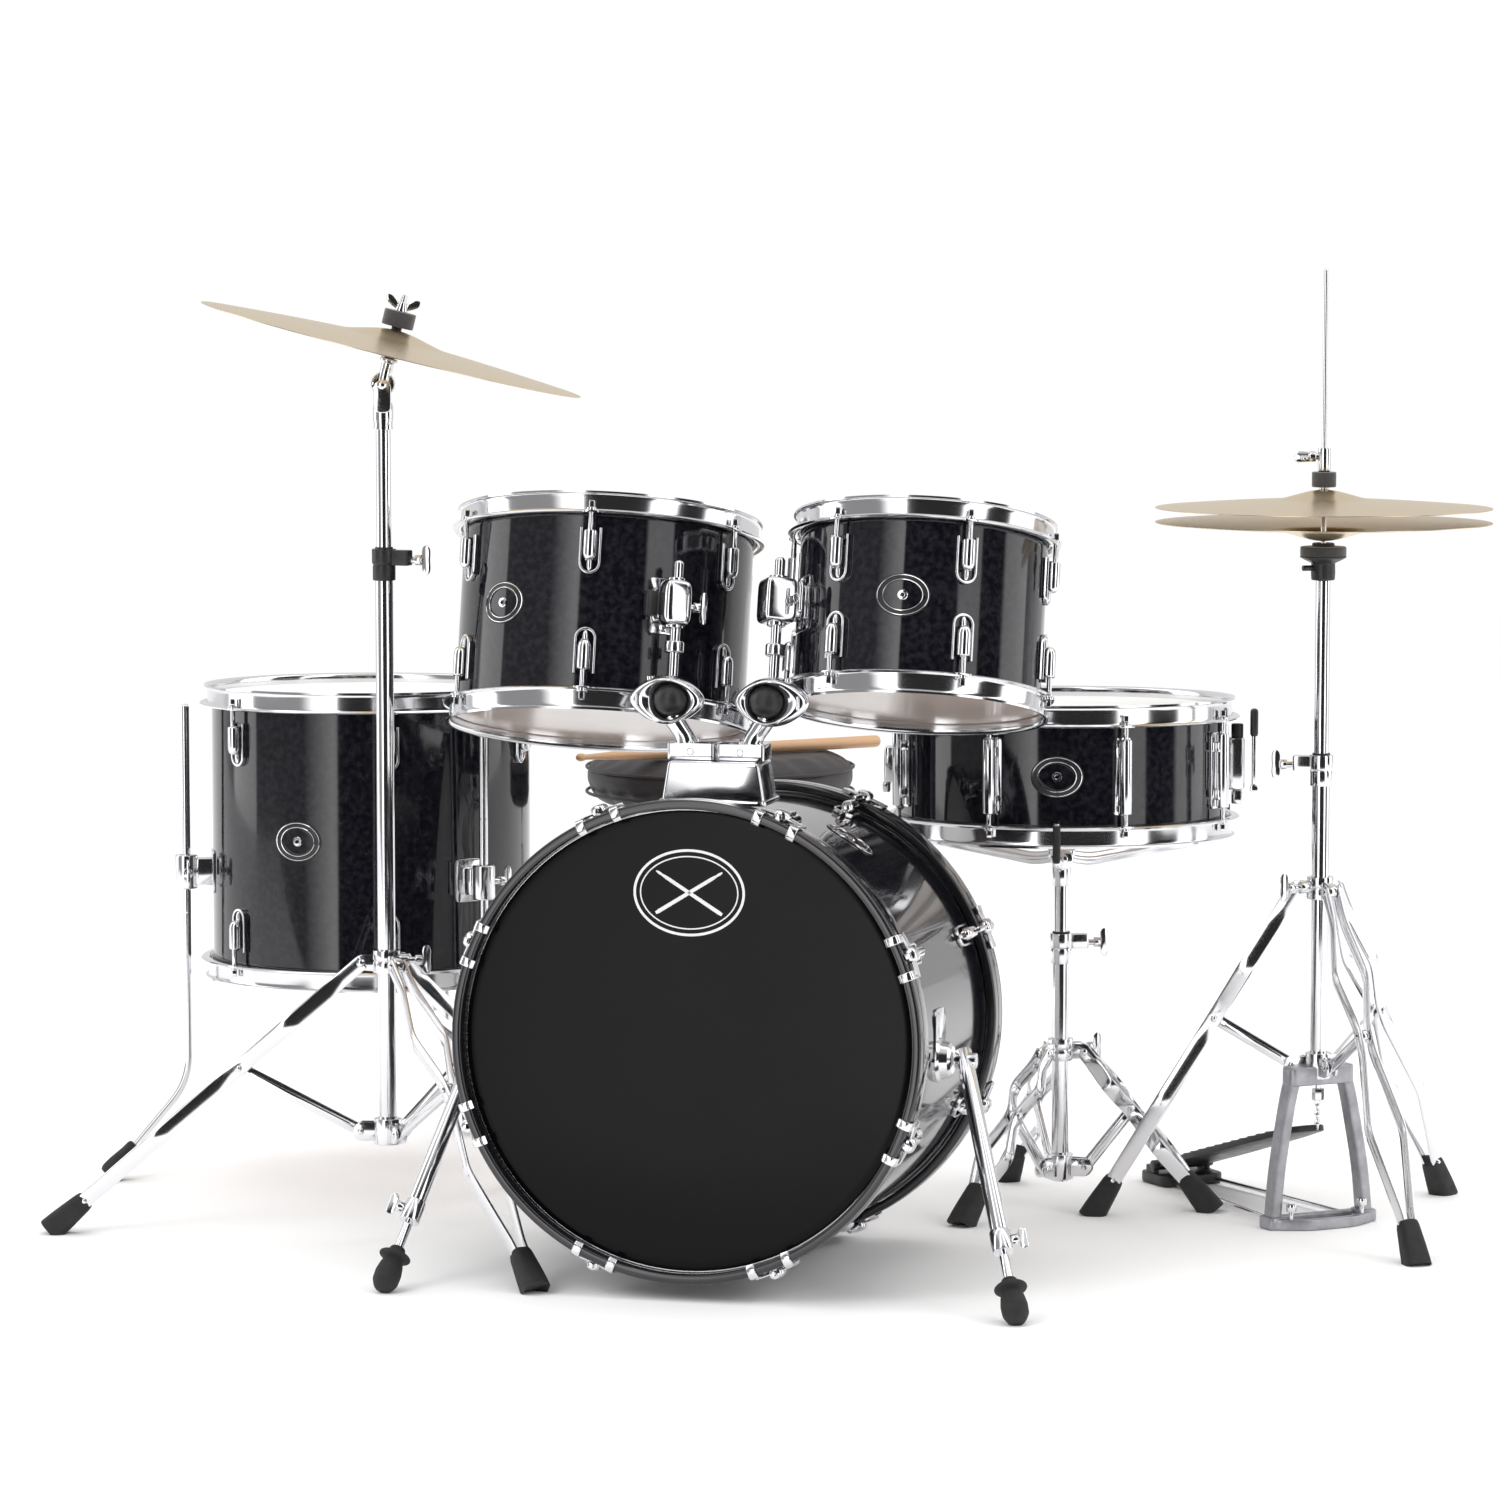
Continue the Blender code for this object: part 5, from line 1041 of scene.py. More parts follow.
def buildBass():
    at = drumBasis("bass", (1, -0.26, 0))
    radius, depth = bassMake["radius"], bassMake["depth"]
    lugHeight = depth / 2 - 36 * mm - drumMake["lugHeight"] / 2
    parts = shellParts(radius, depth)
    one = lugParts(radius, lugHeight)
    one += [(finish, [flipped(s) for s in shapes]) for finish, shapes in one]
    step = 360 / bassMake["claws"]
    for i in range(bassMake["claws"]):
        for finish, shapes in one:
            parts.append((finish, [moved(s, turnZ(step * (i + 0.5))) for s in shapes]))
    for side in (-1, 1):
        boss = [(0, 14 * mm), (14 * mm, 13.6 * mm), (17.5 * mm, 11 * mm), (19.5 * mm, 3 * mm), (23 * mm, 0),
                (23 * mm, -9 * mm)]
        place = basis(x=(0, 1, 0), z=(side, 0, 0), at=(side * (radius + 0.6 * mm), 22 * mm, -55 * mm))
        parts.append(("chrome", moved(turned(boss, 48), place)))
        plate = slab(roundRect(60 * mm, 46 * mm, 12 * mm), 3 * mm, 1 * mm)
        parts.append(("chrome",
                      moved(curled(plate, radius), facing(0 if side > 0 else 180, radius + 1 * mm),
                            (0, 0, -55 * mm))))
    parts += badgeParts(radius, -90 + 32, 0, (56 * mm, 44 * mm))
    build("bassShell", parts, "kit", ["bass_shell"], at)
    claws = clawParts(lugHeight + 14 * mm)
    allClaws = [moved(s, turnZ(step * (i + 0.5))) for i in range(bassMake["claws"]) for s in claws]
    ring = woodHoopParts() + [("chrome", allClaws)]
    build("bassRearHoop", ring, "kit", ["bass_rear_hoop"], at)
    front = [(finish, [flipped(s) for s in shape] if isinstance(shape, list) else flipped(shape))
             for finish, shape in ring]
    build("bassFrontHoop", front, "kit", ["bass_front_hoop"], at)
    frontHead = headParts(radius, depth, -1, "black film", 10 * mm) + [("white paint", emblemParts())]
    build("bassFrontHead", frontHead, "kit", ["bass_front_head"], at)
    build("bassRearHead", headParts(radius, depth, 1, "coated film", 10 * mm), "kit", ["bass_rear_head"],
          at)
    print("built bass drum")


buildBass()


# Spurs: they lie from the CAD spur's upper end to its foot on the floor


def buildSpur(word, side):
    joint = joints[f"{word}_spur_fold"]
    pivot = np.array(joint["pos_m"])
    node = nodePoints(f"{word}_spur")
    low = node[node[:, 2] < 25 * mm].mean(0)
    foot = np.array([low[0], low[1], 0.0])
    along = unit(foot - pivot)
    length = np.linalg.norm(foot - pivot)
    point = lambda share: pivot + along * share
    chrome = [bar(pivot - along * 11 * mm, point(length - 88 * mm), 8.6 * mm, 28, 1.2 * mm)]
    chrome.append(bar(point(length - 108 * mm), point(length - 84 * mm), 10.4 * mm, 28, 1.4 * mm))
    chrome.append(bar(point(length - 96 * mm), point(length - 22 * mm), 4.8 * mm, 20))
    inward = unit(np.cross(along, (0, 1, 0))) * -side
    chrome += wingScrew(point(length - 96 * mm), -inward, 18 * mm, 24 * mm, along)
    axis = np.array(joint["axis"])
    chrome.append(bar(pivot - axis * 10.5 * mm, pivot + axis * 12 * mm, 8 * mm, 24, 1 * mm))
    boot = [(0, 50 * mm), (7 * mm, 50 * mm), (8.4 * mm, 47 * mm), (8.6 * mm, 43 * mm),
            (15.5 * mm, 41.5 * mm), (16.8 * mm, 39.5 * mm),
            (15.5 * mm, 37.5 * mm), (9.5 * mm, 36 * mm), (11.8 * mm, 30 * mm), (13.6 * mm, 20 * mm),
            (13.2 * mm, 10 * mm), (9.5 * mm, 3 * mm), (6 * mm, 0), (0, 0)]
    rubber = moved(turned(roundCorners(boot, 1.6 * mm, 2, False), 40),
                   basis(z=-along, at=foot - along * 4 * mm))
    rubber["points"][:, 2] = np.maximum(rubber["points"][:, 2], 0)
    build(f"{word}Spur", [("chrome", chrome), ("rubber", rubber)], f"{word}_spur", [f"{word}_spur"])


for word, side in (("left", -1), ("right", 1)):
    buildSpur(word, side)


# Tom mount on the bass drum, its two split ball clamps, and the arms

mountMake = {"eyeWide": 78 * mm, "eyeHigh": 50 * mm, "eyeDeep": 32 * mm, "mouth": 17.5 * mm,
             "ball": 18.5 * mm, "rod": 5.2 * mm}


def eyeShape(side):
    # a ring with a round inside and an almond outside drawn out to one side
    # the section between them is an ellipse
    a = np.linspace(0, 2 * math.pi, 64, endpoint=False)[:, None]
    s = np.linspace(0, 2 * math.pi, 20, endpoint=False)[None]
    sharpen = np.abs(np.cos(a)) ** 3
    wide = mountMake["eyeWide"] / 2 * (0.84 + 0.16 * sharpen)
    outX = wide * np.cos(a) + side * 5 * mm
    outZ = mountMake["eyeHigh"] / 2 * np.sin(a) * (1 - 0.10 * sharpen)
    inX, inZ = mountMake["mouth"] * np.cos(a), mountMake["mouth"] * np.sin(a)
    share = 0.5 + 0.5 * np.cos(s)
    x = inX + (outX - inX) * share
    z = inZ + (outZ - inZ) * share
    deep = mountMake["eyeDeep"] / 2 * (0.62 + 0.38 * np.sin(a) ** 2)
    y = deep * np.sin(s) * np.ones_like(a)
    return surface(np.stack([x, y, z], -1), gridQuads(64, 20, True, True))


def buildMount():
    balls = [np.array(joints[f"{word}_tom_tilt"]["pos_m"]) for word in ("left", "right")]
    middle = (balls[0] + balls[1]) / 2
    across = unit(balls[1] - balls[0])
    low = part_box("tom_mount")[0].z
    at = basis(x=across, z=(0, 0, 1), at=(middle[0], middle[1], low))
    height = middle[2] - low
    cheek = roundCorners([(-54 * mm, 1 * mm), (54 * mm, 1 * mm), (47 * mm, 44 * mm), (-47 * mm, 44 * mm)],
                         4 * mm, 4)
    stood = basis(x=(1, 0, 0), z=(0, -1, 0))
    shapes = [moved(slab(cheek, 54 * mm, 3 * mm, 4), stood)]
    shapes.append(moved(block(112 * mm, 68 * mm, 5 * mm, 8 * mm, 1.5 * mm), by=(0, 0, 3.2 * mm)))
    for side in (-1, 1):
        x = side * 26 * mm
        shapes.append(moved(block(49 * mm, 33 * mm, 17 * mm, 3 * mm, 1.4 * mm), by=(x, 0, 53 * mm)))
        for y in (-10 * mm, 10 * mm):
            shapes.append(moved(turned([(0, 3 * mm), (2.6 * mm, 2.8 * mm), (3.6 * mm, 1 * mm),
                                        (3.6 * mm, 0)], 18), by=(x, y, 61 * mm)))
        shapes.append(moved(turned([(0, 2.2 * mm), (2.8 * mm, 2 * mm), (4 * mm, 0.4 * mm), (4 * mm, 0)],
                                   18), stood, (x, -16.5 * mm, 53 * mm)))
        neck = roundCorners([(side * 33 * mm, 0, 58 * mm), (side * 36 * mm, 0, height - 36 * mm),
                             (side * 50 * mm, 0, height - 16 * mm)], 16 * mm, 6, False)
        shapes.append(tube(neck, np.interp(np.linspace(0, 1, len(neck)), [0, 0.6, 1],
                                           [11 * mm, 9.5 * mm, 10 * mm]), 24, side=(0, 1, 0)))
        centre = np.array([side * np.linalg.norm(balls[1] - balls[0]) / 2, 0, height])
        shapes.append(moved(eyeShape(side), by=centre))
        shapes.append(moved(block(3 * mm, 25 * mm, 14 * mm, 1.2 * mm, 0.8 * mm),
                            by=centre + (side * 34 * mm, 0, 0)))
        knob = bar(centre + (side * 22 * mm, 0, 3 * mm), centre + (side * 22 * mm, 0, 24 * mm), 4 * mm, 16)
        shapes.append(knob)
    build("tomMount", [("chrome", shapes)], "kit", ["tom_mount"], at, 40)


def buildArm(word):
    ball = np.array(joints[f"{word}_tom_tilt"]["pos_m"])
    axis = unit(joints[f"{word}_tom_height"]["axis"])
    top = farEnd(f"{word}_tom_arm", axis, 1 * mm)
    knee = top - axis * ((top[2] - ball[2]) / axis[2])
    toward = unit(knee - ball)
    path = roundCorners([ball + toward * 8 * mm, knee, top - axis * 3 * mm], 16 * mm, 8, False)
    rod = tube(path, mountMake["rod"], 24, side=unit(np.cross(axis, toward)))
    tip = turned([(0, 3 * mm), (3.4 * mm, 2.6 * mm), (5.2 * mm, 0), (5.2 * mm, -2 * mm)], 24)
    lock = bar(knee + axis * 44 * mm, knee + axis * 56 * mm, 10 * mm, 28, 1.4 * mm)
    joint = moved(ballForm((2 * mountMake["ball"],) * 3, 2, 28, 40), by=ball)
    parts = [("chrome", [rod, moved(tip, basis(z=axis, at=top - axis * 3 * mm)), lock]), ("plastic", joint)]
    build(f"{word}TomArm", parts, f"{word}_tom_arm", [f"{word}_tom_arm"], None, 50)


buildMount()
for word in ("left", "right"):
    buildArm(word)
print("built tom mount and arms")


# Floor tom and its legs

floorTomSpec = {
    "prefix": "floor_tom", "diameter": 14 * inch, "depth": 12 * inch,
    "lugs": 6, "firstLug": 220, "badge": 247,
    "films": ("coated film", "clear film"), "body": "kit", "legs": (190, 310, 70), "reach": 30 * mm,
    "legDrop": -45 * mm,
}


def legBrackets(radius, depth):
    shapes = []
    for angle in floorTomSpec["legs"]:
        plate = moved(curled(slab(roundRect(34 * mm, 48 * mm, 6 * mm), 3 * mm, 1 * mm), radius),
                      facing(0, radius + 1 * mm, 0))
        arm = moved(block(22 * mm, 22 * mm, 30 * mm, 5 * mm, 2 * mm), by=(radius + 10 * mm, 0, 0))
        eye = turned(roundCorners([(12.5 * mm, 19 * mm), (12.5 * mm, -19 * mm), (6.2 * mm, -19 * mm),
                                   (6.2 * mm, 19 * mm)], 2 * mm, 3), 36, True)
        eye = moved(eye, by=(radius + floorTomSpec["reach"], 0, 0))
        wing = wingScrew((radius + floorTomSpec["reach"], 9 * mm, 0), (0, 1, 0), 20 * mm, 32 * mm)
        here = turnZ(angle, (0, 0, floorTomSpec["legDrop"]))
        shapes += [moved(s, here) for s in (plate, arm, eye, *wing)]
    return [("chrome", shapes)]


floorTomSpec["extra"] = legBrackets
buildFlangedDrum(floorTomSpec)


def buildFloorLeg(number):
    node = f"floor_tom_leg_{number}"
    points = nodePoints(node)
    top = points[points[:, 2] > points[:, 2].max() - 1 * mm].mean(0)
    low = points[points[:, 2] < 16 * mm].mean(0)
    out = unit(np.array([low[0] - top[0], low[1] - top[1], 0]))
    knee = np.array([top[0], top[1], 110 * mm])
    foot = np.array([top[0], top[1], 0]) + out * 70 * mm + (0, 0, 28 * mm)
    side = np.cross((0, 0, 1), out)
    path = roundCorners([top - (0, 0, 3 * mm), knee, foot], 30 * mm, 9, False)
    rod = tube(path, 4.7 * mm, 22, side=side)
    dome = moved(turned([(0, 3 * mm), (3 * mm, 2.5 * mm), (4.7 * mm, 0), (4.7 * mm, -1 * mm)], 22),
                 by=top - (0, 0, 3.2 * mm))
    along = unit(foot - knee)
    # the knurled stretch that the bracket grips: fine rings
    rings = np.linspace(0, 1, 61)
    grip = tube(np.column_stack([np.full(61, top[0]), np.full(61, top[1]), 0.30 + rings * 0.12]),
                4.75 * mm + 0.15 * mm * (np.arange(61) % 2), 18, side=side)
    boot = [(0, 46 * mm), (6.4 * mm, 46 * mm), (8.4 * mm, 43 * mm), (9.2 * mm, 34 * mm),
            (12.5 * mm, 16 * mm), (13.6 * mm, 5 * mm), (12 * mm, 0), (0, 0)]
    rubber = moved(turned(roundCorners(boot, 1.8 * mm, 3, False), 36),
                   basis(z=-along, at=foot + along * 30 * mm))
    rubber["points"][:, 2] = np.maximum(rubber["points"][:, 2], 0)
    build(f"floorTomLeg{number}", [("chrome", [rod, dome, grip]), ("rubber", rubber)], node, [node],
          None, 50)


for number in (1, 2, 3):
    buildFloorLeg(number)


# Snare drum: strainer, throw-off, wires

snareSpec = {
    "prefix": "snare", "diameter": 14 * inch, "depth": 5 * inch,
    "lugs": 8, "firstLug": -72.4, "badge": -95, "longLugs": True,
    "films": ("coated film", "clear film"), "body": "snare", "lugEnd": 39 * mm, "strainer": -4.9,
}


def strainerParts(radius, depth):
    body = moved(block(20 * mm, 26 * mm, 56 * mm, 5 * mm, 2.2 * mm), by=(radius + 9 * mm, 0, 3 * mm))
    plate = moved(curled(slab(roundRect(36 * mm, 64 * mm, 6 * mm), 2.6 * mm, 1 * mm), radius),
                  facing(0, radius + 0.9 * mm, 2 * mm))
    clamp = moved(block(12 * mm, 30 * mm, 14 * mm, 3 * mm, 1.5 * mm), by=(radius + 11 * mm, 0, -33 * mm))
    knob = bar((radius + 11 * mm, 0, 30 * mm), (radius + 11 * mm, 0, 46 * mm), 6.5 * mm, 20, 1.5 * mm)
    butt = [moved(block(15 * mm, 36 * mm, 38 * mm, 5 * mm, 2 * mm), by=(radius + 7 * mm, 0, 0)),
            moved(block(8 * mm, 30 * mm, 12 * mm, 3 * mm, 1.4 * mm), by=(radius + 12 * mm, 0, -24 * mm))]
    near, far = turnZ(snareSpec["strainer"]), turnZ(snareSpec["strainer"] + 180)
    return [("chrome", [moved(s, near) for s in (body, plate, clamp)] + [moved(s, far) for s in butt]),
            ("plastic", [moved(knob, near)])]


snareSpec["extra"] = strainerParts
snareAt = buildFlangedDrum(snareSpec)


def buildSnareFittings():
    radius, depth = snareSpec["diameter"] / 2, snareSpec["depth"]
    pivot = np.array(joints["snare_throw_off"]["pos_m"])
    axis = unit(joints["snare_throw_off"]["axis"])
    out = unit(np.cross(axis, (0, 0, 1)))
    up = np.cross(out, axis)
    at = basis(x=out, z=up, at=pivot)
    arm = [moved(block(5 * mm, 15 * mm, 70 * mm, 2 * mm, 1 * mm), by=(0, 0, 31 * mm)),
           bar((0, -10 * mm, 0), (0, 10 * mm, 0), 4.4 * mm, 20, 0.8 * mm)]
    grip = moved(block(8.6 * mm, 17.5 * mm, 30 * mm, 4 * mm, 3 * mm), by=(0, 0, 71 * mm))
    build("snareThrowOffLever", [("chrome", arm), ("plastic", grip)], "snare_throw_off",
          ["snare_throw_off_lever"], at)
    low = -(depth / 2 + 3.6 * mm)
    turn = turnZ(snareSpec["strainer"])
    span = radius - 34 * mm
    wires = []
    for i in range(20):
        y = (i - 9.5) * 1.9 * mm
        wires.append(helix((-span, y, low), (span, y, low), 0.7 * mm, 0.24 * mm, 90, 6, 4))
    ends = [moved(block(14 * mm, 40 * mm, 1.4 * mm, 2 * mm, 0.4 * mm), by=(side * (span + 4 * mm), 0, low))
            for side in (-1, 1)]
    strap = [moved(block(26 * mm, 18 * mm, 0.5 * mm, 1 * mm, 0.15 * mm),
                   by=(side * (span + 20 * mm), 0, low)) for side in (-1, 1)]
    parts = [("steel wire", [moved(s, turn) for s in wires + ends]),
             ("plastic", [moved(s, turn) for s in strap])]
    build("snareWires", parts, "snare", ["snare_wires"], snareAt)


buildSnareFittings()
print("built snare fittings")


# Stands: tripods of bent double strips, tubes, clamps, hubs and boots, all in a stand's own frame

tripodMake = {
    "collarPivot": 26 * mm,
    "hubPivot": 28 * mm,
    "footBack": 22 * mm,
    "braceShare": 0.42,
    "strip": 3 * mm,
    "depth": 16 * mm,
    "bulges": ((0.00, 8), (0.09, 8), (0.25, 20), (0.39, 7.6), (0.47, 7.6), (0.69, 21.5), (0.93, 7.6),
               (1.0, 7.6)),
}

stands = {
    "crash": {"angles": (178, 298, 58), "spread": 0.360, "collar": 0.292, "hub": 0.112, "wing": 5},
    "hihat": {"angles": (167, 289, 49), "spread": 0.252, "collar": 0.362, "hub": 0.172, "wing": 200},
    "snare": {"angles": (227.6, 347.6, 107.6), "spread": 0.172, "collar": 0.172, "hub": 0.044, "wing": 15},
    "throne": {"angles": (270, 30, 150), "spread": 0.230, "collar": 0.235, "hub": 0.085, "wing": 90},
}


def around(degrees, radius, height=0.0):
    a = math.radians(degrees)
    return np.array([radius * math.cos(a), radius * math.sin(a), height])


def legPlaces(stand, angle):
    start = around(angle, tripodMake["collarPivot"], stand["collar"])
    end = around(angle, stand["spread"] - tripodMake["footBack"], tripodMake["footBack"])
    return start, end, around(angle, tripodMake["hubPivot"], stand["hub"])


def pin(at, side, reach, radius=3.6 * mm):
    # a rivet through both strips, with a domed head on each side
    shapes = [bar(at - side * reach, at + side * reach, radius * 0.6, 14)]
    for way in (-1, 1):
        profile = [(0, 2.0 * mm), (radius * 0.6, 1.7 * mm), (radius, 0.4 * mm), (radius, -0.6 * mm)]
        dome = turned(profile, 20)
        shapes.append(moved(dome, basis(z=side * way, at=at + side * way * reach)))
    return shapes


def legParts(stand, angle):
    # two strips that bow apart twice
    # a point at share s lies at start + s (end - start) +- half width * side
    start, end = legPlaces(stand, angle)[:2]
    along, side = unit(end - start), around(angle + 90, 1)
    normal = np.cross(along, side)
    shares = np.array([b[0] for b in tripodMake["bulges"]])[:, None]
    halves = np.array([b[1] for b in tripodMake["bulges"]])[:, None] * mm - tripodMake["strip"] / 2
    outline = roundRect(tripodMake["strip"], tripodMake["depth"], 1.3 * mm, 2)
    chrome = []
    for way in (-1, 1):
        path = start + shares * (end - start) + way * halves * side
        chrome.append(swept(roundCorners(path, 11 * mm, 5, False), outline, normal))
    knee = start + (end - start) * tripodMake["braceShare"]
    chrome += pin(knee, side, 8.6 * mm)
    chrome += pin(start + along * 1 * mm, side, 8.6 * mm, 4.2 * mm)
    chrome += pin(start + (end - start) * 0.95, side, 8.4 * mm, 3 * mm)
    # the boot flares to a flat sole: what would pass the floor slides back along the leg
    reach = np.array([-22, -20.5, -16, -4, 8, 18, 29]) * mm
    radii = np.array([8.0, 9.8, 10.8, 11.8, 12.8, 13.4, 13.8]) * mm
    boot = swept(end + along * reach[:, None], roundRect(2, 2, 0.75, 5), normal, radii)
    below = np.minimum(boot["points"][:, 2], 0) / along[2]
    boot["points"] = boot["points"] - np.outer(below, along)
    return chrome, [boot]


def braceParts(stand, angle):
    start, end, hub = legPlaces(stand, angle)
    knee = start + (end - start) * tripodMake["braceShare"]
    along, side = unit(knee - hub), around(angle + 90, 1)
    length = np.linalg.norm(knee - hub)
    strip = slab(roundRect(length + 11 * mm, 12.6 * mm, 6 * mm, 6), 5.4 * mm, 0.8 * mm)
    rib = slab(roundRect(length - 26 * mm, 5 * mm, 2.4 * mm, 4), 6.4 * mm, 0.5 * mm)
    place = basis(x=along, z=side, at=(hub + knee) / 2)
    return [moved(strip, place), moved(rib, place)]


def collarParts(stand, height, wing=True):
    ring = turned(roundCorners([(14.4 * mm, 13 * mm), (14.4 * mm, 3 * mm), (13.2 * mm, 1.5 * mm),
                                (14.4 * mm, 0), (14.4 * mm, -11 * mm),
                                (9.8 * mm, -11 * mm), (9.8 * mm, 13 * mm)], 1 * mm, 2), 48, True)
    shapes = [moved(ring, by=(0, 0, height))]
    for angle in stand["angles"]:
        side = around(angle + 90, 1)
        lug = roundCorners([(9 * mm, -8 * mm), (26 * mm, -8.4 * mm), (34.5 * mm, -4 * mm),
                            (34.5 * mm, 6 * mm), (26 * mm, 8.6 * mm), (9 * mm, 10 * mm)], 4 * mm, 4)
        stood = basis(x=around(angle, 1), z=side, at=(0, 0, height))
        shapes.append(moved(slab(lug, 8.2 * mm, 1 * mm), stood))
    if wing:
        out = around(stand["wing"], 1)
        shapes.append(bar(around(stand["wing"], 11 * mm, height + 2 * mm),
                          around(stand["wing"], 24 * mm, height + 2 * mm), 7 * mm, 22, 1.2 * mm))
        shapes += wingScrew(around(stand["wing"], 22 * mm, height + 2 * mm), out, 16 * mm, 31 * mm)
    return shapes


def hubParts(stand):
    height = stand["hub"]
    ring = turned(roundCorners([(14.6 * mm, 14 * mm), (14.6 * mm, -14 * mm), (8.3 * mm, -14 * mm),
                                (8.3 * mm, 14 * mm)], 1.4 * mm, 3), 48, True)
    shapes = [moved(ring, by=(0, 0, height))]
    for angle in stand["angles"]:
        side = around(angle + 90, 1)
        cheek = roundCorners([(10 * mm, -10 * mm), (30 * mm, -10 * mm), (36 * mm, -4 * mm),
                              (36 * mm, 5 * mm), (30 * mm, 10 * mm), (10 * mm, 10 * mm)], 4 * mm, 4)
        for way in (-1, 1):
            place = basis(x=around(angle, 1), z=side, at=side * way * 5 * mm + (0, 0, height))
            shapes.append(moved(slab(cheek, 2.8 * mm, 0.7 * mm), place))
        shapes += pin(around(angle, tripodMake["hubPivot"], height), side, 6.4 * mm)
    return shapes


def standTube(low, high, radius=9.4 * mm, bore=8.25 * mm):
    wall = [(radius, high), (radius, low), (bore, low), (bore, high)]
    return turned(roundCorners(wall, 0.5 * mm, 2), 48, True)


def clampParts(height, wingAngle, body="chrome"):
    # a nylon-lined sleeve: a lower ring, a split body with ears, and a wing screw through the ears
    sleeve = [(12.8 * mm, 0), (12.8 * mm, -15 * mm), (11.2 * mm, -16.5 * mm), (12 * mm, -18 * mm),
              (12 * mm, -33 * mm), (8.3 * mm, -33 * mm), (8.3 * mm, 0)]
    parts = [(body, moved(turned(roundCorners(sleeve, 1 * mm, 2), 48, True), by=(0, 0, height)))]
    out = around(wingAngle, 1)
    ears = moved(block(20 * mm, 15 * mm, 16 * mm, 3 * mm, 1.4 * mm),
                 turnZ(wingAngle, around(wingAngle, 20 * mm, height - 9 * mm)))
    parts.append((body, ears))
    parts.append(("chrome", wingScrew(around(wingAngle, 28 * mm, height - 11 * mm), out, 16 * mm, 31 * mm)))
    liner = [(9.4 * mm, 2 * mm), (9.4 * mm, -3 * mm), (8.1 * mm, -3 * mm), (8.1 * mm, 2 * mm)]
    parts.append(("plastic", moved(turned(roundCorners(liner, 0.5 * mm, 2), 40, True), by=(0, 0, height))))
    return parts


def openTripod(stand):
    chrome, rubber = collarParts(stand, stand["collar"]) + hubParts(stand), []
    for angle in stand["angles"]:
        leg, boot = legParts(stand, angle)
        chrome += leg + braceParts(stand, angle)
        rubber += boot
    return [("chrome", chrome), ("rubber", rubber)]


def axisOf(node, direction):
    # a stand's axis runs through the middle of the round end of one of its moving pieces
    end = farEnd(node, direction, 0.5 * mm)
    return upright(end[0], end[1])


# Snare stand and its basket


def buildSnareStand():
    at = axisOf("snare_basket", (0, 0, -1))
    stand = stands["snare"]
    column = standTube(stand["hub"] - 16 * mm, 0.297)
    parts = openTripod(stand) + [("chrome", column)] + clampParts(0.300, 10)
    build("snareStandBase", parts, "kit", ["snare_stand_base"], at)
    radius = 14 * inch / 2
    local = np.linalg.inv(at) @ snareAt
    grip, low = radius + 21.5 * mm, -(2.5 * inch + 20 * mm)
    chrome = [standTube(0.190, 0.372, 7.8 * mm, 6.6 * mm)]
    chrome.append(bar((0, 0, 0.352), (0, 0, 0.374), 10.4 * mm, 32, 1.4 * mm))
    chrome.append(bar((0, -13 * mm, 0.382), (0, 13 * mm, 0.382), 12.5 * mm, 32, 2 * mm))
    chrome.append(bar((0, -15 * mm, 0.382), (0, 15 * mm, 0.382), 6 * mm, 20, 1 * mm))
    chrome.append(moved(ballForm((30 * mm, 22 * mm, 20 * mm), 3, 16, 24), by=(0, 0, 0.388)))
    rubber = []
    for angle in (265.1, 25.1, 145.1):
        world = lambda r, z: (local @ np.append(around(angle, r, z), 1))[:3]
        corner, top = world(grip, low), world(grip, low + 36 * mm)
        hip = around(angle, 34 * mm, 0.379)
        path = roundCorners([around(angle, 8 * mm, 0.384), hip, corner, top], 13 * mm, 6, False)
        chrome.append(swept(path, roundRect(14 * mm, 3.4 * mm, 1.5 * mm), around(angle + 90, 1)))
        chrome.append(swept(path, roundRect(5 * mm, 6 * mm, 2 * mm), around(angle + 90, 1)))
        sleevePath = roundCorners([world(grip - 14 * mm, low + 3.5 * mm),
                                   world(grip - 0.5 * mm, low + 2.5 * mm), world(grip, low + 34 * mm)],
                                   6 * mm, 5, False)
        rubber.append(swept(sleevePath, roundRect(19 * mm, 7.6 * mm, 2.6 * mm), around(angle + 90, 1)))
    build("snareBasket", [("chrome", chrome), ("rubber", rubber)], "snare", ["snare_basket"], at)


buildSnareStand()
print("built snare stand")


# Cymbals: a bell with a soft foot, then a bow that steepens to its edge


def cymbalShape(radius, drop, side):
    # z = -bell (1 - cos) over the bell, then the bow adds (drop - bell) * share^1.3
    # the sheet thins from 1.5 mm at the bell to 0.7 mm at the edge
    bell, foot = 10 * mm, 0.26 * radius
    r = np.concatenate([np.linspace(6.2 * mm, foot * 1.25, 30), np.linspace(foot * 1.25, radius, 48)[1:]])
    rise = bell * (0.5 - 0.5 * np.cos(np.clip(r / (foot * 1.2), 0, 1) * math.pi))
    bow = (drop - bell) * np.clip((r - foot * 0.7) / (radius - foot * 0.7), 0, 1) ** 1.3
    z = -(rise + bow)
    thick = np.interp(r, [0, radius * 0.3, radius], [1.5 * mm, 1.2 * mm, 0.7 * mm])
    profile = np.vstack([np.stack([r, z], 1), np.stack([r, z - thick], 1)[::-1]])
    if side < 0:
        profile = profile * (1, -1)
    return turned(profile, 192, True)


# Crash cymbal stand


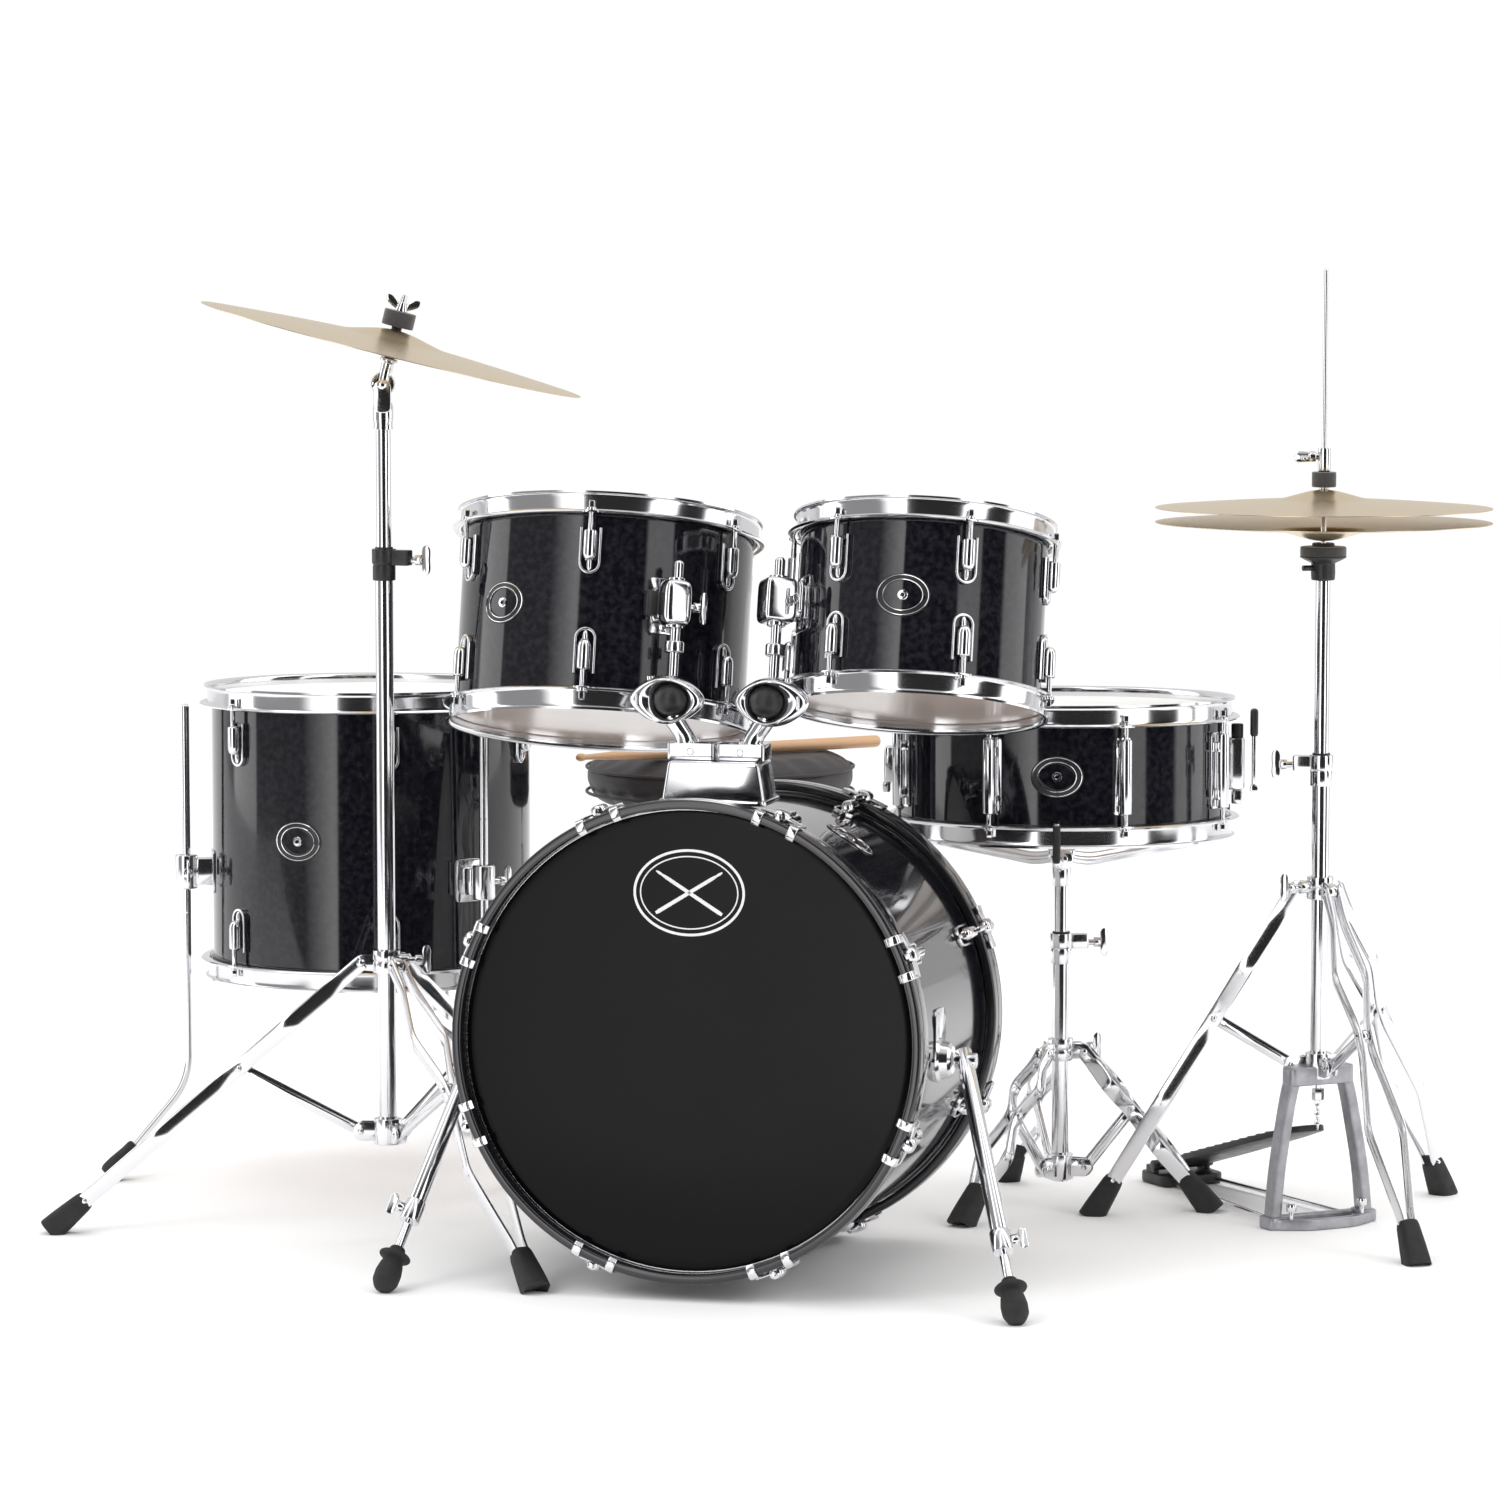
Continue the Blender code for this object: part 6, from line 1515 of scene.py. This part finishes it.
def buildCrash():
    stand = stands["crash"]
    at = axisOf("crash_upper_tube", (0, 0, -1))
    column = standTube(stand["hub"] - 14 * mm, 0.725)
    parts = [("chrome", hubParts(stand) + [column])] + clampParts(0.728, -20, "plastic")
    build("crashLowerTube", parts, "kit", ["crash_lower_tube"], at)
    build("crashCollar", [("chrome", collarParts(stand, stand["collar"]))], "crash_collar",
          ["crash_collar"], at)
    for i, angle in enumerate(stand["angles"]):
        chrome, rubber = legParts(stand, angle)
        build(f"crashLeg{i + 1}", [("chrome", chrome), ("rubber", rubber)], f"crash_leg_{i + 1}",
              [f"crash_leg_{i + 1}"], at)
        build(f"crashBrace{i + 1}", [("chrome", braceParts(stand, angle))], f"crash_brace_{i + 1}",
              [f"crash_brace_{i + 1}"], at)
    pivot = np.array(joints["crash_tilt"]["pos_m"]) - at[:3, 3]
    hole = np.array(joints["crash_rock"]["pos_m"]) - at[:3, 3]
    axis = unit(hole - pivot)
    reach = np.linalg.norm(hole - pivot)
    post = [standTube(0.538, 0.864, 7.8 * mm, 6.4 * mm)]
    sleeve = [(9.6 * mm, 0.880), (10.6 * mm, 0.876), (10.6 * mm, 0.862), (9.8 * mm, 0.858),
              (10.2 * mm, 0.853), (0, 0.853)]
    post.append(turned([(0, 0.881)] + sleeve, 40))
    fork = roundCorners([(-9 * mm, -30 * mm), (9 * mm, -30 * mm), (9 * mm, 4 * mm), (-9 * mm, 4 * mm)],
                        8 * mm, 5)
    forkPlace = basis(x=(1, 0, 0), z=(0, -1, 0), at=pivot + (0, -8.5 * mm, 0))
    post.append(moved(slab(fork, 5 * mm, 1.2 * mm), forkPlace))
    post += pin(pivot + (0, -2 * mm, 0), np.array([0, 1, 0]), 13 * mm, 5 * mm)
    build("crashUpperTube", [("chrome", post)], "crash_upper", ["crash_upper_tube"], at)
    # the ratchet: a toothed disc whose rim rises and falls 36 times round
    a = np.linspace(0, 2 * math.pi, 144, endpoint=False)
    rim = 12.4 * mm + 0.6 * mm * np.cos(a * 36)
    disc = slab(np.stack([rim * np.cos(a), rim * np.sin(a)], 1), 11 * mm, 1.4 * mm)
    chrome = [moved(disc, basis(z=(0, 1, 0), at=pivot + (0, 1.6 * mm, 0)))]
    chrome.append(bar(pivot, pivot + axis * 24 * mm, 6.6 * mm, 26, 1 * mm))
    chrome.append(bar(pivot + axis * 20 * mm, pivot + axis * (reach + 37.5 * mm), 3.2 * mm, 18, 0.6 * mm))
    turns = helix(pivot + axis * (reach + 19 * mm), pivot + axis * (reach + 37 * mm), 3.15 * mm, 0.35 * mm,
                  16, 14, 5)
    chrome.append(turns)
    cup = [(0, 28 * mm), (8.6 * mm, 28 * mm), (9.4 * mm, 26 * mm), (9.4 * mm, 24.5 * mm),
           (6.6 * mm, 22 * mm), (6.6 * mm, 18 * mm)]
    stood = basis(z=axis, x=(1, 0, 0), at=pivot)
    chrome.append(moved(turned(cup, 36), stood))
    nut = turned(roundCorners([(0, reach + 30 * mm), (4.6 * mm, reach + 30 * mm),
                               (6.6 * mm, reach + 21 * mm), (6.6 * mm, reach + 20 * mm),
                               (0, reach + 20 * mm)], 1 * mm, 2, False), 30)
    chrome.append(moved(nut, stood))
    for way in (-1, 1):
        lobe = roundCorners([(4 * mm, reach + 21 * mm), (11 * mm, reach + 24 * mm),
                             (18 * mm, reach + 28 * mm), (18.5 * mm, reach + 35 * mm),
                             (12.5 * mm, reach + 35 * mm), (4 * mm, reach + 28 * mm)], 3.5 * mm, 5)
        plate = slab(lobe * (way, 1), 3 * mm, 1 * mm)
        chrome.append(moved(plate, stood @ basis(x=(1, 0, 0), z=(0, -1, 0))))
    plastic = [moved(turned(roundCorners([(5.4 * mm, reach + 3 * mm), (5.4 * mm, 28 * mm),
                                          (3.4 * mm, 28 * mm), (3.4 * mm, reach + 3 * mm)], 0.5 * mm, 2),
                                          28, True), stood)]
    felts = []
    pads = ((29 * mm, reach - 5 * mm, 15 * mm), (reach + 3.4 * mm, reach + 20 * mm, 16.8 * mm))
    for low, high, wide in pads:
        felts.append(moved(turned(roundCorners([(wide, high), (wide, low), (5.6 * mm, low),
                                                (5.6 * mm, high)], 1.6 * mm, 3), 48, True), stood))
    build("crashTilter", [("chrome", chrome), ("plastic", plastic), ("felt", felts)], "crash_tilter",
          ["crash_tilter"], at)
    dish = cymbalShape(8 * inch, 20.5 * mm, 1)
    build("crashCymbal", [("bronze", dish)], "crash_cymbal", ["crash_cymbal"],
          at @ basis(z=axis, x=(1, 0, 0), at=hole), 60)


buildCrash()
print("built crash stand")


# Hi-hat stand

hatMake = {"yaw": 25.8, "length": 0.285, "seat": 0.700, "gap": 16 * mm, "drop": 19.2 * mm, "cup": 32.4 * mm}


def chainParts(start, end, links):
    # oval links that turn a quarter from one to the next
    start, end = np.asarray(start, float), np.asarray(end, float)
    along = unit(end - start)
    step = np.linalg.norm(end - start) / links
    a = np.linspace(0, 2 * math.pi, 20, endpoint=False)
    shapes = []
    for i in range(links):
        side = (np.array([1.0, 0, 0]), np.array([0, 1.0, 0]))[i % 2]
        side = unit(side - along * np.dot(side, along))
        middle = start + along * step * (i + 0.5)
        path = middle + np.outer(np.sin(a), along) * step * 0.78 + np.outer(np.cos(a), side) * 2.9 * mm
        shapes.append(tube(path, 1.05 * mm, 8, True, np.cross(along, side)))
    return shapes


def boardParts(heel, toe, width, side):
    # a footboard that narrows towards its toe, with cross ribs and a heel hinge
    along = unit(toe - heel)
    up = np.cross(side, along)
    up = up if up[2] > 0 else -up
    length = np.linalg.norm(toe - heel)
    half = width / 2
    outline = roundCorners([(0, -half * 0.92), (length * 0.3, -half), (length * 0.75, -half * 0.86),
                            (length, -half * 0.62),
                            (length, half * 0.62), (length * 0.75, half * 0.86), (length * 0.3, half),
                            (0, half * 0.92)], 18 * mm, 6)
    place = basis(x=along, z=up, at=heel)
    shapes = [moved(slab(outline, 7 * mm, 1.6 * mm, 3), place)]
    for share in np.linspace(0.22, 0.88, 12):
        wide = width * np.interp(share, [0, 0.3, 0.75, 1], [0.80, 0.86, 0.72, 0.5])
        rib = moved(slab(roundRect(4 * mm, wide, 1.9 * mm), 2 * mm, 0.8 * mm),
                    by=(length * share, 0, 4 * mm))
        shapes.append(moved(rib, place))
    shapes.append(bar(heel - side * half, heel + side * half, 5.8 * mm, 24, 0.8 * mm))
    return shapes


def buildHihat():
    stand, make = stands["hihat"], hatMake
    at = axisOf("hihat_upper_tube", (0, 0, -1))
    column = standTube(stand["hub"] - 16 * mm, 0.502)
    parts = openTripod(stand) + [("chrome", column)] + clampParts(0.505, 170)
    turn = turnZ(make["yaw"])
    cast = [moved(slab(roundRect(80 * mm, 24 * mm, 8 * mm), 20 * mm, 2.5 * mm, 3),
                  by=(0, 0, stand["hub"] - 10 * mm))]
    for way in (-1, 1):
        leg = roundCorners([(way * 30 * mm, 0, stand["hub"] - 8 * mm),
                            (way * 37 * mm, 0, stand["hub"] - 30 * mm), (way * 52 * mm, -2 * mm, 62 * mm),
                            (way * 57 * mm, -3 * mm, 8 * mm)], 24 * mm, 7, False)
        cast.append(swept(leg, roundRect(12 * mm, 19 * mm, 3 * mm), (0, 1, 0)))
        cast.append(moved(block(20 * mm, 26 * mm, 13 * mm, 5 * mm, 2 * mm),
                          by=(way * 57 * mm, -3 * mm, 7 * mm)))
    loop = roundCorners([(57 * mm, 6 * mm, 6 * mm), (-57 * mm, 6 * mm, 6 * mm),
                         (-60 * mm, -12 * mm, 6 * mm), (-26 * mm, -30 * mm, 6 * mm),
                         (26 * mm, -30 * mm, 6 * mm), (60 * mm, -12 * mm, 6 * mm)], 10 * mm, 4)
    cast.append(swept(loop, roundRect(10 * mm, 11.6 * mm, 2.4 * mm), (0, 0, 1), loop=True))
    screws = []
    for way in (-1, 1):
        screws += [moved(s, by=(way * 44 * mm, -20 * mm, 0))
                   for s in (bar((0, 0, 2 * mm), (0, 0, 22 * mm), 2.6 * mm, 14),
                             bar((0, 0, 20 * mm), (0, 0, 28 * mm), 5.5 * mm, 18, 1.2 * mm))]
        heel = np.array([way * 26 * mm, make["length"], 6 * mm])
        screws.append(bar((way * 47 * mm, 0, 6 * mm), heel, 2.3 * mm, 14))
    plate = [moved(slab(roundRect(78 * mm, 60 * mm, 14 * mm, 6), 12 * mm, 2 * mm, 3),
                   by=(0, make["length"], 6.6 * mm))]
    for way in (-1, 1):
        plate.append(moved(block(7 * mm, 20 * mm, 13 * mm, 3 * mm, 1.2 * mm),
                           by=(way * 33 * mm, make["length"] + 8 * mm, 14 * mm)))
    parts += [("cast metal", [moved(s, turn) for s in cast]), ("chrome", [moved(s, turn) for s in screws]),
              ("plastic", [moved(s, turn) for s in plate])]
    build("hihatStandBase", parts, "kit", ["hihat_stand_base"], at)

    seat = make["seat"]
    upper = [("chrome", standTube(0.300, seat, 7.8 * mm, 4.6 * mm))]
    cup = [(7.9 * mm, seat + 12 * mm), (7.9 * mm, seat - 9 * mm), (12.4 * mm, seat - 9 * mm),
           (12.9 * mm, seat - 2 * mm), (12.6 * mm, seat + 9 * mm),
           (19 * mm, seat + 12 * mm), (24.6 * mm, seat + 15 * mm), (24.6 * mm, seat + 16.5 * mm),
           (12 * mm, seat + 16.5 * mm)]
    upper.append(("plastic", turned(roundCorners(cup[::-1], 1.2 * mm, 3), 48, True)))
    pad = [(24.4 * mm, seat + 26.6 * mm), (24.4 * mm, seat + 16 * mm), (5 * mm, seat + 16 * mm),
           (5 * mm, seat + 26.6 * mm)]
    nub = [(11.8 * mm, seat + 30.6 * mm), (12 * mm, seat + 25 * mm), (5 * mm, seat + 25 * mm),
           (5 * mm, seat + 30.6 * mm)]
    upper.append(("felt", [turned(roundCorners(p, 1.8 * mm, 3), 56, True) for p in (pad, nub)]))
    tilt = bar((0, -12 * mm, seat + 4 * mm), (0, -24 * mm, seat + 4 * mm), 3 * mm, 14)
    upper.append(("plastic", moved(tilt, turnZ(-70))))
    build("hihatUpperTube", upper, "hihat_upper", ["hihat_upper_tube"], at)
    low = seat + make["cup"]
    build("hihatBottomCymbal", [("bronze", moved(cymbalShape(7 * inch, make["drop"], -1), by=(0, 0, low)))],
          "hihat_upper", ["hihat_bottom_cymbal"], at, 60)
    top = low + 2 * make["drop"] + make["gap"]
    build("hihatTopCymbal", [("bronze", moved(cymbalShape(7 * inch, make["drop"], 1), by=(0, 0, top)))],
          "hihat_rod", ["hihat_top_cymbal"], at, 60)
    rod = [tube([(0, 0, 0.138), (0, 0, 1.0170), (0, 0, 1.0188), (0, 0, 1.0196)],
                np.array([2.9, 2.9, 2.2, 1.0]) * mm, 20)]
    clutch = [(5 * mm, top - 12 * mm), (3.0 * mm, top - 12 * mm), (3.0 * mm, top + 44 * mm),
              (6.6 * mm, top + 44 * mm), (6.9 * mm, top + 42 * mm), (6.9 * mm, top + 20 * mm),
              (5 * mm, top + 19 * mm)]
    rod.append(turned(roundCorners(clutch[::-1], 0.6 * mm, 2), 40, True))
    a = np.linspace(0, 2 * math.pi, 48, endpoint=False)
    knurl = 9.4 * mm + 0.5 * mm * np.cos(a * 16)
    nut = slab(np.stack([knurl * np.cos(a), knurl * np.sin(a)], 1), 10.5 * mm, 0.8 * mm)
    rod.append(moved(nut, by=(0, 0, top - 10.6 * mm)))
    rod += wingScrew((-5 * mm, 0, top + 35 * mm), (-1, 0, 0), 12 * mm, 15 * mm, (0, 0.5, 0.2))
    eye = roundCorners([(-12 * mm, -5.5 * mm), (-30 * mm, -6.5 * mm), (-33 * mm, 0), (-28 * mm, 6 * mm),
                        (-14 * mm, 5 * mm)], 4 * mm, 4)
    eyePlace = basis(x=(1, 0, 0), z=(0, -1, 0.3), at=(0, 0, top + 35 * mm))
    rod.append(moved(slab(eye, 4 * mm, 1.4 * mm), eyePlace))
    nut = [(0, 0.147), (6.6 * mm, 0.147), (6.6 * mm, 0.134), (0, 0.134)]
    rod.append(turned(roundCorners(nut, 1.4 * mm, 3, False), 6))
    rod += chainParts((0, 0, 0.134), (0, 0, 0.104), 6)
    pads = [turned(roundCorners([(12.9 * mm, top + 18.8 * mm), (12.9 * mm, top + 2.6 * mm),
                                 (5.4 * mm, top + 2.6 * mm), (5.4 * mm, top + 18.8 * mm)], 1.6 * mm, 3), 48,
                                 True)]
    build("hihatPullRod", [("chrome", rod), ("felt", pads)], "hihat_rod", ["hihat_pull_rod"], at)

    side = turn[:3, :3] @ np.array([1.0, 0, 0])
    heel = turn[:3, :3] @ np.array([0, make["length"], 21.5 * mm])
    toe = turn[:3, :3] @ np.array([0, 16 * mm, 101.5 * mm])
    build("hihatFootboard", [("plastic", boardParts(heel, toe, 76 * mm, side))], "hihat_footboard",
          ["hihat_footboard"], at)


buildHihat()
print("built hi-hat stand")


# Bass drum pedal, hidden behind the drum

pedalMake = {"length": 0.29, "width": 78 * mm, "axle": 0.215}


def buildPedal():
    hinge = joints["bass_footboard"]
    heel = np.array(hinge["pos_m"])
    side = unit(hinge["axis"])
    axle = np.array(joints["bass_beater"]["pos_m"])
    at = basis(x=side, z=(0, 0, 1), at=(axle[0], axle[1], 0))
    way = 1 if np.dot(at[:3, 1], heel - axle) > 0 else -1
    ahead = lambda y: way * y
    cast, plastic = [], []
    cast.append(moved(block(30 * mm, pedalMake["length"] - 10 * mm, 6.4 * mm, 5 * mm, 1.4 * mm),
                      by=(0, ahead(0.135), 4 * mm)))
    cast.append(moved(block(108 * mm, 34 * mm, 11 * mm, 5 * mm, 2 * mm), by=(0, 0, 6.2 * mm)))
    cast.append(moved(block(50 * mm, 32 * mm, 12.6 * mm, 5 * mm, 2 * mm), by=(0, ahead(-0.027), 7 * mm)))
    plastic.append(moved(block(78 * mm, 58 * mm, 14 * mm, 12 * mm, 2 * mm),
                         by=(0, ahead(pedalMake["length"]), 8 * mm)))
    for x in (-47 * mm, 47 * mm):
        post = roundCorners([(x, 0, 10 * mm), (x, 0, 0.12), (x, 0, pedalMake["axle"] - 12 * mm)], 10 * mm,
                            3, False)
        cast.append(swept(post, roundRect(9 * mm, 20 * mm, 3 * mm), (0, 1, 0),
                          np.linspace(1, 0.85, len(post))))
        eye = roundCorners([(13 * mm, -5.5 * mm), (13 * mm, 5.5 * mm), (5.6 * mm, 5.5 * mm),
                            (5.6 * mm, -5.5 * mm)], 1.4 * mm, 3)
        cast.append(moved(turned(eye[::-1], 36, True), basis(z=(1, 0, 0), at=(x, 0, pedalMake["axle"]))))
    spring = helix((59 * mm, ahead(2 * mm), 60 * mm), (59 * mm, ahead(2 * mm), 150 * mm), 4.4 * mm,
                   0.8 * mm, 22, 14, 6)
    chrome = [spring,
              bar((59 * mm, ahead(2 * mm), 150 * mm), (59 * mm, ahead(2 * mm), 196 * mm), 1.6 * mm, 10),
              bar((50 * mm, ahead(2 * mm), 56 * mm), (62 * mm, ahead(2 * mm), 56 * mm), 2.6 * mm, 12)]
    build("bassPedalFrame", [("cast metal", cast), ("plastic", plastic), ("chrome", chrome)], "kit",
          ["bass_pedal_frame"], at)

    half = 58 * mm
    lean = unit(np.array([0, ahead(0.45), 0.89]))
    centre = np.array([0, 0, pedalMake["axle"]])
    beater = [bar(centre - (half, 0, 0), centre + (half, 0, 0), 4.3 * mm, 20, 0.8 * mm)]
    beater.append(bar(centre, centre + lean * 0.176, 3.2 * mm, 16, 0.8 * mm))
    cam = turned(roundCorners([(17.6 * mm, 9 * mm), (17.6 * mm, 6.5 * mm), (14.6 * mm, 5 * mm),
                               (14.6 * mm, -5 * mm), (17.6 * mm, -6.5 * mm), (17.6 * mm, -9 * mm),
                               (4 * mm, -9 * mm), (4 * mm, 9 * mm)], 0.8 * mm, 2), 48, True)
    beater.append(moved(cam, basis(z=(1, 0, 0), at=centre)))
    beater.append(moved(block(14 * mm, 14 * mm, 20 * mm, 3 * mm, 1.4 * mm),
                        basis(z=lean, x=(1, 0, 0), at=centre + lean * 14 * mm)))
    forward = np.array([0, -lean[2] * way, lean[1] * way])
    head = [(0, 25 * mm), (14 * mm, 24 * mm), (20.5 * mm, 19 * mm), (21.8 * mm, 12 * mm),
            (21.8 * mm, -14 * mm), (18 * mm, -21 * mm), (8 * mm, -24 * mm), (0, -24 * mm)]
    felt = moved(turned(roundCorners(head, 4 * mm, 4, False), 40),
                 basis(z=forward, x=(1, 0, 0), at=centre + lean * 0.165))
    build("bassBeater", [("chrome", beater), ("white felt", felt)], "bass_beater", ["bass_beater"],
          at)

    local = np.linalg.inv(at)
    heelAt = (local @ np.append(heel, 1))[:3]
    toe = heelAt + (0, way * -(pedalMake["length"] - 10 * mm), 75 * mm)
    board = boardParts(heelAt, toe, pedalMake["width"], np.array([1.0, 0, 0]))
    build("bassFootboard", [("plastic", board)], "bass_footboard", ["bass_footboard"], at)


buildPedal()
print("built bass pedal")


# Throne: a padded round seat on a post, blown up a little by a cloth simulation so its top crowns

throneMake = {"radius": 0.156, "top": 0.452, "thick": 58 * mm, "pressure": 4.0, "frames": 16, "cap": 9 * mm}


def padForm():
    # a round cushion, as (radius, height) points: flat where the stick rests, rolled edge, flat bottom
    radius, top, low = throneMake["radius"], throneMake["top"], throneMake["top"] - throneMake["thick"]
    side = [(0, top), (radius * 0.5, top), (radius - 20 * mm, top - 0.6 * mm),
            (radius - 1.5 * mm, top - 12 * mm), (radius, top - 30 * mm),
            (radius - 3 * mm, low + 9 * mm), (radius - 12 * mm, low + 1.5 * mm), (radius - 30 * mm, low),
            (0, low)]
    return roundCorners(side, 12 * mm, 6, False)


def crown(made):
    # the padded seat swells under pressure; no point rises above the CAD seat's top or spreads past its rim
    mesh = made.data
    rest = np.zeros(len(mesh.vertices) * 3)
    mesh.vertices.foreach_get("co", rest)
    rest = rest.reshape(-1, 3)
    cloth = made.modifiers.new("swell", "CLOTH")
    cloth.settings.use_pressure = True
    cloth.settings.uniform_pressure_force = throneMake["pressure"]
    cloth.settings.effector_weights.gravity = 0
    cloth.settings.tension_stiffness = cloth.settings.compression_stiffness = 40
    scene = bpy.context.scene
    cloth.point_cache.frame_start, cloth.point_cache.frame_end = 1, throneMake["frames"]
    for i in range(1, throneMake["frames"] + 1):
        scene.frame_set(i)
    shaped = made.evaluated_get(bpy.context.evaluated_depsgraph_get())
    points = np.zeros(len(mesh.vertices) * 3)
    shaped.data.vertices.foreach_get("co", points)
    step = points.reshape(-1, 3) - rest
    reach = np.linalg.norm(step, axis=1, keepdims=True)
    step *= np.minimum(1, throneMake["cap"] / np.maximum(reach, 1e-9))
    made.modifiers.remove(cloth)
    scene.frame_set(1)
    return rest, step


def buildSeat():
    at = axisOf("throne_seat", (0, 0, -1))
    form = turned(padForm(), 120)
    points = form["points"]
    r = np.linalg.norm(points[:, :2], axis=1)
    # twelve faint pulls where the cover is stapled under the rim: the lower edge tucks in by up to 1.6 mm
    a = np.arctan2(points[:, 1], points[:, 0])
    fade = np.clip((throneMake["top"] - 30 * mm - points[:, 2]) / (24 * mm), 0, 1)
    tuck = 1.6 * mm * np.cos(a * 12) ** 8 * fade
    points[:, :2] *= (1 - tuck / np.maximum(r, 20 * mm))[:, None]
    radius, top = throneMake["radius"], throneMake["top"]
    loop = np.linspace(0, 2 * math.pi, 180, endpoint=False)
    pipingRadius, piping = radius + 0.4 * mm, []
    for z in (17 * mm, 46 * mm):
        path = np.stack([pipingRadius * np.cos(loop), pipingRadius * np.sin(loop), 0 * loop + top - z], 1)
        piping.append(tube(path, 1.9 * mm, 10, True, (0, 0, 1)))
    post = [standTube(0.235, 0.392, 7.3 * mm, 5.8 * mm), bar((0, 0, 0.364), (0, 0, 0.393), 16 * mm, 36,
                                                             2 * mm)]
    flange = roundCorners([(0, 0.3945), (62 * mm, 0.3945), (62 * mm, 0.3915), (20 * mm, 0.3895),
                           (0, 0.3895)], 1 * mm, 2, False)
    post.append(turned(flange, 64))
    seat = build("throneSeat", [("vinyl", form)], "throne_seat", [], at, 60)
    rest, step = crown(seat)
    swollen = rest + step * 0.6
    local = swollen - at[:3, 3]
    local[:, 2] = np.clip(local[:, 2], throneMake["top"] - throneMake["thick"] - 0.5 * mm, top)
    rim = np.linalg.norm(local[:, :2], axis=1, keepdims=True)
    local[:, :2] *= np.minimum(1, (radius + 1.6 * mm) / np.maximum(rim, 1e-9))
    seat.data.vertices.foreach_set("co", (local + at[:3, 3]).astype(np.float32).ravel())
    seat.data.update()
    build("throneTrim", [("vinyl", piping), ("chrome", post)], "throne_seat", ["throne_seat"], at)


def buildThrone():
    at = axisOf("throne_seat", (0, 0, -1))
    stand = stands["throne"]
    parts = openTripod(stand) + [("chrome", standTube(stand["hub"] - 16 * mm,
                                                      0.332))] + clampParts(0.335, 210)
    build("throneBase", parts, "kit", ["throne_base"], at)
    buildSeat()


buildThrone()


def buildStick():
    # butt, shaft, shoulder, neck and a small barrel tip, turned about the stick's length
    along = np.array([math.cos(math.radians(30)), math.sin(math.radians(30)), 0])
    butt = farEnd("drumstick", along, 1 * mm)
    tip = farEnd("drumstick", -along, 1 * mm)
    length = np.linalg.norm(tip - butt)
    shape = [(0, 0), (4 * mm, 0.6 * mm), (6.4 * mm, 2.4 * mm), (7.1 * mm, 6 * mm),
             (7.1 * mm, length - 0.106), (5.6 * mm, length - 0.060), (3.6 * mm, length - 0.024),
             (3.1 * mm, length - 0.014), (3.4 * mm, length - 0.012), (4.6 * mm, length - 0.008),
             (4.6 * mm, length - 0.004), (2.8 * mm, length - 0.0008), (0, length)]
    stick = moved(turned(roundCorners(shape, 3 * mm, 4, False), 40), basis(z=tip - butt, at=butt))
    build("drumstickWood", [("hickory", stick)], "drumstick", ["drumstick"], None, 60)


buildStick()
print("built throne and stick")
